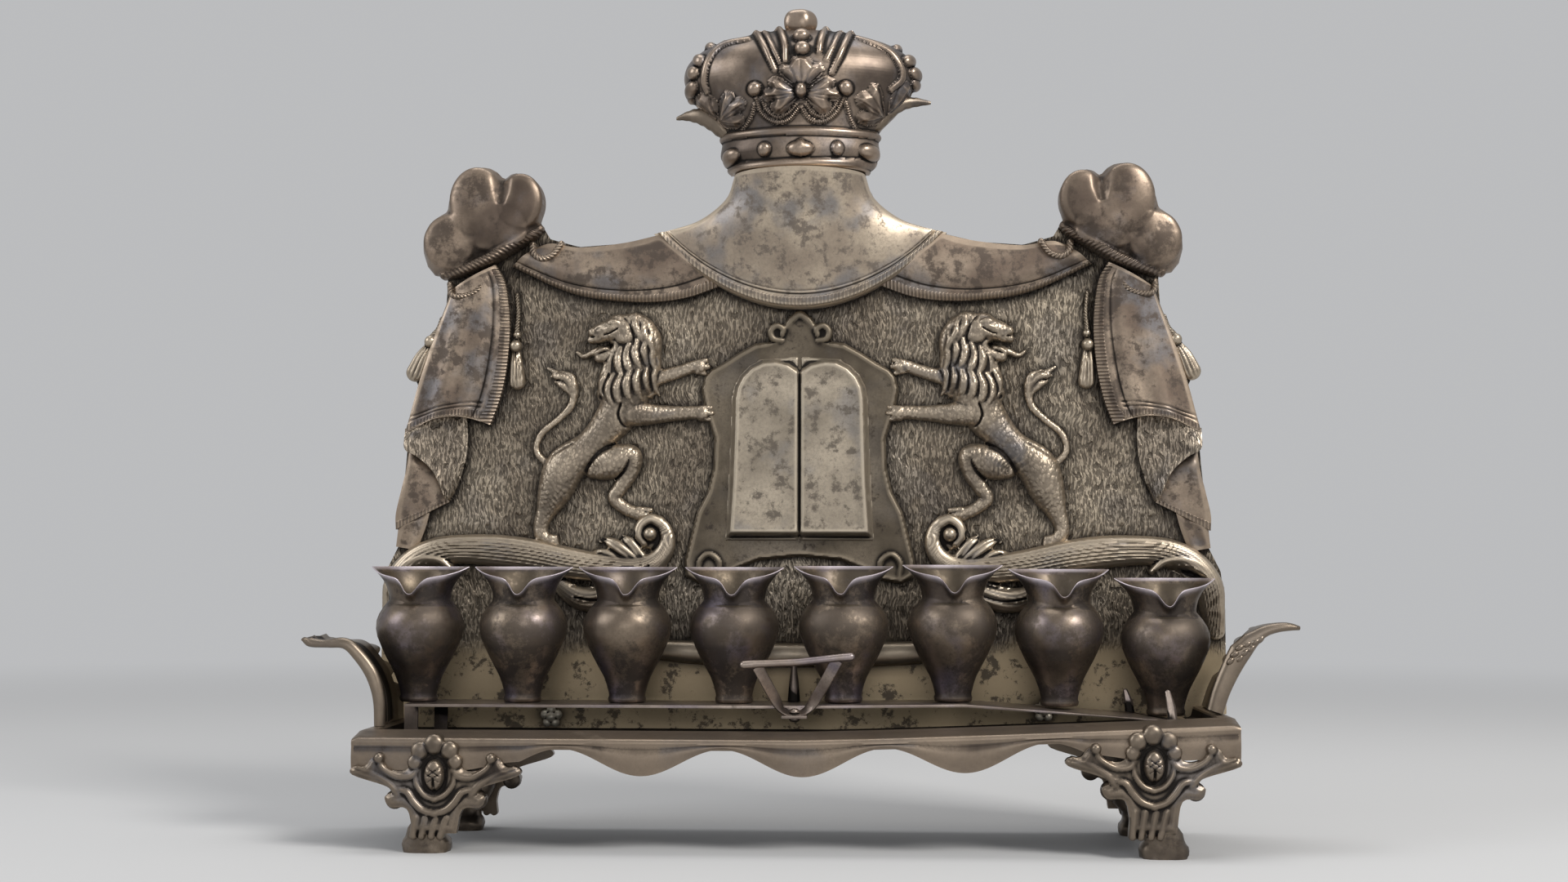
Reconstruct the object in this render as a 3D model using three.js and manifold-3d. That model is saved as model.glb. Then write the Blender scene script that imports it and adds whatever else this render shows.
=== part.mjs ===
// Bench-form Hanukkah lamp in tarnished silver: a footed bench, a chased backplate
// with a crown, and a lift-out rack of eight oil jugs with a swivelling handle.
// Millimetres, +Z up, the front faces -Y, +X is the right-hand side seen from the front.
import * as THREE from 'three';
import { mergeVertices } from 'three/addons/utils/BufferGeometryUtils.js';
import loadManifold from 'manifold-3d';

const wasm = await loadManifold();
wasm.setup();

// Shared sizes
const clearance = 0.3;
const seatGap = clearance / 3;
const sheet = 1.2;
const cutReach = 400;
const quarterTurn = Math.PI / 2;

// Bench
const benchHalf = 136.5;
const benchDeep = 64;
const benchEdgeHeight = 35.2;
const borderRise = 1.8;
const borderFront = 12;
const borderFlat = 1.6;
const borderEnd = 6;
const trayDrop = 3.4;
const endRise = 5.4;
const skirtDeep = 9.9;
const backSkirtDeep = 7.2;
const lobePitch = 50;
const lobeCentre = 3.5;
const lobeDeep = 11.2;
const hollowDeep = 3;
const lobeCount = 3;
const bendSteps = 8;
const endRisePower = 1.25;
const benchBack = 19;
const benchFront = benchBack - benchDeep;
const skirtBottom = benchEdgeHeight - skirtDeep;
const backSkirtBottom = benchEdgeHeight - backSkirtDeep;
const trayFloorHeight = benchEdgeHeight + borderRise - trayDrop;

// Backplate, its lower edge standing in the tray near the back
const plateInset = 2;
const plateOverhang = 6;
const plateHigh = 237.5;
const plateHalf = benchHalf + plateOverhang;
const plateFoot = trayFloorHeight + seatGap;
const plateFront = benchBack - plateInset - sheet;

// Scale of the reference on the backplate's plane: pixels turned into sizes
const axisPixel = 980;
const footPixel = 891.5;
const plateHalfPixels = 517;
const plateHighPixels = 851.5;
const acrossPixel = plateHalf / plateHalfPixels;
const upPixel = plateHigh / plateHighPixels;

// Feet
const footWing = 25.8;
const footInset = 0.7;
const footDepth = 9;
const footRelief = 2.4;
const footSplay = 2.8;
const padHeight = 5;
const padWide = 15.4;
const padDeep = 12;
const footBelowEdge = 0.6;
const footX = benchHalf - footWing - footInset;
const footHeight = benchEdgeHeight - footBelowEdge;

// Side arms
const armSetback = 20;
const armPlateGap = 3.4;
const armInset = 1.7;
const armRise = 29;
const armRim = 3.2;
const armLeaf = 1.4;
const armFoot = benchHalf - armInset;
const armFront = benchFront + armSetback;
const armBack = plateFront - armPlateGap;

// Rack
const rackRise = 10.4;
const rackThick = 0.9;
const rackWide = 24;
const rackPlateGap = 11.8;
const rackEndGap = 4.5;
const rackHump = 0.9;
const tabWide = 4.4;
const prongHeight = 9.5;
const spikeHeight = 13.5;
const tongueDrop = 2.6;
const tongueWide = 8;
const tongueReach = 7;
const rackTop = trayFloorHeight + rackRise;
const rackBack = plateFront - rackPlateGap;
const rackFront = rackBack - rackWide;
const rackHalf = benchHalf - borderEnd - rackEndGap;

// Jugs
const jugHeight = 44;
const jugFootRadius = 5.9;
const jugNeckRadius = 10.6;
const jugWall = 0.8;
const backLipReach = 13.4;
const spoutReach = 13.6;
const spoutDrop = 10.9;
const jugY = (rackFront + rackBack) / 2;
const jugStationShares = [-0.986, -0.713, -0.44, -0.162, 0.121, 0.403, 0.6754, 0.946];

// Handle
const handleBar = 35;
const barRadius = 1.25;
const handleRise = 19.4;
const strapWide = 3.8;
const strapThick = 0.8;
const strapBase = 7;
const rivetRadius = 1.1;
const rivetHead = 1.7;
const handleLeanAngle = 0.5;
const handleTiltAngle = 0.085;
const handleSwivelAngle = 0.14;
const handleY = rackFront - tongueReach + rivetRadius + strapWide / 2;

// Crown
const crownHalf = 40;
const crownHigh = 49;
const crownBulge = 18;
const crownFootPixel = 216.5;
const crownHalfPixels = 145;
const crownHighPixels = 175.5;
const crownAcrossPixel = crownHalf / crownHalfPixels;
const crownUpPixel = crownHigh / crownHighPixels;
const crownBottom = plateFoot + (footPixel - crownFootPixel) * upPixel;
const crownTop = crownBottom + crownHigh;
const orbRadius = 5.7;
const orbHeight = 8.4;

/** Turns a pixel of the reference into X and Z on the backplate's plane. */
function place([px, py]) {
  return [(px - axisPixel) * acrossPixel, plateFoot + (footPixel - py) * upPixel];
}

/** Closes a set of faces into a solid, faces outward. */
function solidOf(geometry) {
  const bare = geometry.clone();
  for (const name of Object.keys(bare.attributes)) {
    if (name !== 'position') bare.deleteAttribute(name);
  }
  const welded = mergeVertices(bare);
  const vertProperties = new Float32Array(welded.attributes.position.array);
  const triVerts = Uint32Array.from(welded.index.array);
  const body = new wasm.Manifold(new wasm.Mesh({ numProp: 3, vertProperties, triVerts }));
  if (body.volume() > 0) return body;
  for (let i = 0; i < triVerts.length; i += 3) {
    [triVerts[i], triVerts[i + 1]] = [triVerts[i + 1], triVerts[i]];
  }
  return new wasm.Manifold(new wasm.Mesh({ numProp: 3, vertProperties, triVerts }));
}

/** Joins solids into one. */
function join(bodies) {
  return bodies.reduce((sum, body) => sum.add(body));
}

/** Turns a solid back into a geometry for a mesh. */
function geometryOf(body) {
  const mesh = body.getMesh();
  const geometry = new THREE.BufferGeometry();
  const count = mesh.vertProperties.length / mesh.numProp;
  const positions = new Float32Array(count * 3);
  for (let i = 0; i < count; i += 1) {
    for (let k = 0; k < 3; k += 1) positions[3 * i + k] = mesh.vertProperties[mesh.numProp * i + k];
  }
  geometry.setAttribute('position', new THREE.BufferAttribute(positions, 3));
  geometry.setIndex(new THREE.BufferAttribute(Uint32Array.from(mesh.triVerts), 1));
  geometry.computeVertexNormals();
  return geometry;
}

/** A copy of a solid moved aside. */
function moved(body, x, y, z) {
  return solidOf(geometryOf(body).translate(x, y, z));
}

/** The room a relief piece needs beside its neighbours: itself and copies moved by the clearance. */
function roomFor(body, side = 1) {
  return join([
    body,
    moved(body, 0, -clearance, -clearance),
    moved(body, side * clearance, 0, -clearance),
    moved(body, -side * clearance, 0, clearance),
  ]);
}

/** Joins rings of points, or single end points, into a closed skin. */
function skin(rings) {
  const points = [];
  const faces = [];
  const starts = [];
  for (const ring of rings) {
    starts.push(points.length / 3);
    for (const p of ring) points.push(p.x, p.y, p.z);
  }
  for (let i = 0; i + 1 < rings.length; i += 1) {
    const [a, b] = [rings[i].length, rings[i + 1].length];
    const around = Math.max(a, b);
    for (let j = 0; j < around; j += 1) {
      const k = (j + 1) % around;
      const [a0, a1] = [starts[i] + (a > 1 ? j : 0), starts[i] + (a > 1 ? k : 0)];
      const [b0, b1] = [starts[i + 1] + (b > 1 ? j : 0), starts[i + 1] + (b > 1 ? k : 0)];
      if (a > 1) faces.push(a0, a1, b0);
      if (b > 1) faces.push(a1, b1, b0);
    }
  }
  const geometry = new THREE.BufferGeometry();
  geometry.setAttribute('position', new THREE.Float32BufferAttribute(points, 3));
  geometry.setIndex(faces);
  return solidOf(geometry);
}

/** The middle point of a ring, to close a skin with. */
function middleOf(ring) {
  const sum = new THREE.Vector3();
  for (const p of ring) sum.add(p);
  return [sum.divideScalar(ring.length)];
}

/** Closes rings at both ends with their middle points. */
function capped(rings) {
  return skin([middleOf(rings[0]), ...rings, middleOf(rings[rings.length - 1])]);
}

/** A block between two corners. */
function block([x0, y0, z0], [x1, y1, z1]) {
  const box = new THREE.BoxGeometry(x1 - x0, y1 - y0, z1 - z0);
  box.translate((x0 + x1) / 2, (y0 + y1) / 2, (z0 + z1) / 2);
  return solidOf(box);
}

/** A ball stretched to three radii. */
function lump([x, y, z], [rx, ry, rz], around = 6, down = 3) {
  const ball = new THREE.SphereGeometry(1, around, down);
  ball.rotateX(quarterTurn);
  ball.scale(rx, ry, rz);
  ball.translate(x, y, z);
  return solidOf(ball);
}

/** An upright hole of the rivet's size with its clearance, through everything at a place. */
function rivetHole(y) {
  const hole = new THREE.CylinderGeometry(rivetRadius + clearance, rivetRadius + clearance, cutReach, 12);
  hole.rotateX(quarterTurn);
  hole.translate(0, y, 0);
  return solidOf(hole);
}

const tipShare = 0.75;

/**
 * A round bar of changing radius along a curve. Stations are [x, y, z, radius], and the
 * section is flattened towards the viewer by the given share.
 */
function strand(stations, steps, sides, flatShare = 1) {
  const path = new THREE.CatmullRomCurve3(stations.map(([x, y, z]) => new THREE.Vector3(x, y, z)));
  const size = new THREE.CatmullRomCurve3(stations.map(([, , , r]) => new THREE.Vector3(r, 0, 0)));
  const ahead = new THREE.Vector3(0, -1, 0);
  const rings = [];
  for (let i = 0; i <= steps; i += 1) {
    const centre = path.getPoint(i / steps);
    const along = path.getTangent(i / steps);
    const radius = size.getPoint(i / steps).x;
    const wide = new THREE.Vector3().crossVectors(along, ahead).normalize();
    const high = new THREE.Vector3().crossVectors(wide, along).normalize();
    const tip = (way) => [centre.clone().addScaledVector(along, way * radius * tipShare)];
    if (i === 0) rings.push(tip(-1));
    rings.push(Array.from({ length: sides }, (_, j) => {
      const angle = (2 * Math.PI * j) / sides;
      return centre.clone()
        .addScaledVector(wide, radius * Math.cos(angle))
        .addScaledVector(high, radius * flatShare * Math.sin(angle));
    }));
    if (i === steps) rings.push(tip(1));
  }
  return skin(rings);
}

/** A strand lying on the backplate, from [pixel x, pixel y, pixel radius, pixel lift] stations. */
function vine(pixels, steps, sides, flatShare, side) {
  return strand(pixels.map(([px, py, pr, lift = 0]) => {
    const [x, z] = place([px, py]);
    return [-side * x, plateFront - lift * acrossPixel, z, pr * acrossPixel];
  }), steps, sides, flatShare);
}

/** A ball on the backplate: [pixel x, pixel y, pixel radii across and up, pixel lift]. */
function bead([px, py, rx, rz, lift = 0], depthShare, side, around = 7, down = 5) {
  const [x, z] = place([px, py]);
  const depth = ((rx + rz) / 2) * acrossPixel * depthShare;
  const centre = [-side * x, plateFront - lift * acrossPixel, z];
  return lump(centre, [rx * acrossPixel, depth, rz * upPixel], around, down);
}

/** Cuts away what lies behind the backplate's face, with the named clearance. */
function onPlate(body) {
  const face = plateFront - clearance;
  return body.subtract(block([-cutReach, face, -cutReach], [cutReach, cutReach, cutReach]));
}

/**
 * A raised panel between two edges that run from top to bottom on the backplate.
 * lift gives the height of the front over the plate, sag how far a row hangs down.
 */
function panel(leftEdge, rightEdge, steps, across, lift, sag, side) {
  const curve = (edge) => new THREE.CatmullRomCurve3(edge.map((pixel) => {
    const [x, z] = place(pixel);
    return new THREE.Vector3(-side * x, 0, z);
  }));
  const [left, right] = [curve(leftEdge), curve(rightEdge)];
  const back = plateFront - clearance;
  const rings = [];
  for (let i = 0; i <= steps; i += 1) {
    const v = i / steps;
    const [a, b] = [left.getPoint(v), right.getPoint(v)];
    const at = (u, y) => {
      const p = a.clone().lerp(b, u);
      return new THREE.Vector3(p.x, y, p.z - sag(u, v));
    };
    const ring = [];
    for (let j = 0; j <= across; j += 1) ring.push(at(j / across, back - lift(j / across, v)));
    for (let j = across; j >= 0; j -= 1) ring.push(at(j / across, back));
    rings.push(ring);
  }
  return capped(rings);
}

/** A plate cut to an outline in X and Z, its front at the given Y, with a sloped rim. */
function plaque(points, front, thick, slope) {
  const shape = new THREE.Shape(points.map(([x, z]) => new THREE.Vector2(x, z)));
  const plate = new THREE.ExtrudeGeometry(shape, {
    depth: thick - slope,
    curveSegments: 1,
    bevelSegments: 1,
    bevelEnabled: slope > 0,
    bevelThickness: slope,
    bevelSize: slope,
    bevelOffset: -slope,
  });
  plate.rotateX(quarterTurn);
  plate.translate(0, front + thick, 0);
  const body = solidOf(plate);
  if (slope === 0) return body;
  const back = front + thick;
  return body.subtract(block([-cutReach, back, -cutReach], [cutReach, back + cutReach, cutReach]));
}

/** Smooth open line through points. */
function smoothLine(points, samples) {
  const curve = new THREE.CatmullRomCurve3(points.map(([x, z]) => new THREE.Vector3(x, z, 0)));
  return Array.from({ length: samples + 1 }, (_, i) => {
    const p = curve.getPoint(i / samples);
    return [p.x, p.y];
  });
}

/** How far the bent right half of the bench has risen at x. */
function rise(x) {
  return endRise * (Math.max(0, x) / benchHalf) ** endRisePower;
}

/** Height of the bench's front edge at x. */
function benchEdge(x) {
  return benchEdgeHeight + rise(x);
}

/** Height of the bench's border at x, at its inner edge. */
function benchTop(x) {
  return benchEdge(x) + borderRise;
}

/** Height of the drip tray's floor at x. */
function trayFloor(x) {
  return benchTop(x) - trayDrop;
}

/** Evenly spaced places from one end to the other. */
function stationsFrom(x0, x1, steps) {
  return Array.from({ length: steps + 1 }, (_, i) => x0 + ((x1 - x0) * i) / steps);
}

/** A strip that follows the bench's bend, between two heights, run through in Y. */
function bentSlab(x0, x1, low, high, y0, y1, steps = bendSteps) {
  const stations = stationsFrom(x0, x1, steps);
  const upper = stations.map((x) => [x, high(x)]);
  const lower = stations.map((x) => [x, low(x)]).reverse();
  return plaque([...upper, ...lower], y0, y1 - y0, 0);
}

/** Bottom line of the front apron, with its hanging lobes. */
function apronLine(samples) {
  const middle = (lobeDeep + hollowDeep) / 2;
  const swing = (lobeDeep - hollowDeep) / 2;
  const span = lobePitch * (lobeCount / 2 + 1 / 4);
  return stationsFrom(lobeCentre - span, lobeCentre + span, samples).map((x) => {
    const turn = (2 * Math.PI * (x - lobeCentre)) / lobePitch;
    return [x, benchEdge(x) - middle - swing * Math.cos(turn)];
  });
}

/** Takes the border down towards the front edge. */
function slopedFront() {
  const stations = [-benchHalf - sheet, ...stationsFrom(-benchHalf, benchHalf, bendSteps), benchHalf + sheet];
  const slope = borderRise / (borderFront - borderFlat);
  const [y0, y1] = [benchFront - sheet, benchFront + borderFront - borderFlat / 2];
  return capped(stations.map((x) => {
    const line = (y) => benchEdge(x) + slope * (y - benchFront);
    const over = line(y1) + sheet;
    return [[y0, line(y0)], [y1, line(y1)], [y1, over], [y0, over]].map(([y, z]) => new THREE.Vector3(x, y, z));
  }));
}

/** Footed bench: bordered drip tray on a scalloped apron. */
function benchTray() {
  const cornerLow = (side) => skirtBottom + rise(side * benchHalf) / 2;
  const below = (x) => trayFloor(x) - sheet;
  const apron = [
    ...stationsFrom(benchHalf, -benchHalf, bendSteps).map((x) => [x, benchEdge(x)]),
    [-benchHalf, cornerLow(-1)],
    ...apronLine(36),
    [benchHalf, cornerLow(1)],
  ];
  const front = plaque(apron, benchFront, sheet, 0);
  const slab = bentSlab(-benchHalf, benchHalf, below, benchTop, benchFront, benchBack);
  const pocket = bentSlab(borderEnd - benchHalf, benchHalf - borderEnd, trayFloor,
    (x) => benchTop(x) + sheet, benchFront + borderFront, benchBack - sheet);
  const ends = [-1, 1].map((side) => {
    const [outer, inner] = [side * benchHalf, side * (benchHalf - sheet)];
    return block([Math.min(outer, inner), benchFront, cornerLow(side)],
      [Math.max(outer, inner), benchBack, benchTop(outer) - trayDrop]);
  });
  const back = bentSlab(-benchHalf, benchHalf, (x) => backSkirtBottom + rise(x) / 2, trayFloor,
    benchBack - sheet, benchBack);
  return join([slab.subtract(slopedFront()).subtract(pocket), front, ...ends, back]);
}

// Foot: half outline of the face as shares of the wing and the height, from the crest down
const footHalfShares = [
  [0, 0.93], [0.2, 0.9], [0.35, 0.74], [0.56, 0.75], [0.67, 0.86], [0.775, 0.84], [0.853, 0.77], [1, 0.76],
  [1, 0.69], [0.62, 0.6], [0.504, 0.545], [0.605, 0.5], [0.543, 0.41], [0.333, 0.39], [0.264, 0.18], [0, 0.14],
];
const footBendShare = 0.4;
const bossShare = 0.685;
const bossSizeShares = [0.085, 0.06, 0.12];
const shellShares = { start: 0.02, low: 0.12, across: 0.168, up: 0.133, lobe: 0.058, deep: 0.054 };
const shellLobes = 5;
const hornShares = [[0.2, -0.02, 0.03], [0.34, -0.03, 0.035], [0.46, 0.04, 0.03], [0.5, 0.14, 0.045]];
const footRollShares = { x: 0.37, z: 0.47, r: 0.085 };
const shaftTopShare = 0.6;
const shaftWaistShares = [0.4, 0.44];
const padTopShare = 0.8;
const padFootShare = 0.94;
const padBevelShare = 0.125;
const cornerPower = 0.6;

/** A soft-cornered ring of the foot's shaft or pad at a height. */
function footRing(z, wide, deep, shift) {
  const soft = (value) => Math.sign(value) * Math.abs(value) ** cornerPower;
  return Array.from({ length: 8 }, (_, j) => {
    const angle = (2 * Math.PI * (j + 0.5)) / 8;
    const x = shift + (wide / 2) * soft(Math.cos(angle));
    return new THREE.Vector3(x, (deep / 2) * (1 + soft(Math.sin(angle))) - footRelief, z);
  });
}

/** Cast foot with shell crest, boss, wings, scrolls and splayed pad, on its own origin. */
function castFoot(lift) {
  const points = footHalfShares.map(([x, z]) => [
    x * footWing,
    z * footHeight + lift * Math.min(1, z / footBendShare),
  ]);
  const outline = [...points, ...points.slice(1, -1).reverse().map(([x, z]) => [-x, z])];
  const pieces = [plaque(outline.reverse(), -footRelief, footRelief, 0)];
  const bossHeight = bossShare * footHeight + lift;
  for (let i = 0; i < shellLobes; i += 1) {
    const angle = Math.PI * (shellShares.start + (i * (1 - 2 * shellShares.start)) / (shellLobes - 1));
    const x = shellShares.across * footHeight * Math.cos(angle);
    const z = bossHeight + (shellShares.low + shellShares.up * Math.sin(angle)) * footHeight;
    const lobe = shellShares.lobe * footHeight;
    pieces.push(lump([x, -footRelief, z], [lobe, shellShares.deep * footHeight, lobe]));
  }
  pieces.push(lump([0, -footRelief, bossHeight], bossSizeShares.map((share) => share * footHeight)));
  for (const side of [-1, 1]) {
    pieces.push(strand(hornShares.map(([x, z, r]) => [
      side * x * footHeight, -footRelief, bossHeight + z * footHeight, r * footHeight,
    ]), 3, 4));
    const roll = new THREE.CylinderGeometry(1, 1, 1, 7);
    const radius = footRollShares.r * footHeight;
    roll.scale(radius, footDepth / 2, radius);
    roll.translate(side * footRollShares.x * footHeight, footDepth / 4 - footRelief,
      footRollShares.z * footHeight + lift);
    pieces.push(solidOf(roll));
  }
  const legTop = skirtBottom - clearance + lift / 2;
  const [waistHigh, waistWide] = shaftWaistShares.map((share) => share * footHeight);
  const padBevel = padBevelShare * padHeight;
  pieces.push(capped([
    footRing(legTop, shaftTopShare * footHeight, footDepth, 0),
    footRing(waistHigh + lift, waistWide, footDepth, 0),
    footRing(padHeight, padTopShare * padWide, footDepth, -footSplay),
  ]));
  pieces.push(capped([
    footRing(padHeight + padBevel, padTopShare * padWide, padTopShare * padDeep, -footSplay),
    footRing(padHeight / 2, padWide, padDeep, -footSplay),
    footRing(0, padFootShare * padWide, padFootShare * padDeep, -footSplay),
  ]));
  return join(pieces).subtract(block([-cutReach, -cutReach, -cutReach], [cutReach, cutReach, 0]));
}

// Arm: outer line of the curling leaf, as shares of its rise, from its foot outward
const armLineShares = [
  [0, 0], [-0.012, 0.25], [-0.055, 0.43], [-0.13, 0.59], [-0.25, 0.75], [-0.36, 0.85],
  [-0.52, 0.86], [-0.74, 0.87], [-0.83, 0.94],
];
const armRimTaperShare = 0.55;
const armRidgeShares = [0.3, 0.7];
const ridgeSinkShare = 0.7;
const ridgeSizeShare = 0.9;

/** Curved leaf arm at one end of the bench. */
function sideArm(side) {
  const base = benchTop(side * armFoot) + seatGap;
  const outer = smoothLine(armLineShares.map(([x, z]) => [x * armRise - armFoot, base + z * armRise]), 10);
  const strip = (thick, taperShare) => {
    const inner = outer.map(([x, z], i) => {
      const next = outer[Math.min(i + 1, outer.length - 1)];
      const last = outer[Math.max(i - 1, 0)];
      const [dx, dz] = [next[0] - last[0], next[1] - last[1]];
      const share = i / (outer.length - 1);
      const wide = (thick * (1 - taperShare * share * share)) / Math.hypot(dx, dz);
      return [x + wide * dz, z - wide * dx];
    });
    return [...outer, ...inner.reverse()].map(([x, z]) => [-side * x, z]);
  };
  const leaf = plaque(strip(armLeaf, 0), armFront, armBack - armFront, 0);
  const rim = plaque(strip(armRim, armRimTaperShare), armFront, armRim, 0);
  const ridges = armRidgeShares.map((share) => {
    const y = armFront + (armBack - armFront) * share;
    const line = outer.slice(3, 9).map(([x, z]) => [
      -side * (x + armLeaf * ridgeSinkShare), y, z, armLeaf * ridgeSizeShare,
    ]);
    return strand(line, 3, 4);
  });
  const [heel, toe] = [side * armFoot, side * (armFoot - armRim)];
  const foot = block([Math.min(heel, toe), armFront, base], [Math.max(heel, toe), armBack, base + sheet]);
  return join([leaf, rim, foot, ...ridges]);
}

// Backplate: outline of its left half in pixels, from the crown down to the bench
const plateOutlinePixels = [
  [980, 40], [930, 46], [880, 62], [858, 95], [862, 140], [880, 160], [897, 180], [899, 225],
  [885, 251], [855, 273], [806, 288], [760, 299], [705, 303], [668, 293], [654, 270], [650, 245],
  [625, 226], [590, 216], [562, 235], [538, 270], [520, 315], [540, 342], [538, 380], [520, 415],
  [500, 465], [507, 480], [494, 520], [490, 575], [483, 640], [484, 668], [468, 700], [463, 745],
  [463, 800],
];

/** Backplate: one sheet cut to the outline of drapery, knots and crown, standing in the tray. */
function backplate() {
  const left = plateOutlinePixels.map(place);
  const right = left.slice(1).map(([x, z]) => [-x, z]).reverse();
  const inner = benchHalf - borderEnd - clearance;
  const shoulder = (x) => [x, benchTop(x) + clearance];
  const foot = stationsFrom(-inner, inner, bendSteps).map((x) => [x, trayFloor(x) + seatGap]);
  const lower = [shoulder(-plateHalf), shoulder(-inner), ...foot, shoulder(inner), shoulder(plateHalf)];
  return plaque([...left, ...lower, ...right], plateFront, sheet, 0);
}

// Mantle bib: its left edge and the hang of its point, in pixels
const bibEdgePixels = [[900, 229], [886, 250], [857, 272], [822, 284], [799, 289]];
const bibHangPixels = 92;
const bibLip = 3.6;
const bibLow = 3;
const bibFullPower = 1.3;
const bibHangPower = 1.4;

/** Mantle bib below the crown, full at the neck and thin at its hem. */
function mantleBib() {
  const mirrored = bibEdgePixels.map(([x, y]) => [2 * axisPixel - x, y]);
  const crosswise = (u) => 1 - (2 * u - 1) ** 2;
  const lift = (u, v) => bibLip + bibLow * crosswise(u)
    + (crownBulge - bibLow) * (1 - v) ** bibFullPower * Math.sqrt(Math.max(0, crosswise(u)));
  const sag = (u, v) => bibHangPixels * upPixel * v ** bibHangPower * crosswise(u);
  return panel(bibEdgePixels, mirrored, 6, 10, lift, sag, -1);
}

const noSag = () => 0;

// Swag: upper and lower edge from the bib to the knot, and its corded loop
const swagTopPixels = [[806, 290], [760, 300], [706, 305], [672, 300], [652, 305]];
const swagLowPixels = [[884, 352], [835, 368], [775, 372], [700, 362], [622, 328]];
const swagLoopPixels = [[648, 302, 4.5, 12], [652, 314, 4.5, 15], [664, 320, 4.5, 16], [678, 312, 4.5, 15],
  [684, 300, 4.5, 12]];
const swagRim = 1.6;
const swagFull = 3.4;
const swagFullShares = [0.12, 0.8];

/** Gathered swag between bib and knot, with its small corded loop. */
function swag(side) {
  const [start, reach] = swagFullShares;
  const lift = (u) => swagRim + swagFull * Math.sin(Math.PI * (start + reach * u));
  const body = panel(swagTopPixels, swagLowPixels, 6, 3, lift, noSag, side);
  return onPlate(body.add(vine(swagLoopPixels, 4, 4, 1, side)));
}

// Knot: lumps as [x, y, radii across and up, lift] and the cord under them, in pixels
const knotLumpPixels = [[582, 262, 38, 44, 8], [628, 256, 30, 38, 8], [546, 302, 33, 36, 8], [598, 294, 52, 44, 8]];
const knotCordPixels = [[548, 340, 7, 8], [575, 325, 7, 18], [610, 305, 7, 22], [640, 290, 7, 16], [653, 280, 6, 8]];
const knotDepthShare = 0.9;

/** Lumpy gathered knot over the drapery, with its corded lower edge. */
function knot(side) {
  const lumps = knotLumpPixels.map((pixels) => bead(pixels, knotDepthShare, side));
  return onPlate(join([...lumps, vine(knotCordPixels, 4, 5, 1, side)]));
}

// Curtain: edges of its panel, its hanging flap and its lower fall, in pixels
const curtainOuterPixels = [[548, 356], [541, 374], [524, 420], [508, 470], [498, 508], [492, 532]];
const curtainInnerPixels = [[602, 330], [614, 350], [620, 400], [617, 450], [609, 490], [597, 522]];
const flapOuterPixels = [[494, 524], [497, 550], [512, 578], [531, 599], [543, 614]];
const flapInnerPixels = [[568, 508], [570, 540], [567, 568], [558, 594], [548, 614]];
const fallOuterPixels = [[496, 545], [494, 580], [486, 610], [482, 635], [483, 650]];
const fallInnerPixels = [[508, 556], [524, 576], [538, 595], [546, 611], [546, 617]];
const curtainLoopPixels = [[546, 352, 4, 12], [549, 364, 4, 16], [565, 366, 4, 17], [581, 357, 4, 17], [585, 346, 4, 14]];
const curtainHemPixels = 14;
const curtainLip = 3.1;
const curtainFull = 2.9;
const curtainFold = 0.6;
const flapFull = 1.4;
const fallLip = 2.4;
const fallFull = 2.3;
const curtainHemPower = 4;

/** Side curtain: smooth panel with folded top, fringed hem and two hanging folds. */
function curtain(side) {
  const bow = (u) => Math.sin(Math.PI * u);
  const drape = panel(curtainOuterPixels, curtainInnerPixels, 6, 5,
    (u, v) => curtainLip + curtainFull * bow(Math.min(1, u)) + curtainFold * Math.cos(6 * Math.PI * u) * v,
    (u, v) => -curtainHemPixels * upPixel * v ** curtainHemPower * bow(u), side);
  const flap = panel(flapOuterPixels, flapInnerPixels, 3, 3,
    (u, v) => sheet + flapFull * bow(u) * (1 - v / 2), noSag, side);
  const fall = panel(fallOuterPixels, fallInnerPixels, 3, 3, (u) => fallLip + fallFull * bow(u), noSag, side);
  return onPlate(join([drape, flap, fall, vine(curtainLoopPixels, 4, 4, 1, side)]));
}

// Tassels: cord, knob and skirt stations in pixels
const outerTasselPixels = {
  cord: [[534, 392, 4, 2], [526, 404, 4, 4], [519, 417, 5, 4]],
  knob: [519, 417, 9, 9, 4],
  skirt: [[519, 417, 5, 2], [515, 429, 9, 2], [508, 448, 12, 2]],
};
const innerTasselPixels = {
  cord: [[629, 402, 4, 2], [629, 414, 4, 4], [628, 426, 5, 4]],
  knob: [628, 426, 9, 9, 4],
  skirt: [[628, 426, 5, 2], [628, 440, 9, 2], [629, 462, 12, 2]],
};
const tasselFlatShare = 0.8;

/** Corded tassel that hangs beside the curtain. */
function tassel(pixels, side) {
  return onPlate(join([
    vine(pixels.cord, 1, 5, 1, side),
    bead(pixels.knob, 1, side, 6, 4),
    vine(pixels.skirt, 2, 6, tasselFlatShare, side),
  ]));
}

// Lion, rampant and turned outward: limbs, head and mane locks in pixels
const lionTrunkPixels = [[772, 455, 24, 4], [765, 485, 28, 2], [752, 512, 25], [722, 546, 19], [690, 574, 25],
  [678, 601, 22], [667, 627, 13], [660, 646, 9.5], [662, 659, 9], [676, 668, 9]];
const lionRaisedLegPixels = [[725, 577, 12], [745, 570, 20], [770, 562, 14], [768, 582, 11], [758, 600, 9.5],
  [751, 614, 8.5], [770, 627, 8], [789, 633, 8]];
const lionNearPawPixels = [[772, 506, 17, 4], [795, 510, 13, 3], [824, 509, 9.5], [850, 508, 8.5, 3], [865, 509, 9.5, 5]];
const lionFarPawPixels = [[790, 470, 10, 3], [812, 463, 9], [833, 457, 8], [855, 449, 7.5, 2], [861, 453, 8.5, 4]];
const lionTailPixels = [[674, 576, 4.5], [654, 556, 4], [659, 534, 4], [679, 517, 4], [695, 501, 4.5], [700, 484, 6],
  [691, 467, 9], [678, 459, 7], [667, 453, 3]];
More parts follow.
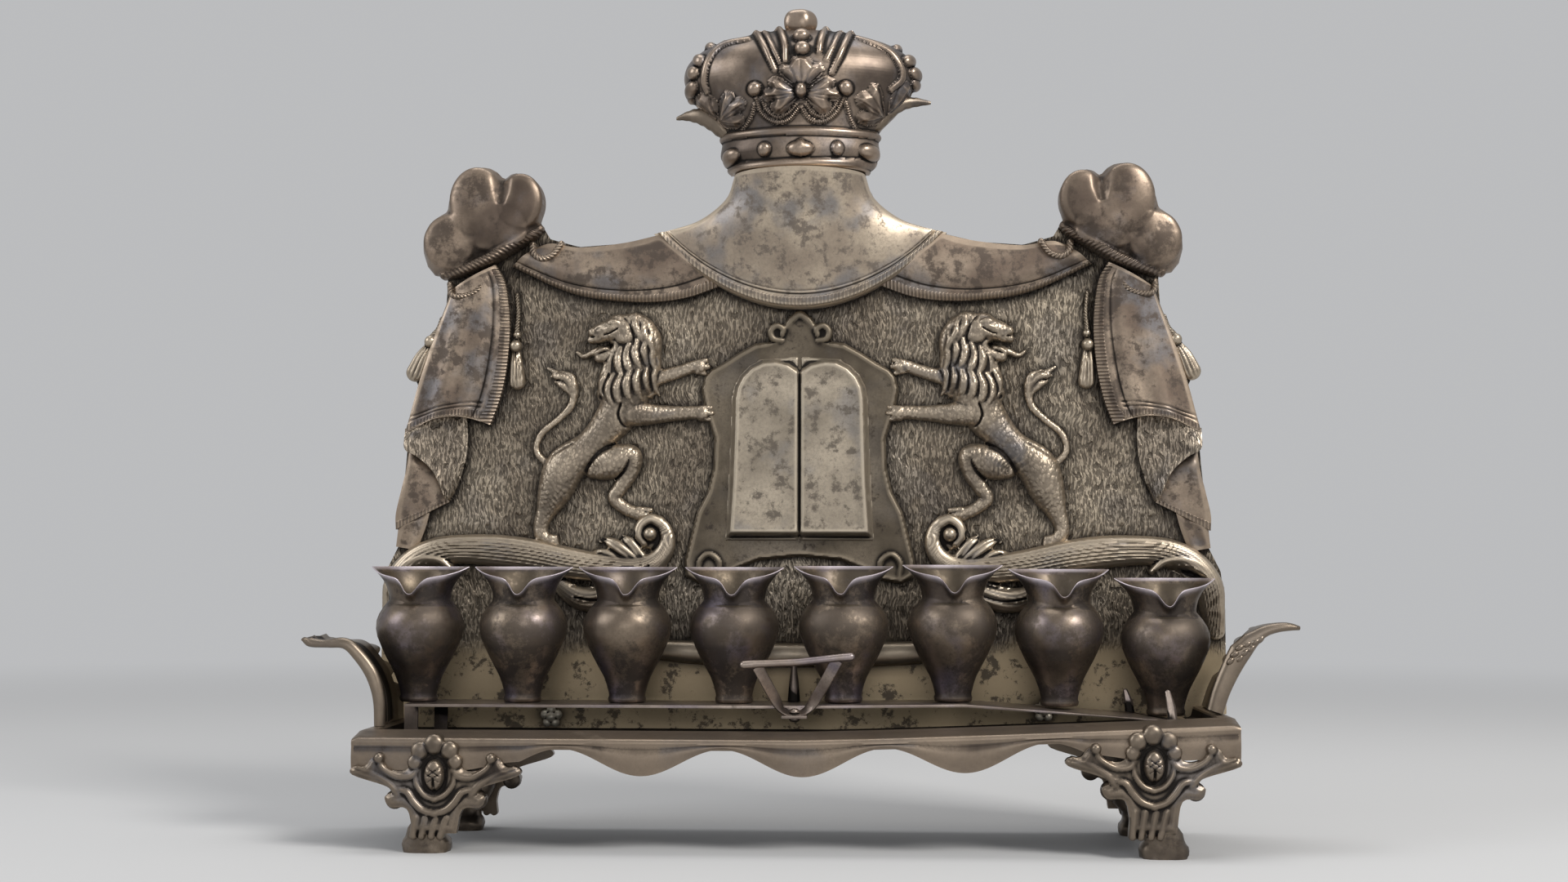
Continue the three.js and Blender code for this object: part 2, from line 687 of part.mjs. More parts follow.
const lionSkullPixels = [766, 413, 25, 25, 4];
const lionMuzzlePixels = [[755, 418, 12, 6], [734, 415, 10, 6], [725, 413, 7, 5]];
const lionJawPixels = [[750, 432, 9, 3], [737, 437, 6.5, 3]];
const lionTonguePixels = [[738, 439, 3, 3], [718, 442, 3, 3], [709, 437, 2.5, 3]];
const lionBrowPixels = [748, 402, 7, 5, 20];
const lionManePixels = [
  [[776, 395, 10, 10], [790, 425, 13, 6], [794, 455, 13, 4], [790, 480, 9, 3]],
  [[762, 405, 8, 18], [779, 440, 9, 15], [776, 470, 9, 12], [782, 492, 5, 10]],
  [[752, 425, 7, 17], [759, 455, 8, 17], [757, 485, 7, 14], [763, 505, 4, 12]],
  [[745, 445, 6, 10], [741, 470, 7, 10], [743, 495, 5, 8]],
];
const lionFlatShare = 0.8;
const lionSkullShare = 0.85;

/** Rampant lion in relief, turned outward. */
function lion(side) {
  const limb = (pixels, steps, sides, flatShare = lionFlatShare) => vine(pixels, steps, sides, flatShare, side);
  return onPlate(join([
    limb(lionTrunkPixels, 10, 6),
    limb(lionRaisedLegPixels, 8, 5),
    limb(lionNearPawPixels, 4, 5),
    limb(lionFarPawPixels, 4, 4),
    limb(lionTailPixels, 10, 4),
    bead(lionSkullPixels, lionSkullShare, side, 8, 5),
    limb(lionMuzzlePixels, 2, 6, 1),
    limb(lionJawPixels, 1, 5, 1),
    limb(lionTonguePixels, 2, 3, 1),
    bead(lionBrowPixels, 1, side, 6, 3),
    ...lionManePixels.map((pixels) => limb(pixels, 3, 4)),
  ]));
}

// Frame round the tablets: outline of its left half, crest curl and foot volute, in pixels
const frameOutlinePixels = [
  [980, 385], [966, 390], [960, 400], [950, 401], [943, 412], [948, 420], [925, 423], [905, 434],
  [885, 447], [870, 455], [862, 464], [858, 480], [864, 510], [874, 540], [873, 576], [866, 605],
  [853, 630], [845, 662], [838, 690], [840, 708], [855, 716], [880, 712], [905, 698], [930, 688], [980, 683],
];
const frameCurlPixels = [953, 412, 9, 9, 4];
const frameVolutePixels = [[858, 708, 3, 4], [857, 690, 3, 5], [868, 680, 3.5, 5], [880, 688, 3.5, 5], [882, 704, 3, 4]];
const frameRise = 1.2;

/** Flat frame with curled crest and arched foot, behind the tablets. */
function frame() {
  const left = frameOutlinePixels.map(place);
  const right = left.slice(1, -1).map(([x, z]) => [-x, z]).reverse();
  const front = plateFront - clearance - frameRise;
  const parts = [plaque([...left, ...right], front, frameRise, frameRise / 4)];
  for (const side of [-1, 1]) {
    parts.push(bead(frameCurlPixels, 1, side, 7, 3));
    parts.push(vine(frameVolutePixels, 5, 4, 1, side));
  }
  return onPlate(join(parts));
}

// Tablets: rounded head and straight side of the left one, in pixels
const tabletHeadPixels = [[974, 450], [950, 443], [925, 448], [905, 464], [896, 490]];
const tabletSidePixels = [[893, 600], [889, 662], [978, 662]];
const tabletThick = 4.2;
const tabletSlope = 2.4;

/** The double tablets, bare, with rounded heads and a sloped rim. */
function tablets() {
  const left = [...smoothLine(tabletHeadPixels.map(place), 8), ...tabletSidePixels.map(place)];
  const right = left.map(([x, z]) => [-x, z]).reverse();
  const back = plateFront - clearance - frameRise - seatGap;
  const front = back - tabletThick;
  const [, top] = left[0];
  const [, low] = left[left.length - 1];
  const bridge = block([-tabletSlope, back - tabletThick / 3, low], [tabletSlope, back, top]);
  return join([plaque(left, front, tabletThick, tabletSlope), plaque(right, front, tabletThick, tabletSlope), bridge]);
}

// Scroll: from the coil under the lion's paw, over and down to the outer edge, in pixels
const scrollBodyPixels = [[786, 657, 5, 10], [788, 645, 5.5, 9], [799, 639, 6.5, 8], [812, 647, 8, 6], [818, 664, 9.5, 6],
  [809, 684, 12, 6], [784, 698, 15, 6], [745, 697, 17, 7], [700, 690, 19, 8], [655, 682, 20, 9], [610, 677, 20, 9],
  [565, 675, 18, 8], [528, 678, 15, 7], [498, 692, 12, 6], [477, 715, 10, 5], [467, 742, 9, 5], [465, 768, 8, 4]];
const scrollEyePixels = [799, 661, 17, 17, 2];
const scrollUnderPixels = [[806, 690, 9, 5], [785, 712, 13, 5], [748, 730, 16, 6], [715, 735, 15, 6], [690, 722, 11, 5],
  [676, 706, 7, 4]];
const scrollLeafPixels = [[780, 690, 6, 3], [752, 680, 9, 3], [730, 672, 8, 2], [742, 664, 5, 2]];
const scrollShootPixels = [[776, 684, 6, 3], [768, 670, 8, 3], [772, 659, 5, 3]];
const scrollFlatShare = 0.75;

/** Great leafy scroll from the outer edge to the coil under the lion's paw. */
function scroll(side) {
  const sprig = (pixels, steps, sides) => vine(pixels, steps, sides, scrollFlatShare, side);
  return onPlate(join([
    sprig(scrollBodyPixels, 19, 6),
    bead(scrollEyePixels, scrollFlatShare, side, 7, 4),
    sprig(scrollUnderPixels, 5, 5),
    sprig(scrollLeafPixels, 3, 4),
    sprig(scrollShootPixels, 2, 4),
  ]));
}

// Moulding under the matted field, in pixels
const mouldingPixels = [[815, 797, 15], [870, 800, 15], [980, 802, 15], [1090, 800, 15], [1145, 797, 15]];
const mouldingFlatShare = 0.9;

/** Half-round moulding under the matted field. */
function baseMoulding() {
  return onPlate(vine(mouldingPixels, 6, 6, mouldingFlatShare, 1));
}

// Crown: half width and bulge at shares of its height
const crownSizeShares = [
  [0, 0.66, 1], [0.12, 0.68, 1], [0.3, 0.7, 1], [0.42, 0.82, 1.12], [0.55, 0.94, 1.2], [0.68, 1, 1.22],
  [0.8, 0.95, 1.12], [0.9, 0.78, 0.9], [0.97, 0.5, 0.6], [1, 0.28, 0.4],
];
const crownRowShares = [0, 0.3, 0.45, 0.6, 0.74, 0.86, 0.95, 1];
const crownFacets = 8;

/** Half width and bulge of the crown at a height. */
function crownSize(z) {
  const share = (z - crownBottom) / (crownTop - crownBottom);
  let i = 1;
  while (i < crownSizeShares.length - 1 && crownSizeShares[i][0] < share) i += 1;
  const [a, b] = [crownSizeShares[i - 1], crownSizeShares[i]];
  const u = Math.min(1, Math.max(0, (share - a[0]) / (b[0] - a[0])));
  const soft = u * u * (3 - 2 * u);
  return [crownHalf * (a[1] + (b[1] - a[1]) * soft), crownBulge * (a[2] + (b[2] - a[2]) * soft)];
}

/** Place of the crown's front in Y, at a distance from its axis and a height. */
function crownSurface(x, z) {
  const [wide, bulge] = crownSize(z);
  const share = Math.min(1, Math.abs(x) / wide);
  return plateFront - clearance - bulge * Math.sqrt(1 - share * share);
}

// Crown ornament in pixels: [distance from the axis, y, radius or radii, lift]
const bandHalfPixels = 93;
const bandPixels = { upper: 176, lower: 216, radius: 4 };
const bandStudPixels = [[0, 196, 16, 10], [-47, 196, 8, 8], [47, 196, 8, 8], [-82, 196, 10, 10], [82, 196, 10, 10]];
const ribCentrePixels = [-52, 0, 52];
const ribPixels = [[-26, 130, 4], [-15, 149, 4], [15, 149, 4], [26, 130, 4]];
const pearlPixels = [57, 110, 8, 8];
const petalPixels = [[8, 13], [22, 13], [36, 13]];
const petalAngles = [-0.95, 0, 0.95];
const petalRootPixel = 112;
const flowerEyePixels = [0, 112, 6, 7, 10];
const sideLeafPixels = [[[78, 140, 11], [86, 125, 11], [100, 112, 11]], [[96, 135, 10], [112, 124, 10]]];
const frontArchPixels = [[22, 92, 5, 2], [34, 62, 5, 2], [46, 42, 5, 2]];
const sideArchPixels = [[134, 118, 6, 2], [132, 90, 6, 2], [118, 66, 6, 2], [92, 50, 6, 2]];
const archBeadPixels = [[0, 60, 7, 6.3, 3], [0, 44, 7, 6.3, 3]];
const tipLeafPixels = [[108, 134, 9], [133, 135.5, 7], [158, 137, 2]];

/** Shell of the crown: circlet, swelling cap and flat back. */
function crownCap() {
  const back = plateFront - clearance;
  return capped(crownRowShares.map((share) => {
    const z = crownBottom + share * (crownTop - crownBottom);
    const [wide] = crownSize(z);
    return Array.from({ length: crownFacets + 1 }, (_, j) => {
      const x = wide * Math.cos((Math.PI * j) / crownFacets);
      return new THREE.Vector3(x, j === 0 || j === crownFacets ? back : crownSurface(x, z), z);
    });
  }));
}

/** Crown: banded circlet, leaf crest, smooth cap and beaded arches. */
function crown() {
  const spot = (dx, py) => [dx * crownAcrossPixel, crownBottom + (crownFootPixel - py) * crownUpPixel];
  const onCrown = (dx, py, lift = 0) => {
    const [x, z] = spot(dx, py);
    return [x, crownSurface(x, z) - lift * crownAcrossPixel, z];
  };
  const rib = (pixels, steps, sides, shift = 0, way = 1) => strand(pixels.map(([dx, py, pr, lift]) => [
    ...onCrown(shift + way * dx, py, lift), pr * crownAcrossPixel,
  ]), steps, sides);
  const stud = ([dx, py, rx, rz, lift = 0], way = 1) => lump(onCrown(way * dx, py, lift),
    [rx * crownAcrossPixel, Math.min(rx, rz) * crownAcrossPixel, rz * crownUpPixel]);
  const parts = [crownCap()];
  for (const py of [bandPixels.lower, bandPixels.upper]) {
    const line = stationsFrom(-bandHalfPixels, bandHalfPixels, 6).map((dx) => [dx, py, bandPixels.radius]);
    parts.push(rib(line, 6, 4));
  }
  parts.push(...bandStudPixels.map((pixels) => stud(pixels)));
  parts.push(...ribCentrePixels.map((shift) => rib(ribPixels, 3, 4, shift)));
  for (const angle of petalAngles) {
    const petal = petalPixels.map(([out, pr]) => [out * Math.sin(angle), petalRootPixel - out * Math.cos(angle), pr]);
    parts.push(rib(petal, 1, 5));
  }
  parts.push(stud(flowerEyePixels), ...archBeadPixels.map((pixels) => stud(pixels)));
  for (const way of [-1, 1]) {
    parts.push(stud(pearlPixels, way));
    parts.push(...sideLeafPixels.map((pixels) => rib(pixels, 1, 5, 0, way)));
    parts.push(rib(frontArchPixels, 2, 4, 0, way), rib(sideArchPixels, 3, 4, 0, way));
    parts.push(strand(tipLeafPixels.map(([dx, py, pr], i) => {
      const [x, z] = spot(way * dx, py);
      return [x, plateFront - crownBulge / (2 + i), z, pr * crownAcrossPixel];
    }), 2, 6));
  }
  return onPlate(join(parts));
}

const orbDeepShare = 0.8;
const orbForwardShare = 0.33;

/** Flattened ball on top of the crown, seated on what rises there. */
function orb(crownBody) {
  const y = plateFront - crownBulge * orbForwardShare;
  const ball = lump([0, y, crownTop + orbHeight / 2], [orbRadius, orbRadius * orbDeepShare, orbHeight / 2], 10, 6);
  const under = block([-cutReach, -cutReach, -cutReach], [cutReach, cutReach, crownTop + seatGap]);
  return ball.subtract(under).subtract(join([crownBody, moved(crownBody, 0, 0, seatGap)]));
}

// Rack: hump and droop of its strip, and tabs along it, as shares of its half length
const humpShares = { centre: 0.36, reach: 0.22 };
const droopShare = 0.5;
const droopPower = 1.5;
const prongShares = [{ at: 0.95, tall: 1, front: true }, { at: 0.865, tall: 0.8, front: false }];
const prongLineShares = [[0, 0, 0.36], [-0.1, 0.5, 0.32], [-0.35, 1, 0.18]];
const spikeLineShares = [[0, 0, 0.48], [0, 0.5, 0.36], [0, 1, 0.16]];
const spikeShare = -0.3;
const tabFlatShare = 0.4;
const legShares = [0.5, 1.6];

/** Height of the rack plate's top at x: level, a slight hump, then down to rest on the raised floor. */
function rackLine(x) {
  const share = x / rackHalf;
  const rackDroop = rackTop - rackThick - seatGap - trayFloor(rackHalf);
  const hump = rackHump * Math.exp(-(((share - humpShares.centre) / humpShares.reach) ** 2));
  const droop = share > droopShare ? rackDroop * ((share - droopShare) / (1 - droopShare)) ** droopPower : 0;
  return rackTop + hump - droop;
}

/** An upright tab of the rack, tapering, from [across, up, radius] shares. */
function tab(x, y, height, lineShares) {
  const foot = rackLine(x) - rackThick / 2;
  return strand(lineShares.map(([across, up, r]) => [
    x + across * tabWide, y, foot + up * height, r * tabWide,
  ]), 2, 6, tabFlatShare);
}

/** Rack: thin strip with two legs, two prongs, a rear spike and a tongue for the handle. */
function rackPlate() {
  const [nearY, farY] = [rackFront + rackThick, rackBack - rackThick];
  const parts = [bentSlab(-rackHalf, rackHalf, (x) => rackLine(x) - rackThick, rackLine, rackFront, rackBack, 14)];
  const legFoot = trayFloor(-rackHalf) + seatGap;
  legShares.forEach((share, i) => {
    const x = share * tabWide - rackHalf;
    const y = i === 0 ? nearY : farY;
    parts.push(block([x - tabWide / 2, y - rackThick / 2, legFoot],
      [x + tabWide / 2, y + rackThick / 2, rackTop - rackThick / 2]));
  });
  for (const { at, tall, front } of prongShares) {
    parts.push(tab(at * rackHalf, front ? nearY : farY, tall * prongHeight, prongLineShares));
  }
  parts.push(tab(spikeShare * tabWide, farY, spikeHeight, spikeLineShares));
  const tongueTop = rackTop - tongueDrop;
  const half = tongueWide / 2;
  parts.push(block([-half, rackFront, tongueTop - rackThick], [half, nearY, rackTop - rackThick / 2]));
  parts.push(block([-half, rackFront - tongueReach, tongueTop - rackThick], [half, nearY, tongueTop]));
  return join(parts).subtract(rivetHole(handleY).subtract(block(
    [-cutReach, -cutReach, rackTop], [cutReach, cutReach, cutReach],
  )));
}

// Jug: turned belly as [height share, share of the foot's radius], then neck and drawn lip
const jugProfileShares = [[0, 1], [0.07, 1.04], [0.24, 1.5], [0.41, 2.14], [0.54, 2.44], [0.65, 2.26]];
const jugTurnDegrees = [0, 13, 29, 52, 80, 110, 145, 180];
const neckShare = 0.755;
const neckDipShare = 0.03;
const throatShare = 0.12;
const flareShare = 0.55;
const wingPower = 1.25;
const spoutPower = 1.3;
const spoutSharpPower = 7;

/** Reach of a jug's wings: half the least pitch on the rack, less the clearance. */
function wingReach() {
  const pitches = jugStationShares.slice(1).map((share, i) => (share - jugStationShares[i]) * rackHalf);
  return Math.min(...pitches) / 2 - clearance;
}

/** Oil jug with a waisted neck, two drawn-out wings, a raised back lip and a pinched spout. */
function jug() {
  const turns = [...jugTurnDegrees, ...jugTurnDegrees.slice(1, -1).reverse().map((degrees) => 360 - degrees)];
  const angles = turns.map((degrees) => THREE.MathUtils.degToRad(degrees));
  const profile = jugProfileShares.map(([z, r]) => [z * jugHeight, r * jugFootRadius]);
  const ringAt = (z, radius) => angles.map((a) => new THREE.Vector3(radius * Math.sin(a), -radius * Math.cos(a), z));
  const wing = wingReach();
  const rim = angles.map((a) => {
    const front = Math.max(0, Math.cos(a));
    const back = Math.max(0, -Math.cos(a));
    const spread = wing * Math.abs(Math.sin(a)) ** wingPower * Math.sign(Math.sin(a));
    const depth = back * backLipReach - spoutReach * front ** spoutPower;
    const throat = throatShare * jugHeight * front ** 2 * (1 - front ** (spoutSharpPower - 1));
    return new THREE.Vector3(spread, depth, jugHeight - spoutDrop * front ** spoutSharpPower - throat);
  });
  const neck = ringAt(neckShare * jugHeight, jugNeckRadius).map((p, i) => {
    p.z -= neckDipShare * jugHeight * Math.max(0, Math.cos(angles[i])) ** 4;
    return p;
  });
  const blend = (share) => neck.map((p, i) => {
    const bend = new THREE.Vector3(p.x, p.y, p.z + (rim[i].z - p.z) * flareShare);
    return new THREE.Vector3()
      .addScaledVector(p, (1 - share) ** 2)
      .addScaledVector(bend, 2 * share * (1 - share))
      .addScaledVector(rim[i], share ** 2);
  });
  const lined = (ring) => ring.map((p) => {
    const length = Math.hypot(p.x, p.y);
    const keep = (length - jugWall) / length;
    return new THREE.Vector3(p.x * keep, p.y * keep, p.z);
  });
  const belly = profile.map(([z, r]) => ringAt(z, r));
  const [footHigh, footWide] = profile[1];
  const [bellyHigh, bellyWide] = profile[4];
  const floor = footHigh + jugWall;
  const lip = blend(flareShare);
  return geometryOf(skin([
    [new THREE.Vector3(0, 0, 0)], ...belly, neck, lip, rim,
    lined(rim), lined(lip), lined(neck), ringAt(bellyHigh, bellyWide - jugWall), ringAt(floor, footWide - jugWall),
    [new THREE.Vector3(0, 0, floor)],
  ]));
}

// Handle: one leg of the V as [across, up] shares, and the bow of its bar
const legFootShares = [[0.6, 0], [1.25, 0.1]];
const legMiddleShares = [0.45, 0.4];
const legTopShare = 0.96;
const legInsetShare = 1.3;
const barStationShares = [-0.5, -0.36, 0, 0.36, 0.5];
const barBowShares = [0, 0, -0.4, 0, 0];

/** Leans a point of the handle towards the viewer, about its rivet. */
function leaned(x, y, z) {
  return new THREE.Vector3(x, y, z).applyAxisAngle(new THREE.Vector3(1, 0, 0), handleLeanAngle);
}

/** V-bent strap of the handle, on its rivet's axis. */
function handleStrap() {
  const half = strapBase / 2;
  const top = handleBar / 2 - legInsetShare * strapWide;
  const [middleAcross, middleUp] = legMiddleShares;
  const legs = [-1, 1].map((side) => {
    const middle = smoothLine([
      ...legFootShares.map(([x, z]) => [side * x * half, z * handleRise]),
      [side * (half + (top - half) * middleAcross), middleUp * handleRise],
      [side * top, legTopShare * handleRise + side * Math.sin(handleTiltAngle) * top],
    ], 6);
    return capped(middle.map(([x, z], i) => {
      const [nx, nz] = middle[Math.min(i + 1, middle.length - 1)];
      const [lx, lz] = middle[Math.max(i - 1, 0)];
      const scale = strapThick / 2 / Math.hypot(nx - lx, nz - lz);
      const [ox, oz] = [(lz - nz) * scale, (nx - lx) * scale];
      const w = strapWide / 2;
      return [leaned(x - ox, -w, z - oz), leaned(x + ox, -w, z + oz), leaned(x + ox, w, z + oz),
        leaned(x - ox, w, z - oz)];
    }));
  });
  const base = block([-half, -strapWide / 2, -strapThick / 2], [half, strapWide / 2, strapThick / 2]);
  const under = block([-cutReach, -cutReach, -cutReach], [cutReach, cutReach, -strapThick / 2]);
  return join([...legs, base]).subtract(rivetHole(0)).subtract(under).subtract(handleBarSolid(barRadius + seatGap));
}

/** Round bar of the handle, a little bowed. */
function handleBarSolid(radius) {
  return strand(barStationShares.map((share, i) => {
    const x = share * handleBar;
    const p = leaned(x, 0, handleRise + Math.sin(handleTiltAngle) * x + barBowShares[i] * barRadius);
    return [p.x, p.y, p.z, radius];
  }), 6, 8);
}

/** Rivet that pins the strap to the rack's tongue. */
function handleRivet() {
  const play = clearance / 2;
  const gripLow = rackTop - tongueDrop - rackThick - play;
  const gripHigh = rackTop - tongueDrop + strapThick + 2 * play;
  const profile = [
    [0, gripLow - rivetRadius],
    [rivetHead, gripLow - rivetRadius / 2],
    [rivetHead, gripLow],
    [rivetRadius, gripLow],
    [rivetRadius, gripHigh],
    [rivetHead, gripHigh],
    [rivetRadius, gripHigh + rivetRadius * tipShare],
    [0, gripHigh + rivetRadius],
  ].map(([r, z]) => new THREE.Vector2(r, z));
  const lathe = new THREE.LatheGeometry(profile, 12);
  lathe.rotateX(quarterTurn);
  return solidOf(lathe);
}

// Rosette screws: pixels across, and the sizes of their petals
const rosettePixels = { left: 675, right: 1277 };
const petalCircle = 2;
const petalRadius = 1.5;
const petalDeep = 1.8;
const petalCount = 5;

/** Rosette-headed screw holding the backplate to the bench, close over the tray's floor. */
function rosette(pixel) {
  const [x] = place([pixel, footPixel]);
  const y = plateFront - clearance;
  const z = trayFloor(x) + petalCircle + petalRadius + clearance;
  const parts = [lump([x, y, z], [petalCircle, petalDeep, petalCircle])];
  for (let i = 0; i < petalCount; i += 1) {
    const angle = (2 * Math.PI * (i + 0.25)) / petalCount;
    parts.push(lump([x + petalCircle * Math.cos(angle), y, z + petalCircle * Math.sin(angle)],
      [petalRadius, petalDeep, petalRadius]));
  }
  return onPlate(join(parts));
}

const lamp = new THREE.Group();
const rack = new THREE.Group();
const handle = new THREE.Group();
const dark = 0x4b4138;
const warm = 0x6b5f50;
const pale = 0x8c7d68;

/** Adds one named piece with its own finish. */
function add(parent, name, source, colour, roughness) {
  const geometry = source.isBufferGeometry ? source : geometryOf(source);
  const material = new THREE.MeshStandardMaterial({ color: colour, roughness, metalness: 0.85 });
  const mesh = new THREE.Mesh(geometry, material);
  mesh.name = name;
  parent.add(mesh);
  return mesh;
}

/** Turns a geometry into its mirror image in X, faces still outward. */
function mirrorInX(geometry) {
  geometry.scale(-1, 1, 1);
  const index = geometry.index.array;
  for (let i = 0; i < index.length; i += 3) [index[i], index[i + 1]] = [index[i + 1], index[i]];
  geometry.computeVertexNormals();
}

add(lamp, 'bench_tray', benchTray(), warm, 0.42);
for (const [sideName, side] of [['left', -1], ['right', 1]]) {
  for (const rear of [false, true]) {
    const foot = add(lamp, `foot_${rear ? 'back' : 'front'}_${sideName}`, castFoot(rise(side * footX)), dark, 0.4);
    foot.position.set(side * footX, rear ? benchBack + clearance : benchFront - clearance, 0);
    if (rear) foot.rotation.z = Math.PI;
    if (rear === side < 0) mirrorInX(foot.geometry);
  }
  add(lamp, `arm_${sideName}`, sideArm(side), dark, 0.38);
}
add(lamp, 'backplate', backplate(), warm, 0.5);

const bib = mantleBib();
const tabletFrame = frame();
const frameRoom = join([tabletFrame, moved(tabletFrame, 0, -clearance, 0)]);
add(lamp, 'mantle_bib', bib, pale, 0.38);
add(lamp, 'tablet_frame', tabletFrame, pale, 0.5);
add(lamp, 'tablets', tablets(), pale, 0.46);
for (const [sideName, side] of [['left', -1], ['right', 1]]) {
  const knotBody = knot(side);
  const outerTassel = tassel(outerTasselPixels, side);
  const innerTassel = tassel(innerTasselPixels, side);
  const knotRoom = roomFor(knotBody, side);
  const tasselRoom = roomFor(outerTassel, side).add(roomFor(innerTassel, side));
  const lionBody = lion(side).subtract(frameRoom);
  add(lamp, `knot_${sideName}`, knotBody, warm, 0.34);
  add(lamp, `swag_${sideName}`, swag(side).subtract(roomFor(bib)).subtract(knotRoom), warm, 0.42);
  add(lamp, `curtain_${sideName}`, curtain(side).subtract(knotRoom).subtract(tasselRoom), warm, 0.4);
  add(lamp, `tassel_outer_${sideName}`, outerTassel, dark, 0.4);
  add(lamp, `tassel_inner_${sideName}`, innerTassel, dark, 0.4);
  add(lamp, `lion_${sideName}`, lionBody, warm, 0.4);
  add(lamp, `scroll_${sideName}`, scroll(side).subtract(roomFor(lionBody, side)), warm, 0.4);
}
const crownBody = crown();
add(lamp, 'base_moulding', baseMoulding(), warm, 0.36);
add(lamp, 'crown', crownBody, warm, 0.38);
add(lamp, 'crown_orb', orb(crownBody), warm, 0.34);
add(lamp, 'rosette_screw_left', rosette(rosettePixels.left), pale, 0.34);
add(lamp, 'rosette_screw_right', rosette(rosettePixels.right), pale, 0.34);

add(rack, 'rack_plate', rackPlate(), dark, 0.36);
jugStationShares.forEach((share, i) => {
  const mesh = add(rack, `jug_${i + 1}`, jug(), dark, 0.3);
  const x = share * rackHalf;
  const high = Math.max(rackLine(x - jugFootRadius), rackLine(x), rackLine(x + jugFootRadius));
  mesh.position.set(x, jugY, high + seatGap);
});
add(rack, 'handle_rivet', handleRivet(), warm, 0.34).position.set(0, handleY, 0);
add(handle, 'handle_strap', handleStrap(), dark, 0.34);
add(handle, 'handle_bar', handleBarSolid(barRadius), warm, 0.34);
handle.position.set(0, handleY, rackTop - tongueDrop + (strapThick + clearance) / 2);
handle.rotation.z = handleSwivelAngle;
rack.add(handle);
lamp.add(rack);

const whole = new THREE.Group();
whole.add(lamp);
whole.updateMatrixWorld(true);
const bounds = new THREE.Box3().setFromObject(lamp, true);
lamp.position.set(-(bounds.min.x + bounds.max.x) / 2, -(bounds.min.y + bounds.max.y) / 2, -bounds.min.z);

export default whole;
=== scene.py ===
"""Looks of a footed bench oil lamp in tarnished silver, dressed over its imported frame."""

import enum
import logging
import math
from dataclasses import dataclass
from functools import partial
from typing import Callable, Sequence

import bmesh
import bpy
import numpy as np
from mathutils import Matrix, Vector, kdtree


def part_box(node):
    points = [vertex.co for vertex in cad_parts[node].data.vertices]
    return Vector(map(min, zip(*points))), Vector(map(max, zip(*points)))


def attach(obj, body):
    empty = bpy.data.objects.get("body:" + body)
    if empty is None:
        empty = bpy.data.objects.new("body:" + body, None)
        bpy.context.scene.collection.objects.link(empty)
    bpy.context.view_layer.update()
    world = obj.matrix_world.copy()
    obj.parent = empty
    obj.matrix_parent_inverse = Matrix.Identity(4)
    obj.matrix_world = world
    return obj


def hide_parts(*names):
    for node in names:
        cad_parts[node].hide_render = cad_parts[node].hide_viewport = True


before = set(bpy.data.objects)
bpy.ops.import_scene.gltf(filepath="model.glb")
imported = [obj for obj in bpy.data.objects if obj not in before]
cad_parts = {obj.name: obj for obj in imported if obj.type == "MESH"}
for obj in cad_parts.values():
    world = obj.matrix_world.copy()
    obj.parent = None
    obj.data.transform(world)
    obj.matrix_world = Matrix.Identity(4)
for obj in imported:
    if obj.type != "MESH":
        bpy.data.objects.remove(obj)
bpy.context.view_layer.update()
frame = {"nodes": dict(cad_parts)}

Array = np.ndarray
Pixels = tuple[tuple[float, ...], ...]
Material = bpy.types.Material
Object = bpy.types.Object
Mesh = bmesh.types.BMesh
Shape = Callable[[Array, Array], tuple[Array, ...]]
log = logging.getLogger("lamp")

# One millimetre in metres. Lengths are millimetres unless a line says otherwise.
MM = 0.001
# Stands for the height of a place that no form covers.
FAR = -20.0
# Fall of a form's wall outside its outline.
WALL_SLOPE = 3.0
# Height of a relief's edge over the plate, and the gap left behind it.
LEAST_EDGE = 0.15
BACK_GAP = 0.02
# Least radius of a bar, in pixels.
THINNEST = 0.2
# Points nearer than this are joined, in metres.
WELD = 1e-6


class Body(enum.Enum):
    """The moving bodies of the lamp."""

    LAMP = "lamp"
    RACK = "rack"
    HANDLE = "handle"


class Side(enum.IntEnum):
    """Left or right half, as the sign of X."""

    LEFT = -1
    RIGHT = 1

    @property
    def word(self) -> str:
        """Word used in the names of pieces."""
        return "left" if self is Side.LEFT else "right"


@dataclass(frozen=True)
class PlateView:
    """Turns pixels of the reference into millimetres on the backplate's plane."""

    across: float = 142.5 / 517
    up: float = 237.5 / 851.5
    axis: float = 980.0
    foot_pixel: float = 891.5
    foot: float = 33.7
    front: float = 28.8
    eye: tuple[float, float, float] = (26.8, -649.0, 88.0)

    def place(self, px: Array, py: Array) -> tuple[Array, Array]:
        """Place of a pixel on the plate.

        Args:
            px: Pixels from the left.
            py: Pixels from the top.

        Returns:
            X and Z in millimetres.
        """
        return (px - self.axis) * self.across, self.foot + (self.foot_pixel - py) * self.up

    def pixel(self, x: Array, z: Array) -> tuple[Array, Array]:
        """Pixel of a place on the plate."""
        return x / self.across + self.axis, self.foot_pixel - (z - self.foot) / self.up

    def nearer(self, x: Array, z: Array, depth: Array) -> tuple[Array, Array]:
        """Moves a place on the plate along its line of sight to a plane nearer the eye.

        Args:
            x: X on the plate.
            z: Z on the plate.
            depth: Distance of the nearer plane from the plate.

        Returns:
            X and Z on the nearer plane.
        """
        share = 1 - depth / (self.front - self.eye[1])
        return self.eye[0] + (x - self.eye[0]) * share, self.eye[2] + (z - self.eye[2]) * share


PLATE = PlateView()


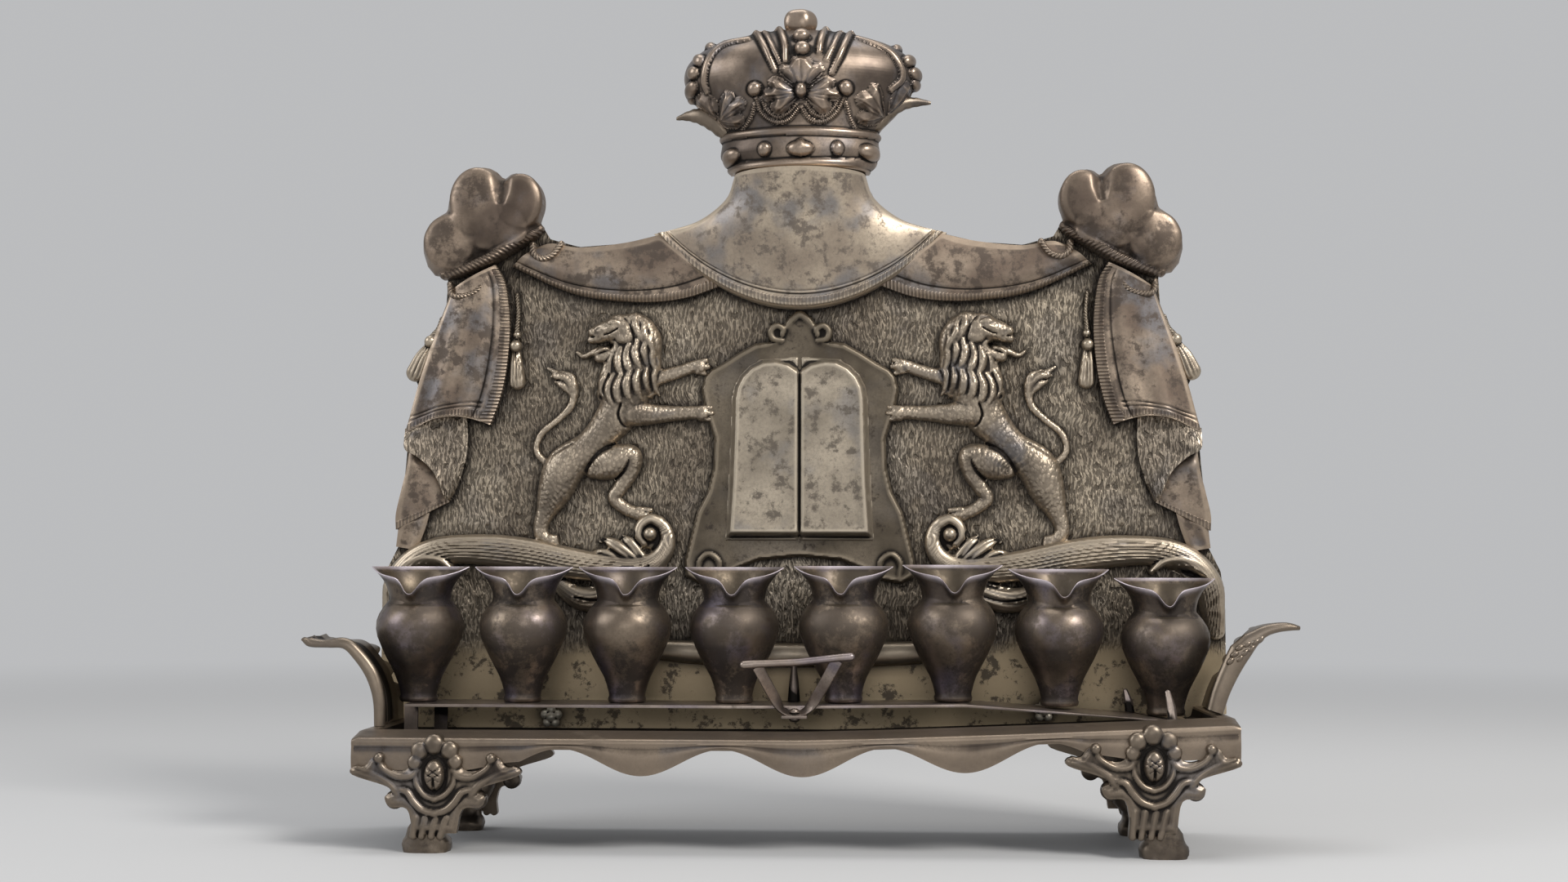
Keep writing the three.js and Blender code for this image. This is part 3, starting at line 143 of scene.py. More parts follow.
def smooth_line(stations: Sequence[Sequence[float]], steps: int = 5) -> Array:
    """Smooth line through stations.

    Args:
        stations: Rows of numbers of equal length.
        steps: Samples for each span.

    Returns:
        Sampled rows.
    """
    points = np.array(stations, float)
    line = np.vstack([2 * points[0] - points[1], points, 2 * points[-1] - points[-2]])
    t = np.linspace(0, 1, steps, endpoint=False)[:, None]
    spans = [
        0.5 * (2 * b + (c - a) * t + (2 * a - 5 * b + 4 * c - d) * t**2 + (3 * b - a - 3 * c + d) * t**3)
        for a, b, c, d in zip(line, line[1:], line[2:], line[3:])
    ]
    return np.vstack([*spans, points[-1:]])


def soft_step(value: Array) -> Array:
    """Smooth step from 0 to 1."""
    share = np.clip(value, 0, 1)
    return share * share * (3 - 2 * share)


@dataclass
class Surface:
    """Sampled relief: how far inside the outline, height, and the run of fine cross lines."""

    inside: Array
    height: Array
    lines_at: Array
    lines_on: Array

    @classmethod
    def empty(cls, x: Array) -> "Surface":
        """A surface with nothing on it."""
        return cls(np.full(x.shape, FAR), np.full(x.shape, FAR), np.zeros(x.shape), np.zeros(x.shape))


class Form:
    """One raised form of a relief."""

    def extent(self) -> tuple[float, float, float, float]:
        """Lowest and highest X and Z."""
        raise NotImplementedError

    def sample(self, x: Array, z: Array) -> Surface:
        """The form at places on the plate."""
        raise NotImplementedError


def nearest_on(line: Array, x: Array, z: Array) -> tuple[Array, Array, Array, Array, Array]:
    """Finds where a tapering line covers places best.

    Args:
        line: Rows of X, Z, radius and lift.
        x: X of the places.
        z: Z of the places.

    Returns:
        Depth inside the line, its radius, lift, share across and length run there.
    """
    inside = np.full(x.shape, -1e3)
    radius, lift, across, run = np.ones(x.shape), np.zeros(x.shape), np.zeros(x.shape), np.zeros(x.shape)
    passed = 0.0
    for a, b in zip(line, line[1:]):
        dx, dz = b[0] - a[0], b[1] - a[1]
        length = math.hypot(dx, dz)
        if length < 1e-6:
            continue
        t = np.clip(((x - a[0]) * dx + (z - a[1]) * dz) / length**2, 0, 1)
        ox, oz = x - a[0] - t * dx, z - a[1] - t * dz
        here = a[2] + (b[2] - a[2]) * t
        depth = here - np.hypot(ox, oz)
        take = depth > inside
        inside[take] = depth[take]
        radius[take] = here[take]
        lift[take] = (a[3] + (b[3] - a[3]) * t)[take]
        across[take] = ((dx * oz - dz * ox) / length / here)[take]
        run[take] = (passed + t * length)[take]
        passed += length
    return inside, radius, lift, across, run


@dataclass(frozen=True)
class Bar(Form):
    """Rounded bar along a smooth line, from stations of x, y, radius and lift in pixels."""

    stations: Pixels
    flat: float = 1.0
    flutes: float = 0.0
    groove: float = 0.0
    hatch: float = 0.0
    slant: float = 0.0
    reach: float = 3.0

    def line(self) -> Array:
        """Samples the line.

        Returns:
            Rows of X, Z, radius and lift in millimetres.
        """
        rows = smooth_line([(*row, 0.0)[:4] for row in self.stations])
        x, z = PLATE.place(rows[:, 0], rows[:, 1])
        radius = np.maximum(rows[:, 2], THINNEST)
        return np.column_stack([x, z, radius * PLATE.across, rows[:, 3] * PLATE.across])

    def extent(self) -> tuple[float, float, float, float]:
        """Lowest and highest X and Z."""
        x, z, radius, _ = self.line().T
        return (x - radius).min(), (x + radius).max(), (z - radius).min(), (z + radius).max()

    def sample(self, x: Array, z: Array) -> Surface:
        """The bar at places on the plate.

        Args:
            x: X of the places in millimetres.
            z: Z of the places in millimetres.

        Returns:
            Its surface there.
        """
        out = Surface.empty(x)
        x0, x1, z0, z1 = self.extent()
        near = (x > x0 - self.reach) & (x < x1 + self.reach) & (z > z0 - self.reach) & (z < z1 + self.reach)
        if not near.any():
            return out
        inside, radius, lift, across, run = nearest_on(self.line(), x[near], z[near])
        swell = np.sqrt(np.clip(1 - ((radius - inside) / radius) ** 2, 0, 1))
        height = np.where(inside > 0, lift + self.flat * radius * swell, lift + WALL_SLOPE * inside)
        if self.flutes:
            height = height - self.groove * (0.5 + 0.5 * np.cos(math.pi * self.flutes * across)) * swell
        out.inside[near] = inside
        out.height[near] = height
        if self.hatch:
            out.lines_at[near] = (run + self.slant * across * radius) / self.hatch
            out.lines_on[near] = (inside > 0).astype(float)
        return out


@dataclass(frozen=True)
class Lump(Form):
    """Rounded boss: x, y, radii across and up and lift in pixels, and its depth as a share of them."""

    x: float
    y: float
    rx: float
    rz: float
    lift: float = 0.0
    deep: float = 1.0

    def sizes(self) -> tuple[float, float, float, float]:
        """Centre and radii in millimetres."""
        cx, cz = PLATE.place(self.x, self.y)
        return cx, cz, self.rx * PLATE.across, self.rz * PLATE.up

    def extent(self) -> tuple[float, float, float, float]:
        """Lowest and highest X and Z."""
        cx, cz, rx, rz = self.sizes()
        return cx - rx, cx + rx, cz - rz, cz + rz

    def sample(self, x: Array, z: Array) -> Surface:
        """The boss at places on the plate.

        Args:
            x: X of the places in millimetres.
            z: Z of the places in millimetres.

        Returns:
            Its surface there.
        """
        out = Surface.empty(x)
        cx, cz, rx, rz = self.sizes()
        far = np.hypot((x - cx) / rx, (z - cz) / rz)
        out.inside = (1 - far) * min(rx, rz)
        rise = self.deep * (rx + rz) / 2 * np.sqrt(np.clip(1 - far**2, 0, 1))
        lift = self.lift * PLATE.across
        out.height = np.where(far < 1, lift + rise, lift + WALL_SLOPE * out.inside)
        return out


@dataclass(frozen=True)
class Tablet(Form):
    """Flat form cut to an outline in pixels, with a sloped rim."""

    outline: Pixels
    rise: float
    slope: float
    lift: float = 0.0
    dish: float = 0.0
    domed: bool = False

    def extent(self) -> tuple[float, float, float, float]:
        """Lowest and highest X and Z."""
        x, z = PLATE.place(*np.array(self.outline, float).T)
        return x.min(), x.max(), z.min(), z.max()

    def sample(self, x: Array, z: Array) -> Surface:
        """The flat form at places on the plate.

        Args:
            x: X of the places in millimetres.
            z: Z of the places in millimetres.

        Returns:
            Its surface there.
        """
        out = Surface.empty(x)
        px, pz = PLATE.place(*np.array(self.outline, float).T)
        least, within = np.full(x.shape, 1e9), np.zeros(x.shape, bool)
        for ax, az, bx, bz in zip(px, pz, np.roll(px, -1), np.roll(pz, -1)):
            dx, dz = bx - ax, bz - az
            t = np.clip(((x - ax) * dx + (z - az) * dz) / max(dx * dx + dz * dz, 1e-9), 0, 1)
            least = np.minimum(least, np.hypot(x - ax - t * dx, z - az - t * dz))
            if dz:
                within ^= ((az > z) != (bz > z)) & (x < dx * (z - az) / dz + ax)
        out.inside = np.where(within, least, -least)
        share = soft_step(out.inside / self.slope)
        if self.domed:
            share = np.sqrt(1 - (1 - np.clip(out.inside / self.slope, 0, 1)) ** 2)
        rim = self.dish * np.exp(-(((out.inside - self.slope) / self.slope) ** 2))
        out.height = self.lift + np.where(out.inside > 0, self.rise * share + rim, WALL_SLOPE * out.inside)
        return out


@dataclass(frozen=True)
class Carving:
    """Line carved into a relief, from stations of x, y and radius in pixels."""

    stations: Pixels
    depth: float

    def amount(self, x: Array, z: Array) -> Array:
        """How deep the line is cut at places on the plate.

        Args:
            x: X of the places in millimetres.
            z: Z of the places in millimetres.

        Returns:
            The depth there.
        """
        bar = Bar(self.stations)
        out = np.zeros(x.shape)
        x0, x1, z0, z1 = bar.extent()
        near = (x > x0) & (x < x1) & (z > z0) & (z < z1)
        if near.any():
            inside, radius, _, _, _ = nearest_on(bar.line(), x[near], z[near])
            out[near] = self.depth * np.clip(1 - ((radius - inside) / radius) ** 2, 0, 1) ** 2
        return out


def blend_forms(forms: Sequence[Form], cuts: Sequence[Carving], blend: float, x: Array,
                z: Array) -> Surface:
    """Melts forms into one relief.

    Args:
        forms: Raised forms.
        cuts: Carved lines.
        blend: Width over which neighbours melt into each other.
        x: X of the places.
        z: Z of the places.

    Returns:
        The joined surface.
    """
    total = Surface.empty(x)
    for form in forms:
        part = form.sample(x, z)
        top = part.height > total.height
        total.lines_at[top] = part.lines_at[top]
        total.lines_on[top] = part.lines_on[top]
        near = np.clip(blend - np.abs(part.height - total.height), 0, None)
        melt = near * near / (4 * blend)
        total.height = np.maximum(part.height, total.height) + melt
        total.inside = np.maximum(total.inside, part.inside)
    for cut in cuts:
        total.height = total.height - cut.amount(x, z)
    return total


def new_object(name: str, mesh: Mesh, material: Material, sharp: float = 50.0, soften: int = 14) -> Object:
    """Makes a finished object of a built mesh.

    Args:
        name: Name of the piece.
        mesh: The built mesh, freed here.
        material: Its finish.
        sharp: Angle in degrees past which an edge stays sharp.
        soften: Rounds of softening that its ridges are measured against.

    Returns:
        The object, at the origin.
    """
    for face in mesh.faces:
        face.smooth = True
    for edge in mesh.edges:
        edge.smooth = not (edge.is_manifold and edge.calc_face_angle(0) > math.radians(sharp))
    data = bpy.data.meshes.new(name)
    mesh.to_mesh(data)
    mesh.free()
    data.materials.append(material)
    piece = bpy.data.objects.new(name, data)
    bpy.context.scene.collection.objects.link(piece)
    mark_ridges(data, soften)
    return piece


def mark_ridges(data: bpy.types.Mesh, passes: int) -> None:
    """Stores how far each point stands over its softened surroundings, for wear and dirt.

    Args:
        data: Mesh to mark, with the attribute "ridge" in millimetres.
        passes: Rounds of softening.
    """
    count = len(data.vertices)
    place, normal = np.empty(count * 3), np.empty(count * 3)
    data.vertices.foreach_get("co", place)
    data.vertices.foreach_get("normal", normal)
    place, normal = place.reshape(-1, 3), normal.reshape(-1, 3)
    ends = np.empty(len(data.edges) * 2, int)
    data.edges.foreach_get("vertices", ends)
    a, b = ends[0::2], ends[1::2]
    share = 1 / np.maximum(np.bincount(ends, minlength=count), 1)
    soft = place.copy()
    for _ in range(passes):
        total = np.zeros_like(soft)
        for k in range(3):
            total[:, k] = np.bincount(a, soft[b, k], count) + np.bincount(b, soft[a, k], count)
        soft = 0.4 * soft + 0.6 * total * share[:, None]
    stand = ((place - soft) * normal).sum(1) / MM
    layer = data.attributes.new("ridge", "FLOAT", "POINT")
    layer.data.foreach_set("value", stand.astype(np.float32))


def hang(piece: Object, body: Body, slot: str, *nodes: str) -> None:
    """Fixes a finished piece to its body, in place of the frame's solids.

    Args:
        piece: The piece.
        body: Body that it moves with.
        slot: Material slot; not used.
        *nodes: Solids that it stands for.
    """
    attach(piece, body.value)
    if nodes:
        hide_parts(*nodes)
    log.info("%s: %d faces on %s", piece.name, len(piece.data.polygons), body.value)


@dataclass
class ReliefPiece:
    """Repousse ornament raised from a grid laid on the backplate."""

    name: str
    forms: Sequence[Form]
    cuts: Sequence[Carving] = ()
    side: Side = Side.LEFT
    cell: float = 0.45
    blend: float = 0.9

    def sample(self, x: Array, z: Array) -> Surface:
        """The relief at places on the plate, turned over for the right-hand side."""
        return blend_forms(self.forms, self.cuts, self.blend, x if self.side is Side.LEFT else -x, z)

    def front(self) -> Mesh:
        """Raises the grid and cuts it to the outline.

        Returns:
            The front, still open behind.
        """
        spans = np.array([form.extent() for form in self.forms])
        (x0, _, z0, _), (_, x1, _, z1) = spans.min(axis=0) - 1, spans.max(axis=0) + 1
        if self.side is Side.RIGHT:
            x0, x1 = -x1, -x0
        across, up = int((x1 - x0) / self.cell), int((z1 - z0) / self.cell)
        bm = bmesh.new()
        bmesh.ops.create_grid(bm, x_segments=across, y_segments=up, size=0.5)
        bmesh.ops.scale(bm, vec=(x1 - x0, z1 - z0, 1), verts=bm.verts)
        bmesh.ops.translate(bm, vec=((x0 + x1) / 2, (z0 + z1) / 2, 0), verts=bm.verts)
        bm.verts.index_update()
        inside = self.sample(*np.array([v.co[:2] for v in bm.verts]).T).inside
        outside = [f for f in bm.faces if all(inside[v.index] < 0 for v in f.verts)]
        bmesh.ops.delete(bm, geom=outside, context="FACES")
        x, z = self._to_outline(*np.array([v.co[:2] for v in bm.verts]).T)
        found = self.sample(x, z)
        at, on = bm.verts.layers.float.new("lines_at"), bm.verts.layers.float.new("lines_on")
        height = np.maximum(found.height, LEAST_EDGE)
        for i, v in enumerate(bm.verts):
            v.co = Vector((x[i], PLATE.front - height[i], z[i])) * MM
            v[at], v[on] = found.lines_at[i], found.lines_on[i]
        return bm

    def build(self, material: Material) -> Object:
        """Raises the relief and closes its back.

        Args:
            material: Finish of the piece.

        Returns:
            The piece.
        """
        bm = self.front()
        close_back(bm)
        return new_object(self.name, bm, material)

    def _to_outline(self, x: Array, z: Array) -> tuple[Array, Array]:
        """Moves the points outside the outline on to it.

        Args:
            x: X of the points.
            z: Z of the points.

        Returns:
            X and Z of the moved points.
        """
        step, rounds, least_slope = 0.02, 3, 0.3
        for _ in range(rounds):
            here = self.sample(x, z).inside
            out = here < 0
            if not out.any():
                break
            gx = (self.sample(x[out] + step, z[out]).inside - here[out]) / step
            gz = (self.sample(x[out], z[out] + step).inside - here[out]) / step
            size = np.maximum(gx * gx + gz * gz, least_slope)
            shift = np.clip(here[out], -self.cell, 0)
            x[out] -= shift * gx / size
            z[out] -= shift * gz / size
        return x, z


def close_back(bm: Mesh) -> None:
    """Draws the open border of a raised sheet back to the plate and closes it.

    Args:
        bm: Mesh of the sheet.
    """
    border = [e for e in bm.edges if e.is_boundary]
    drawn = bmesh.ops.extrude_edge_only(bm, edges=border)["geom"]
    for v in drawn:
        if isinstance(v, bmesh.types.BMVert):
            v.co.y = (PLATE.front - BACK_GAP) * MM
    rim = [e for e in drawn if isinstance(e, bmesh.types.BMEdge)]
    bmesh.ops.triangle_fill(bm, edges=rim, use_beauty=True, normal=(0, 1, 0))
    bmesh.ops.recalc_face_normals(bm, faces=bm.faces)


def sheet_piece(name: str, material: Material, *panels: tuple[tuple[int, int], Shape]) -> Object:
    """Builds a draped or bulging piece from panels.

    Args:
        name: Name of the piece.
        material: Finish of the piece.
        *panels: Cells across and down of each panel, and what gives its shape, as add_sheet says.

    Returns:
        The piece.
    """
    bm = bmesh.new()
    for cells, shape in panels:
        add_sheet(bm, cells, shape)
    return new_object(name, bm, material)


def add_sheet(bm: Mesh, cells: tuple[int, int], shape: Shape) -> None:
    """Adds one panel to a mesh, from a grid of two shares, closed at the plate.

    Args:
        bm: Mesh that it joins.
        cells: Cells across and down.
        shape: Gives X, Y, Z in millimetres, and the run and mask of fine lines.
    """
    part = bmesh.new()
    bmesh.ops.create_grid(part, x_segments=cells[0], y_segments=cells[1], size=0.5)
    flat = np.array([v.co[:2] for v in part.verts]) + 0.5
    x, y, z, lines_at, lines_on = shape(flat[:, 0], 1 - flat[:, 1])
    at, on = part.verts.layers.float.new("lines_at"), part.verts.layers.float.new("lines_on")
    for i, v in enumerate(part.verts):
        v.co = Vector((x[i], y[i], z[i])) * MM
        v[at], v[on] = lines_at[i], lines_on[i]
    close_back(part)
    merge_into(bm, part)


def merge_into(bm: Mesh, part: Mesh) -> None:
    """Moves a part into another mesh.

    Args:
        bm: Mesh that it joins.
        part: The part, freed here.
    """
    data = bpy.data.meshes.new("part")
    part.to_mesh(data)
    part.free()
    bm.from_mesh(data)
    bpy.data.meshes.remove(data)


def sweep(rings: Sequence[Array], lips: Sequence[float] | None = None) -> Mesh:
    """Draws a ring of points through further rings and closes both ends.

    Args:
        rings: Rows of points in millimetres, the same number in each.
        lips: A value for each ring, stored on the mesh as "lip".

    Returns:
        The mesh.
    """
    bm = bmesh.new()
    bmesh.ops.create_circle(bm, segments=len(rings[0]), radius=1.0, cap_ends=False)
    layer = bm.verts.layers.float.new("lip") if lips else None
    current, first = list(bm.verts), list(bm.edges)
    loop = first
    for v, place in zip(current, rings[0]):
        v.co = Vector(place) * MM
    for number, ring in enumerate(rings[1:], 1):
        drawn = bmesh.ops.extrude_edge_only(bm, edges=loop)["geom"]
        fresh = {g for g in drawn if isinstance(g, bmesh.types.BMVert)}
        loop = [g for g in drawn if isinstance(g, bmesh.types.BMEdge) and all(v in fresh for v in g.verts)]
        current = [next(e.other_vert(v) for e in v.link_edges if e.other_vert(v) in fresh) for v in current]
        for v, place in zip(current, ring):
            v.co = Vector(place) * MM
            if lips:
                v[layer] = lips[number]
    for edges in (first, loop):
        bmesh.ops.holes_fill(bm, edges=edges, sides=0)
    bmesh.ops.recalc_face_normals(bm, faces=bm.faces)
    return bm


def round_ring(centre: Array, wide: Array, high: Array, count: int, square: float = 1.0) -> Array:
    """Ring of points round a centre.

    Args:
        centre: Its centre.
        wide: One half axis.
        high: The other half axis.
        count: Number of points.
        square: 1 for an ellipse, less for a boxier ring.

    Returns:
        Rows of points.
    """
    turn = 2 * np.pi * (np.arange(count) + 0.5) / count
    c, s = np.cos(turn), np.sin(turn)
    c, s = np.sign(c) * np.abs(c) ** square, np.sign(s) * np.abs(s) ** square
    return centre + np.outer(c, wide) + np.outer(s, high)


def rod(stations: Sequence[Sequence[float]], count: int, steps: int) -> Mesh:
    """Round rod that lies across, its tips rounded.

    Args:
        stations: X, Y, Z and radius in millimetres.
        count: Points round it.
        steps: Rings for each span.

    Returns:
        The closed mesh.
    """
    line = smooth_line(stations, steps)
    ahead = np.gradient(line[:, :3], axis=0)
    ahead /= np.linalg.norm(ahead, axis=1)[:, None]
    tip = ((0.7, 0.25), (0.5, 0.7))
    rings = []
    for i, (row, along) in enumerate(zip(line, ahead)):
        wide = np.cross(along, (0.0, -1.0, 0.0))
        wide /= np.linalg.norm(wide)
        high = np.cross(wide, along)
        places = [(0.0, 1.0)]
        if i == 0:
            places = [*((-out, share) for out, share in tip), *places]
        if i == len(line) - 1:
            places = [*places, *reversed(tip)]
        for out, share in places:
            radius = row[3]
            spot = row[:3] + along * radius * out
            rings.append(round_ring(spot, wide * radius * share, high * radius * share, count))
    return sweep(rings)


def turned(profile: Sequence[tuple[float, float]], centre: Vector, axis: Vector, steps: int) -> Mesh:
    """Spins a profile of radius and height, in millimetres, round an axis.

    Args:
        profile: Radius and distance along the axis, from end to end.
        centre: Foot of the axis in millimetres.
        axis: Direction of the axis.
        steps: Facets round it.

    Returns:
        The closed mesh.
    """
    bm = bmesh.new()
    side = axis.orthogonal().normalized()
    verts = [bm.verts.new((centre + axis * h + side * r) * MM) for r, h in profile]
    edges = [bm.edges.new(pair) for pair in zip(verts, verts[1:])]
    bmesh.ops.spin(bm, geom=[*verts, *edges], cent=centre * MM, axis=axis, angle=2 * math.pi, steps=steps,
                   use_merge=True)
    bmesh.ops.remove_doubles(bm, verts=bm.verts, dist=WELD)
    bmesh.ops.recalc_face_normals(bm, faces=bm.faces)
    return bm


def softened_copy(node: str, name: str, material: Material, wide: float) -> Object:
    """Copy of a solid of the frame with its hard edges rounded.

    Args:
        node: Solid that is copied.
        name: Name of the piece.
        material: Its finish.
        wide: Width of the rounding in millimetres.

    Returns:
        The piece.
    """
    flat, hard = math.radians(3), math.radians(35)
    bm = bmesh.new()
    bm.from_mesh(frame["nodes"][node].data)
    bmesh.ops.remove_doubles(bm, verts=bm.verts, dist=WELD)
    bmesh.ops.dissolve_limit(bm, angle_limit=flat, verts=bm.verts, edges=bm.edges)
    edges = [e for e in bm.edges if e.is_manifold and e.calc_face_angle(0) > hard]
    bmesh.ops.bevel(bm, geom=edges, offset=wide * MM, affect="EDGES", segments=3, profile=0.5, material=-1,
                    clamp_overlap=True)
    bmesh.ops.triangulate(bm, faces=[f for f in bm.faces if len(f.verts) > 4])
    return new_object(name, bm, material)


class Chasing(enum.Enum):
    """Fine punch work on a finish."""

    PLAIN = "plain"
    GROUND = "ground"
    HIDE = "hide"


Colour = tuple[float, float, float]
Socket = bpy.types.NodeSocket
Node = bpy.types.Node


@dataclass
class Wiring:
    """Places and joins the nodes of one tree."""

    tree: bpy.types.NodeTree

    def put(self, kind: str, inputs: dict[str | int, object] | None = None, **settings: object) -> Node:
        """Adds a node.

        Args:
            kind: Type of the node.
            inputs: Values or sockets by input name or number.
            **settings: Properties of the node.

        Returns:
            The node.
        """
        node = self.tree.nodes.new(kind)
        for key, value in settings.items():
            setattr(node, key, value)
        for key, value in (inputs or {}).items():
            if isinstance(value, bpy.types.NodeSocket):
                self.join(value, node.inputs[key])
            else:
                node.inputs[key].default_value = value
        return node

    def join(self, value: Socket, end: Socket) -> None:
        """Joins two sockets."""
        self.tree.links.new(value, end)

    def group(self, name: str) -> Node:
        """A group built by one of the effects."""
        return self.put("ShaderNodeGroup", node_tree=bpy.data.node_groups[name])

    def coords(self) -> Socket:
        """Coordinates of the object."""
        return self.put("ShaderNodeTexCoord").outputs["Object"]

    def sum(self, operation: str, *values: object, clamp: bool = False) -> Socket:
        """One step of arithmetic."""
        node = self.put("ShaderNodeMath", dict(enumerate(values)), operation=operation, use_clamp=clamp)
        return node.outputs[0]

    def plus(self, *values: object) -> Socket:
        """Two values added."""
        return self.sum("ADD", *values)

    def less(self, *values: object) -> Socket:
        """The second value taken from the first."""
        return self.sum("SUBTRACT", *values)

    def times(self, *values: object, clamp: bool = False) -> Socket:
        """Two values multiplied."""
        return self.sum("MULTIPLY", *values, clamp=clamp)

    def ramp(self, value: Socket, low: object, high: object) -> Socket:
        """Smooth step of a value between two levels."""
        levels = {"Value": value, "From Min": low, "From Max": high}
        return self.put("ShaderNodeMapRange", levels, interpolation_type="SMOOTHSTEP").outputs["Result"]

    def blend(self, share: object, under: object, over: object, kind: str = "MIX") -> Socket:
        """Mixes two colours."""
        node = self.put("ShaderNodeMix", {0: share, 6: under, 7: over}, data_type="RGBA", blend_type=kind)
        return node.outputs[2]

    def noise(self, coords: Socket, scale: object, detail: float, rough: float = 0.55) -> Socket:
        """Noise value at coordinates."""
        levels = {"Vector": coords, "Scale": scale, "Detail": detail, "Roughness": rough}
        return self.put("ShaderNodeTexNoise", levels).outputs["Fac"]

    def stretched(self, coords: Socket, scale: Colour, turn: float = 0.0) -> Socket:
        """Coordinates scaled and turned about Y."""
        node = self.put("ShaderNodeMapping", {"Vector": coords, "Scale": scale, "Rotation": (0, turn, 0)})
        return node.outputs["Vector"]

    def mark(self, name: str) -> Socket:
        """A value stored on the mesh."""
        return self.put("ShaderNodeAttribute", attribute_name=name).outputs["Fac"]


def effect(name: str, inputs: dict[str, object], outputs: Sequence[str]) -> tuple[Wiring, dict, dict] | None:
    """Starts a shader node group, once.

    Args:
        name: Name of the group.
        inputs: Default values by name, colours as rows of four.
        outputs: Names of the results, a colour where one says so and else values.

    Returns:
        Wiring, input sockets and the sockets to feed, or None when it is there already.
    """
    if name in bpy.data.node_groups:
        return None
    tree = bpy.data.node_groups.new(name, "ShaderNodeTree")
    for key, value in inputs.items():
        kind = "NodeSocketColor" if isinstance(value, tuple) else "NodeSocketFloat"
        tree.interface.new_socket(key, in_out="INPUT", socket_type=kind).default_value = value
    for key in outputs:
        kind = "NodeSocketColor" if key == "Color" else "NodeSocketFloat"
        tree.interface.new_socket(key, in_out="OUTPUT", socket_type=kind)
    wiring = Wiring(tree)
    start, end = wiring.put("NodeGroupInput"), wiring.put("NodeGroupOutput")
    return wiring, {s.name: s for s in start.outputs}, {s.name: s for s in end.inputs}


def rgba(colour: Colour) -> tuple[float, float, float, float]:
    """Colour with full cover."""
    return (*colour, 1.0)


# Nearly black dirt in the deepest hollows, also used for the painted shade next to the plate's ornament, and
# the dirt between chased strokes.
DIRT_AND_SHADE_BLACK = rgba((0.012, 0.01, 0.009))
STROKE_DIRT = rgba((0.03, 0.024, 0.019))
# Darker brown laid over the inside of a jug, and the rubbed plain ground low on the plate.
JUG_INSIDE = rgba((0.085, 0.067, 0.046))
PLAIN_GROUND = rgba((0.39, 0.305, 0.19))


def tarnish_effect() -> None:
    """Silver, patina and tarnish in blotches, rubbed on the ridges and dirty in the hollows."""
    made = effect(
        "aged silver",
        {"Silver": (0.6, 0.5, 0.4, 1.0), "Patina": (0.3, 0.25, 0.2, 1.0), "Tarnish": (0.06, 0.05, 0.04, 1.0),
         "Bloom": (0.2, 0.2, 0.24, 1.0), "Blotch Scale": 70.0, "Blotch Share": 0.3, "Rub": 1.0, "Grime": 1.0,
         "Bloom Share": 0.3},
        ("Color", "Roughness", "Height", "Dirt"),
    )
    if made is None:
        return
    w, given, out = made
    coords = w.coords()
    broad = w.noise(coords, 38.0, 4.0)
    patches = w.noise(coords, given["Blotch Scale"], 9.0, 0.68)
    grain = w.noise(coords, 1100.0, 4.0, 0.7)
    specks = w.noise(coords, 420.0, 5.0, 0.75)
    ridge = w.mark("ridge")
    worn = w.times(w.ramp(ridge, 0.015, 0.22), given["Rub"])
    dirt = w.times(w.ramp(w.times(ridge, -1.0), 0.0, 0.2), given["Grime"], clamp=True)
    tone = w.blend(w.ramp(w.plus(broad, w.times(grain, 0.12)), 0.42, 0.72),
                   given["Patina"], given["Silver"])
    tone = w.blend(w.times(w.ramp(w.noise(coords, 55.0, 3.0), 0.5, 0.66), given["Bloom Share"]),
                   tone, given["Bloom"])
    edge = w.less(0.74, w.times(given["Blotch Share"], 0.42))
    mixed = w.plus(w.times(patches, 0.82), w.times(specks, 0.24))
    blotch = w.ramp(mixed, edge, w.plus(edge, 0.11))
    tone = w.blend(w.times(blotch, 0.85), tone, given["Tarnish"])
    tone = w.blend(w.times(w.ramp(grain, 0.35, 0.7), 0.42), tone, given["Tarnish"])
    lit = w.times(worn, w.plus(0.45, w.times(specks, 0.8)), clamp=True)
    tone = w.blend(lit, tone, given["Silver"])
    dark = w.blend(0.85, given["Tarnish"], DIRT_AND_SHADE_BLACK)
    tone = w.blend(dirt, tone, dark)
    w.join(tone, out["Color"])
    rough = w.plus(w.times(blotch, 0.16), w.times(dirt, 0.25))
    w.join(w.less(rough, w.times(lit, 0.08)), out["Roughness"])
    w.join(w.plus(w.times(broad, 0.6), w.times(specks, 0.16)), out["Height"])
    w.join(dirt, out["Dirt"])


def thread_effect() -> None:
    """Fine parallel lines across cords, fringes and hems, from values stored on the mesh."""
    made = effect("fine lines", {"Depth": 1.0}, ("Height", "Mask"))
    if made is None:
        return
    w, given, out = made
    turns = w.times(w.mark("lines_at"), 2 * math.pi)
    wave = w.plus(0.5, w.times(w.sum("SINE", turns), 0.5))
    on = w.ramp(w.mark("lines_on"), 0.4, 0.9)
    w.join(w.times(w.times(wave, on), given["Depth"]), out["Height"])
    w.join(w.times(w.less(1.0, wave), on), out["Mask"])


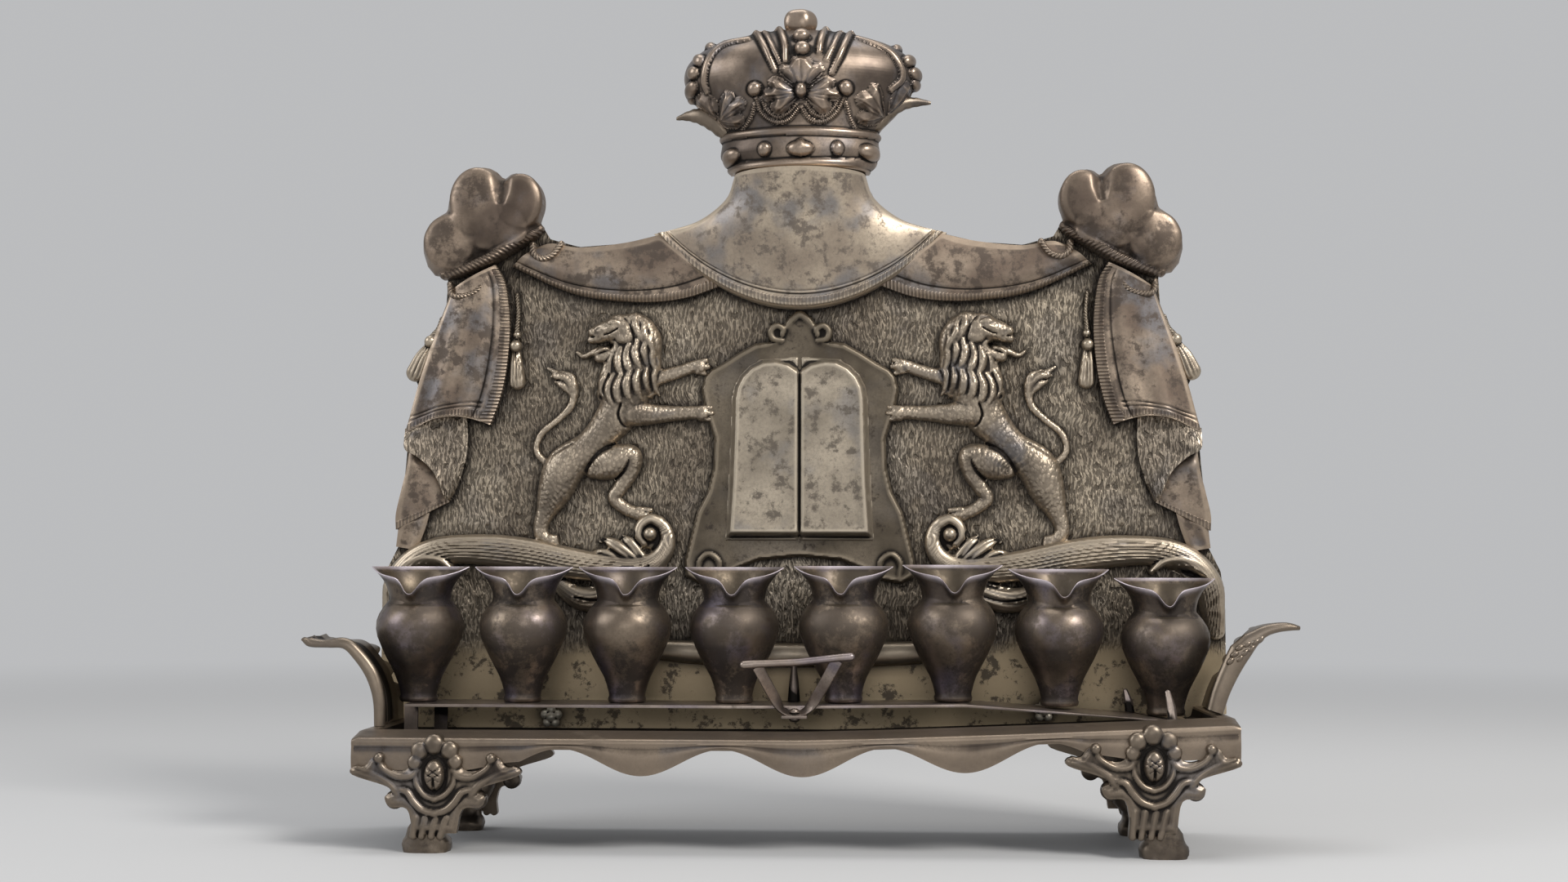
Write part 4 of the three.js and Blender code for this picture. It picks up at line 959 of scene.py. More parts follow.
def ground_effect() -> None:
    """Matted ground: short wavy upright strokes of a chasing tool, with a few deeper nicks."""
    made = effect("matted ground", {"Cover": 1.0}, ("Height", "Mask"))
    if made is None:
        return
    w, given, out = made
    coords = w.coords()
    broad = w.stretched(coords, (60.0, 1.0, 90.0))
    sway = w.put("ShaderNodeTexNoise", {"Vector": broad, "Scale": 1.0, "Detail": 1.0}).outputs["Color"]
    shift = w.put("ShaderNodeVectorMath", {0: sway, 1: (0.0045, 0.0, 0.0)}, operation="MULTIPLY").outputs[0]
    bent = w.put("ShaderNodeVectorMath", {0: coords, 1: shift}, operation="ADD").outputs[0]
    strokes = w.noise(w.stretched(bent, (1450.0, 1.0, 320.0)), 1.0, 1.5, 0.6)
    nicks = w.ramp(w.noise(w.stretched(bent, (620.0, 1.0, 290.0)), 1.0, 0.0), 0.62, 0.72)
    lines = w.ramp(strokes, 0.4, 0.58)
    height = w.less(lines, w.times(nicks, 1.1))
    w.join(w.times(height, given["Cover"]), out["Height"])
    hollow = w.sum("MAXIMUM", w.less(1.0, lines), nicks)
    w.join(w.times(hollow, given["Cover"]), out["Mask"])


def hide_effect() -> None:
    """Small overlapping scale marks that stand for a coat of hair."""
    made = effect("punched coat", {"Scale": 900.0}, ("Height", "Mask"))
    if made is None:
        return
    w, given, out = made
    coords = w.coords()
    cells = w.put("ShaderNodeTexVoronoi", {"Vector": w.stretched(coords, (1.0, 0.0, 0.72), 0.6),
                                          "Scale": given["Scale"]}, feature="F1")
    cell = w.ramp(cells.outputs["Distance"], 0.25, 0.75)
    w.join(w.less(1.0, cell), out["Height"])
    w.join(cell, out["Mask"])


@dataclass(frozen=True)
class SilverFinish:
    """One look of the tarnished silver."""

    name: str
    silver: Colour
    patina: Colour
    tarnish: Colour = (0.05, 0.04, 0.033)
    bloom: Colour = (0.16, 0.17, 0.2)
    blotch_scale: float = 70.0
    blotch_share: float = 0.3
    bloom_share: float = 0.35
    rub: float = 1.0
    grime: float = 1.0
    roughness: float = 0.36
    metallic: float = 0.86
    uneven: float = 0.35
    chasing: Chasing = Chasing.PLAIN
    chasing_depth: float = 0.5
    # Colour of a painted highlight along a jug's lip.
    lip: Colour | None = None

    def material(self) -> Material:
        """Builds the material.

        Returns:
            The material, with the plain values on its own shader.
        """
        tarnish_effect()
        thread_effect()
        material = bpy.data.materials.new(self.name)
        material.use_nodes = True
        material.node_tree.nodes.clear()
        w = Wiring(material.node_tree)
        tone = w.group("aged silver")
        for key, value in {
            "Silver": rgba(self.silver), "Patina": rgba(self.patina), "Tarnish": rgba(self.tarnish),
            "Bloom": rgba(self.bloom), "Blotch Scale": self.blotch_scale, "Blotch Share": self.blotch_share,
            "Rub": self.rub, "Grime": self.grime, "Bloom Share": self.bloom_share,
        }.items():
            tone.inputs[key].default_value = value
        threads = w.group("fine lines")
        colour = w.blend(w.times(threads.outputs["Mask"], 0.6), tone.outputs["Color"], rgba(self.tarnish))
        height = w.plus(w.times(tone.outputs["Height"], self.uneven), threads.outputs["Height"])
        colour, height = self._chase(w, colour, height)
        # Painted highlight in the lip colour along the jug's rim, and a darker brown over its inside, from
        # the lip mark.
        if self.lip:
            mark = w.mark("lip")
            within = w.times(w.times(mark, -1.0, clamp=True), 0.75)
            colour = w.blend(within, colour, JUG_INSIDE)
            colour = w.blend(w.times(mark, 0.8, clamp=True), colour, rgba(self.lip))
        rough = w.plus(tone.outputs["Roughness"], self.roughness)
        bump = w.put("ShaderNodeBump", {"Height": height, "Distance": 0.00035, "Strength": 0.9})
        look = {"Base Color": colour, "Roughness": rough, "Normal": bump.outputs[0],
                "Metallic": self.metallic, "Specular IOR Level": 0.5}
        shader = w.put("ShaderNodeBsdfPrincipled", look)
        w.put("ShaderNodeOutputMaterial", {"Surface": shader.outputs[0]})
        return material

    def _chase(self, w: Wiring, colour: Socket, height: Socket) -> tuple[Socket, Socket]:
        """Adds the finish's punch work, and on the plate the painted shade next to its relief and drapery.

        Args:
            w: Wiring of the material.
            colour: Colour of the metal.
            height: Height of the metal.

        Returns:
            Colour and height with the punch work on them.
        """
        if self.chasing is Chasing.GROUND:
            ground_effect()
            marks = w.group("matted ground")
            coords = w.coords()
            high = w.put("ShaderNodeSeparateXYZ", {0: coords}).outputs["Z"]
            chased = w.ramp(w.plus(high, w.times(w.noise(coords, 60.0, 2.0), 0.01)), 0.063, 0.071)
            plain = w.less(1.0, chased)
            w.join(w.times(chased, w.less(1.0, w.mark("behind"))), marks.inputs["Cover"])
            colour = w.blend(w.times(plain, 0.8), colour, PLAIN_GROUND)
            black = w.ramp(w.noise(coords, 150.0, 9.0, 0.75), 0.53, 0.6)
            colour = w.blend(w.times(w.times(plain, black), 0.85), colour, rgba(self.tarnish))
            colour = w.blend(w.times(marks.outputs["Mask"], 0.68), colour, STROKE_DIRT)
            # Painted shade: the plate darkens towards black next to its relief and drapery, by its shade
            # mark.
            colour = w.blend(w.times(w.mark("shade"), 0.93), colour, DIRT_AND_SHADE_BLACK)
        elif self.chasing is Chasing.HIDE:
            hide_effect()
            marks = w.group("punched coat")
            colour = w.blend(w.times(marks.outputs["Mask"], 0.3), colour, rgba(self.tarnish))
        else:
            return colour, height
        return colour, w.plus(height, w.times(marks.outputs["Height"], self.chasing_depth))


@dataclass(frozen=True)
class Finishes:
    """All finishes of the lamp."""

    bench: Material
    cast: Material
    stud: Material
    plate: Material
    relief: Material
    hide: Material
    drape: Material
    bib: Material
    knot: Material
    matted: Material
    frame: Material
    tablet: Material
    crown: Material
    jug: Material
    rack: Material

    @classmethod
    def make(cls) -> "Finishes":
        """Builds every finish once.

        Returns:
            The finishes, from colours of bright silver, of patina and, where it differs, of tarnish.
        """
        looks = {
            "bench": SilverFinish(
                "bench silver", (0.25, 0.197, 0.148), (0.085, 0.066, 0.053), blotch_share=0.4,
                bloom=(0.09, 0.1, 0.12), bloom_share=0.35, rub=0.8, roughness=0.44, uneven=0.6,
            ),
            "cast": SilverFinish(
                "cast silver", (0.21, 0.168, 0.127), (0.046, 0.036, 0.03), blotch_share=0.4, roughness=0.4,
                rub=0.9, uneven=0.6,
            ),
            "stud": SilverFinish(
                "rosette silver", (0.86, 0.79, 0.65), (0.62, 0.55, 0.43), blotch_share=0.1, roughness=0.4,
                metallic=0.45,
            ),
            "plate": SilverFinish(
                "plate silver", (0.44, 0.37, 0.28), (0.22, 0.18, 0.135), blotch_share=0.25, roughness=0.48,
                chasing=Chasing.GROUND, chasing_depth=0.8, bloom_share=0.15,
            ),
            "relief": SilverFinish(
                "relief silver", (0.42, 0.35, 0.265), (0.155, 0.126, 0.097), blotch_share=0.3,
                roughness=0.42,
            ),
            "hide": SilverFinish(
                "coat silver", (0.44, 0.363, 0.275), (0.15, 0.122, 0.094), blotch_share=0.25,
                chasing=Chasing.HIDE, chasing_depth=0.35, bloom_share=0.5, roughness=0.42,
            ),
            "drape": SilverFinish(
                "drapery silver", (0.38, 0.3, 0.225), (0.16, 0.118, 0.09), (0.085, 0.067, 0.055),
                bloom=(0.13, 0.135, 0.15), bloom_share=0.7, blotch_share=0.56, blotch_scale=190.0,
                roughness=0.44, rub=0.8,
            ),
            "bib": SilverFinish(
                "mantle silver", (0.6, 0.5, 0.38), (0.33, 0.266, 0.205), (0.165, 0.138, 0.115),
                bloom=(0.22, 0.21, 0.21), bloom_share=0.85, blotch_share=0.52, blotch_scale=240.0,
                roughness=0.44, rub=0.8,
            ),
            "knot": SilverFinish(
                "knot silver", (0.29, 0.222, 0.166), (0.095, 0.07, 0.054), (0.06, 0.046, 0.037),
                blotch_share=0.55, blotch_scale=80.0, roughness=0.4, rub=0.5, grime=0.6, uneven=0.9,
            ),
            "matted": SilverFinish(
                "matted silver", (0.42, 0.35, 0.27), (0.17, 0.14, 0.11), blotch_share=0.2,
                chasing=Chasing.GROUND, chasing_depth=0.9, roughness=0.46,
            ),
            "frame": SilverFinish(
                "frame silver", (0.2, 0.164, 0.12), (0.082, 0.066, 0.047), blotch_share=0.4,
                blotch_scale=190.0, bloom_share=0.1, roughness=0.55,
            ),
            "tablet": SilverFinish(
                "tablet silver", (0.42, 0.36, 0.28), (0.23, 0.195, 0.15), (0.13, 0.11, 0.09),
                blotch_share=0.5, blotch_scale=230.0, roughness=0.5,
            ),
            "crown": SilverFinish(
                "crown silver", (0.36, 0.28, 0.215), (0.1, 0.077, 0.062), blotch_share=0.3, roughness=0.38,
                rub=0.9, bloom_share=0.45,
            ),
            # The jug's lip colour is a painted highlight along its rim.
            "jug": SilverFinish(
                "jug silver", (0.23, 0.18, 0.133), (0.075, 0.057, 0.046), (0.04, 0.033, 0.03),
                blotch_share=0.62, blotch_scale=80.0, bloom=(0.13, 0.115, 0.16), bloom_share=0.6,
                roughness=0.38, rub=0.3, grime=0.3, uneven=1.1, lip=(0.75, 0.68, 0.74),
            ),
            "rack": SilverFinish(
                "rack silver", (0.4, 0.33, 0.28), (0.13, 0.1, 0.085), blotch_share=0.3,
                bloom=(0.2, 0.18, 0.25), bloom_share=0.5, roughness=0.34, rub=0.3,
            ),
        }
        return cls(**{key: look.material() for key, look in looks.items()})


# Width over which the lions' forms melt into each other.
HAIR_BLEND = 0.42


def tuft(start: tuple[float, float], lean: float, long: float, wide: float, under: Sequence[Form]) -> Bar:
    """One flame-shaped lock of hair that hangs down over other forms.

    Args:
        start: Pixel of its root.
        lean: How far it leans to the right, in pixels.
        long: Its length, in pixels.
        wide: Its greatest half width, in pixels.
        under: Forms that it lies on.

    Returns:
        The lock.
    """
    x, y = start
    rows = ((x, y, wide * 0.6, -1.5), (x - 0.12 * long + lean, y + 0.35 * long, wide, -1.2),
            (x - 0.1 * long + 2 * lean, y + 0.7 * long, wide * 0.8, -1.4),
            (x + 2 * lean + 2, y + long, 1.2, -1.0))
    places = PLATE.place(*np.array(rows)[:, :2].T)
    least_lift = 3.0
    base = np.clip(blend_forms(under, (), HAIR_BLEND, *places).height / PLATE.across, least_lift, None)
    return Bar(tuple((px, py, half, lift + rise) for (px, py, half, lift), rise in zip(rows, base)))


@dataclass
class Lions:
    """Two rampant lions in relief, turned outward."""

    trunk: Pixels = ((772, 455, 24, 4), (765, 485, 28, 2), (752, 512, 25), (722, 546, 19), (690, 574, 25),
                     (678, 601, 22), (667, 627, 13), (660, 646, 9.5), (662, 659, 9), (674, 666, 8))
    raised_leg: Pixels = ((725, 577, 12, 2), (745, 570, 20, 4), (770, 562, 15, 5), (770, 580, 11, 3),
                          (758, 600, 9.5, 1), (751, 613, 8.5), (766, 626, 8), (783, 632, 8))
    near_leg: Pixels = ((772, 508, 17, 8), (795, 510, 13, 6), (824, 509, 9.5, 3), (850, 508, 8.5, 3),
                        (860, 509, 9, 4))
    far_leg: Pixels = (
        (790, 470, 10, 3), (812, 463, 9, 1), (833, 457, 8, 1), (850, 451, 7.5, 2), (857, 452, 8, 3),
    )
    tail: Pixels = ((674, 576, 4.5, 2), (654, 556, 4, 1), (659, 534, 4), (679, 517, 4), (695, 501, 4.5),
                    (700, 484, 5))
    tail_tip: tuple[Pixels, ...] = (
        ((700, 486, 5), (697, 472, 7, 1), (684, 463, 5), (667, 453, 1.5)),
        ((699, 480, 4, 2), (690, 466, 5, 3), (678, 463, 4, 2), (671, 463, 1)),
        ((697, 484, 4, 1), (686, 474, 5, 2), (677, 470, 2)),
        ((701, 478, 3, 3), (697, 464, 4, 3), (684, 457, 1.5, 1)),
    )
    mane: tuple[Pixels, ...] = (
        ((776, 397, 12, 8), (792, 425, 13, 5), (796, 455, 12, 4), (792, 482, 9, 3)),
        ((762, 405, 12, 12), (777, 440, 14, 10), (776, 470, 13, 8), (780, 490, 8, 6)),
        ((756, 425, 8, 12), (757, 455, 10, 12), (755, 483, 8, 9), (760, 499, 4, 7)),
        ((744, 450, 7, 8), (739, 472, 8, 7), (742, 494, 5, 5)),
    )
    locks: tuple[tuple[float, ...], ...] = (
        (742, 459, -1, 34, 5.5), (751, 463, -0.5, 38, 6), (761, 464, 0, 38, 6), (771, 461, 1, 36, 6),
        (781, 459, 1.5, 34, 6), (791, 456, 2, 34, 5.5), (801, 455, 1.5, 32, 5), (736, 476, -0.5, 20, 4.5),
        (750, 438, 0, 30, 5.5), (760, 430, 1, 36, 6), (770, 426, 1.5, 38, 6), (780, 421, 2, 38, 6),
        (790, 423, 2, 36, 5.5), (799, 428, 2, 34, 5), (777, 392, 5, 34, 5), (787, 399, 5, 34, 5),
        (797, 411, 3, 34, 4.5),
    )
    skull: tuple[Form, ...] = (
        Lump(773, 414, 31, 28, 6, 0.5), Lump(785, 424, 24, 30, 4, 0.6), Lump(756, 402, 17, 15.5, 6, 0.85),
        Bar(((764, 408, 15, 9), (748, 407.5, 14, 9), (736, 409.5, 12.5, 8), (729.5, 412.5, 10.5, 7)), 1.0),
        Lump(723.5, 410, 5.5, 6, 12, 1.1),
        Bar(((721.5, 419, 4.5, 9), (732, 418, 4.5, 11), (742, 416, 4, 12))),
        Bar(((757, 434, 9, 8), (744, 438, 7.5, 8), (732, 440.5, 6.5, 8))),
        Bar(((742, 430, 1.8, 13), (734, 432, 2.2, 14), (727, 436, 2, 13))),
        Bar(((745, 427, 3, 7), (733, 430, 3.2, 8), (724, 434, 3.4, 8), (712, 439, 2.6, 7),
             (704, 434, 1.8, 6))),
        Lump(751, 399, 9, 4.5, 18.5, 0.8),
        Bar(((740, 408, 1.8, 20), (746, 405.5, 2.8, 21.5), (753, 402.5, 1.8, 21.5))),
        Lump(764, 416, 11, 9, 19, 0.5),
    )
    face_lines: tuple[Carving, ...] = (
        Carving(((739, 414, 1.8), (747, 411.5, 2.2), (756, 406.5, 1.8)), 0.7),
        Carving(((721, 415, 1.4), (726, 416, 1.4)), 0.7),
        Carving(((738, 425.5, 3.5), (744, 424.5, 4), (748, 426, 3)), 1.8),
        Carving(((733, 405, 1.5), (729, 407, 1.5)), 0.4),
        Carving(((762, 391, 1.8), (770, 402, 2), (775, 414, 2), (776, 426, 2)), 0.45),
    )
    muscle_lines: tuple[Carving, ...] = (
        Carving(((761, 498, 2), (757, 512, 3), (764, 525, 3), (780, 528, 2)), 0.9),
        Carving(((716, 585, 2), (720, 573, 3), (734, 558, 3), (748, 551, 2)), 0.8),
        Carving(((700, 546, 2), (688, 552, 3), (676, 560, 2)), 0.5),
    )
    toes: tuple[Pixels, ...] = (
        ((660, 659, 4, 2), (652, 668, 3.4, 2)), ((666, 660, 4, 3), (661, 671, 3.5, 3)),
        ((673, 660, 4, 3), (671, 671, 3.5, 3)), ((678, 661, 4, 2), (680, 669, 3.2, 2)),
        ((782, 626, 4, 2), (796, 627, 3.2, 2)), ((782, 631, 4, 3), (795, 634, 3.2, 3)),
        ((779, 636, 4, 1), (789, 639, 3, 1)), ((857, 503, 3.5, 6), (870, 502, 3, 5)),
        ((858, 509, 3.5, 7), (872, 509, 3, 6)), ((857, 515, 3.5, 5), (869, 516, 3, 4)),
        ((853, 447, 3.5, 5), (864, 444, 3, 4)), ((855, 453, 3.5, 5), (866, 452, 3, 4)),
        ((853, 458, 3, 4), (862, 460, 2.8, 3)),
    )

    def forms(self) -> list[Form]:
        """Shapes the left lion.

        Returns:
            All its raised forms.
        """
        limbs = self.trunk, self.raised_leg, self.far_leg, self.near_leg, self.tail
        body = [Bar(row, 0.85) for row in limbs]
        hair = [Bar(row, 0.7) for row in self.mane]
        tips = [Bar(row, 0.9) for row in (*self.tail_tip, *self.toes)]
        under = [*body, *hair, *self.skull]
        return [*under, *tips, *(tuft(row[:2], *row[2:], under) for row in self.locks)]

    def piece(self, side: Side) -> ReliefPiece:
        """Relief of the lion on one side."""
        cuts = (*self.face_lines, *self.muscle_lines)
        return ReliefPiece(f"rampant_lion_{side.word}", self.forms(), cuts, side, cell=0.4, blend=HAIR_BLEND)


@dataclass
class Scrolls:
    """Two great leafy scrolls under the lions."""

    body: Pixels = (
        (806, 641, 8, 3), (815, 652, 8.5, 4), (817, 668, 10, 5), (807, 686, 12, 6), (784, 698, 15, 6),
        (745, 698, 17, 7), (700, 692, 19, 8), (655, 683, 20, 9), (610, 677, 20, 9), (565, 675, 18, 8),
        (530, 679, 18, 7), (502, 693, 18, 6), (484, 717, 18, 5), (479, 745, 15, 5), (476, 770, 12, 4),
    )
    volute: Pixels = (
        (807, 642, 8, 3), (796, 638, 7, 5), (785, 645, 6.5, 6), (782, 657, 6, 7), (788, 667, 5, 6),
    )
    eye: Lump = Lump(796, 656, 8.5, 8.5, 8, 1.0)
    eye_seat: Lump = Lump(797, 658, 16, 17, 1, 0.35)
    under: Pixels = ((808, 692, 9, 5), (785, 713, 13, 5), (748, 730, 16, 6), (715, 735, 15, 6),
                     (690, 722, 11, 5), (676, 706, 7, 4))
    leaves: tuple[Pixels, ...] = (
        ((778, 688, 7, 7), (757, 672, 8, 8), (742, 664, 4, 5), (733, 666, 1.5, 3)),
        ((786, 684, 6, 6), (772, 667, 6, 7), (762, 659, 2, 4)),
        ((766, 696, 7, 8), (742, 681, 7, 8), (722, 680, 2, 5)),
        ((748, 700, 8, 9), (716, 690, 6, 9), (694, 688, 2, 6)),
    )
    lip: Pixels = (
        (552, 700, 4, 16), (538, 688, 4, 18), (515, 686, 4, 18), (494, 694, 4, 15), (481, 707, 3.5, 12),
    )
    hollow: Carving = Carving(((548, 703, 6), (530, 700, 8), (508, 702, 8), (492, 710, 6)), 3.2)
    under_lines: tuple[Carving, ...] = (
        Carving(((800, 702, 2), (770, 724, 2.2), (735, 736, 2.2), (704, 733, 2)), 0.8),
        Carving(((796, 695, 2), (764, 714, 2.2), (728, 722, 2.2), (700, 718, 1.6)), 0.8),
    )

    def piece(self, side: Side) -> ReliefPiece:
        """Relief of the scroll on one side.

        Args:
            side: Left or right.

        Returns:
            The relief.
        """
        forms = [
            Bar(self.under, 0.8, 6, 0.35), Bar(self.body, 0.8, 9, 0.42), self.eye_seat, Bar(self.volute, 0.9),
            self.eye, *(Bar(row, 0.8, 2, 0.4) for row in self.leaves), Bar(self.lip, 0.9),
        ]
        cuts = (self.hollow, *self.under_lines)
        return ReliefPiece(f"leaf_scroll_{side.word}", forms, cuts, side, blend=0.7)


@dataclass
class Knots:
    """Gathered knots of cloth at the upper corners."""

    outline: Pixels = (
        (587, 208), (571, 219), (559, 232), (545, 249), (534, 267), (526, 279), (516, 295), (512, 311),
        (515, 327), (524, 338), (540, 341), (560, 335), (593, 322), (622, 306), (646, 291), (655, 278),
        (660, 262), (659, 247), (652, 233), (641, 222), (629, 215), (618, 215), (610, 219), (603, 212),
        (595, 208),
    )
    lobes: tuple[tuple[float, ...], ...] = (
        (580, 250, 34, 42, 26, 0.3), (634, 250, 28, 34, 26, 0.3), (546, 300, 32, 34, 25, 0.3),
        (604, 284, 40, 28, 25, 0.3),
    )
    cord: Pixels = (
        (537, 339, 5, 12), (560, 334, 6, 21), (593, 321, 6, 26), (622, 305, 6, 25), (646, 290, 6, 18),
        (656, 281, 5, 10),
    )
    valleys: tuple[Carving, ...] = (
        Carving(((611, 210, 10), (611, 222, 14), (612, 236, 13), (611, 250, 8)), 1.2),
        Carving(((520, 284, 11), (538, 279, 15), (556, 282, 14), (572, 292, 10)), 0.35),
    )

    def piece(self, side: Side) -> ReliefPiece:
        """Relief of the knot on one side.

        Args:
            side: Left or right.

        Returns:
            The relief.
        """
        forms = [Tablet(self.outline, 8.2, 8.5, 0.4, domed=True), *(Lump(*row) for row in self.lobes),
                 Bar(self.cord, hatch=1.5, slant=0.6)]
        return ReliefPiece(f"cloth_knot_{side.word}", forms, self.valleys, side, cell=0.5, blend=2.6)


@dataclass
class Tassels:
    """Corded tassels beside the curtains."""

    outer_cord: Pixels = ((534, 392, 3.4, 3), (530, 405, 4, 4), (523, 414, 4.5, 5))
    outer_ball: Lump = Lump(520, 420, 7.5, 7.5, 6, 1.0)
    outer_skirt: Pixels = ((517, 426, 5, 3), (509, 440, 9, 4), (501, 458, 11.5, 3))
    inner_cord: Pixels = ((627, 362, 2.4, 2), (629, 385, 2.6, 2), (628, 402, 3, 3), (628, 414, 4, 4))
    inner_ring: Lump = Lump(628, 412, 5, 4, 4, 1.0)
    inner_ball: Lump = Lump(627, 426, 7.5, 7.5, 6, 1.0)
    inner_skirt: Pixels = ((627, 436, 6, 3), (628, 450, 8, 4), (629, 470, 10, 3))

    def pieces(self, side: Side) -> dict[str, ReliefPiece]:
        """Reliefs of the tassels on one side, by the solid that each stands for.

        Args:
            side: Left or right.

        Returns:
            The outer and the inner one.
        """
        made = {}
        for word, cord, beads, skirt in (
            ("outer", self.outer_cord, (self.outer_ball,), self.outer_skirt),
            ("inner", self.inner_cord, (self.inner_ring, self.inner_ball), self.inner_skirt),
        ):
            forms = [Bar(cord, hatch=1.1, slant=0.8), *beads, Bar(skirt, 0.8, 4, 0.5)]
            name = f"tassel_{word}_drop_{side.word}"
            made[f"tassel_{word}_{side.word}"] = ReliefPiece(name, forms, (), side, cell=0.35, blend=0.4)
        return made


def between(left: Pixels, right: Pixels, u: Array, v: Array, side: Side) -> tuple[Array, Array]:
    """Places between two edges of a hanging cloth.

    Args:
        left: Edge on the left in pixels, from top to bottom.
        right: Edge on the right.
        u: Share from left to right.
        v: Share from top to bottom.
        side: Half of the plate; the right-hand half is turned over.

    Returns:
        X and Z in millimetres.
    """
    if side is Side.RIGHT:
        u = 1 - u
    lines = []
    for edge in (left, right):
        line = smooth_line(edge, 8)
        at = v * (len(line) - 1)
        lines.append([np.interp(at, np.arange(len(line)), line[:, k]) for k in range(2)])
    px = lines[0][0] + (lines[1][0] - lines[0][0]) * u
    py = lines[0][1] + (lines[1][1] - lines[0][1]) * u
    x, z = PLATE.place(px, py)
    return (x if side is Side.LEFT else -x), z


# Distance between the threads of a curtain's fringe, and between those of the bib and the swags.
THREAD_PITCH = 1.2
BROAD_PITCH = 1.25


def ridge(value: Array, centre: float, width: float) -> Array:
    """Narrow rounded ridge of height 1 across a share."""
    return np.exp(-(((value - centre) / width) ** 2))


@dataclass(frozen=True)
class Fold:
    """Lower fold of a curtain between two edges, fullest at a share of its width."""

    outer: Pixels
    inner: Pixels
    lip: float
    full: float
    crest: float = 0.3
    hem: float | None = None

    def shape(self, side: Side, u: Array, v: Array) -> tuple[Array, ...]:
        """Surface of the fold, as add_sheet takes it.

        Args:
            side: Left or right.
            u: Share from left to right.
            v: Share from top to bottom.

        Returns:
            X, Y, Z, and the run and mask of fine lines.
        """
        x, z = between(self.outer, self.inner, u, v, side)
        w = u if side is Side.LEFT else 1 - u
        swell = np.cos(0.5 * np.pi * np.abs(w - self.crest) / max(self.crest, 1 - self.crest))
        height = self.lip + self.full * swell * (0.45 + 0.55 * soft_step(v / 0.25)) * (1 - 0.35 * v)
        height = height + 0.35 * np.sin(7 * w + 2 * v) * swell
        fringe = np.zeros(u.shape) if self.hem is None else soft_step((v - self.hem) / 0.03)
        return x, PLATE.front - height, z, np.abs(x) / THREAD_PITCH + 0.3 * v, fringe


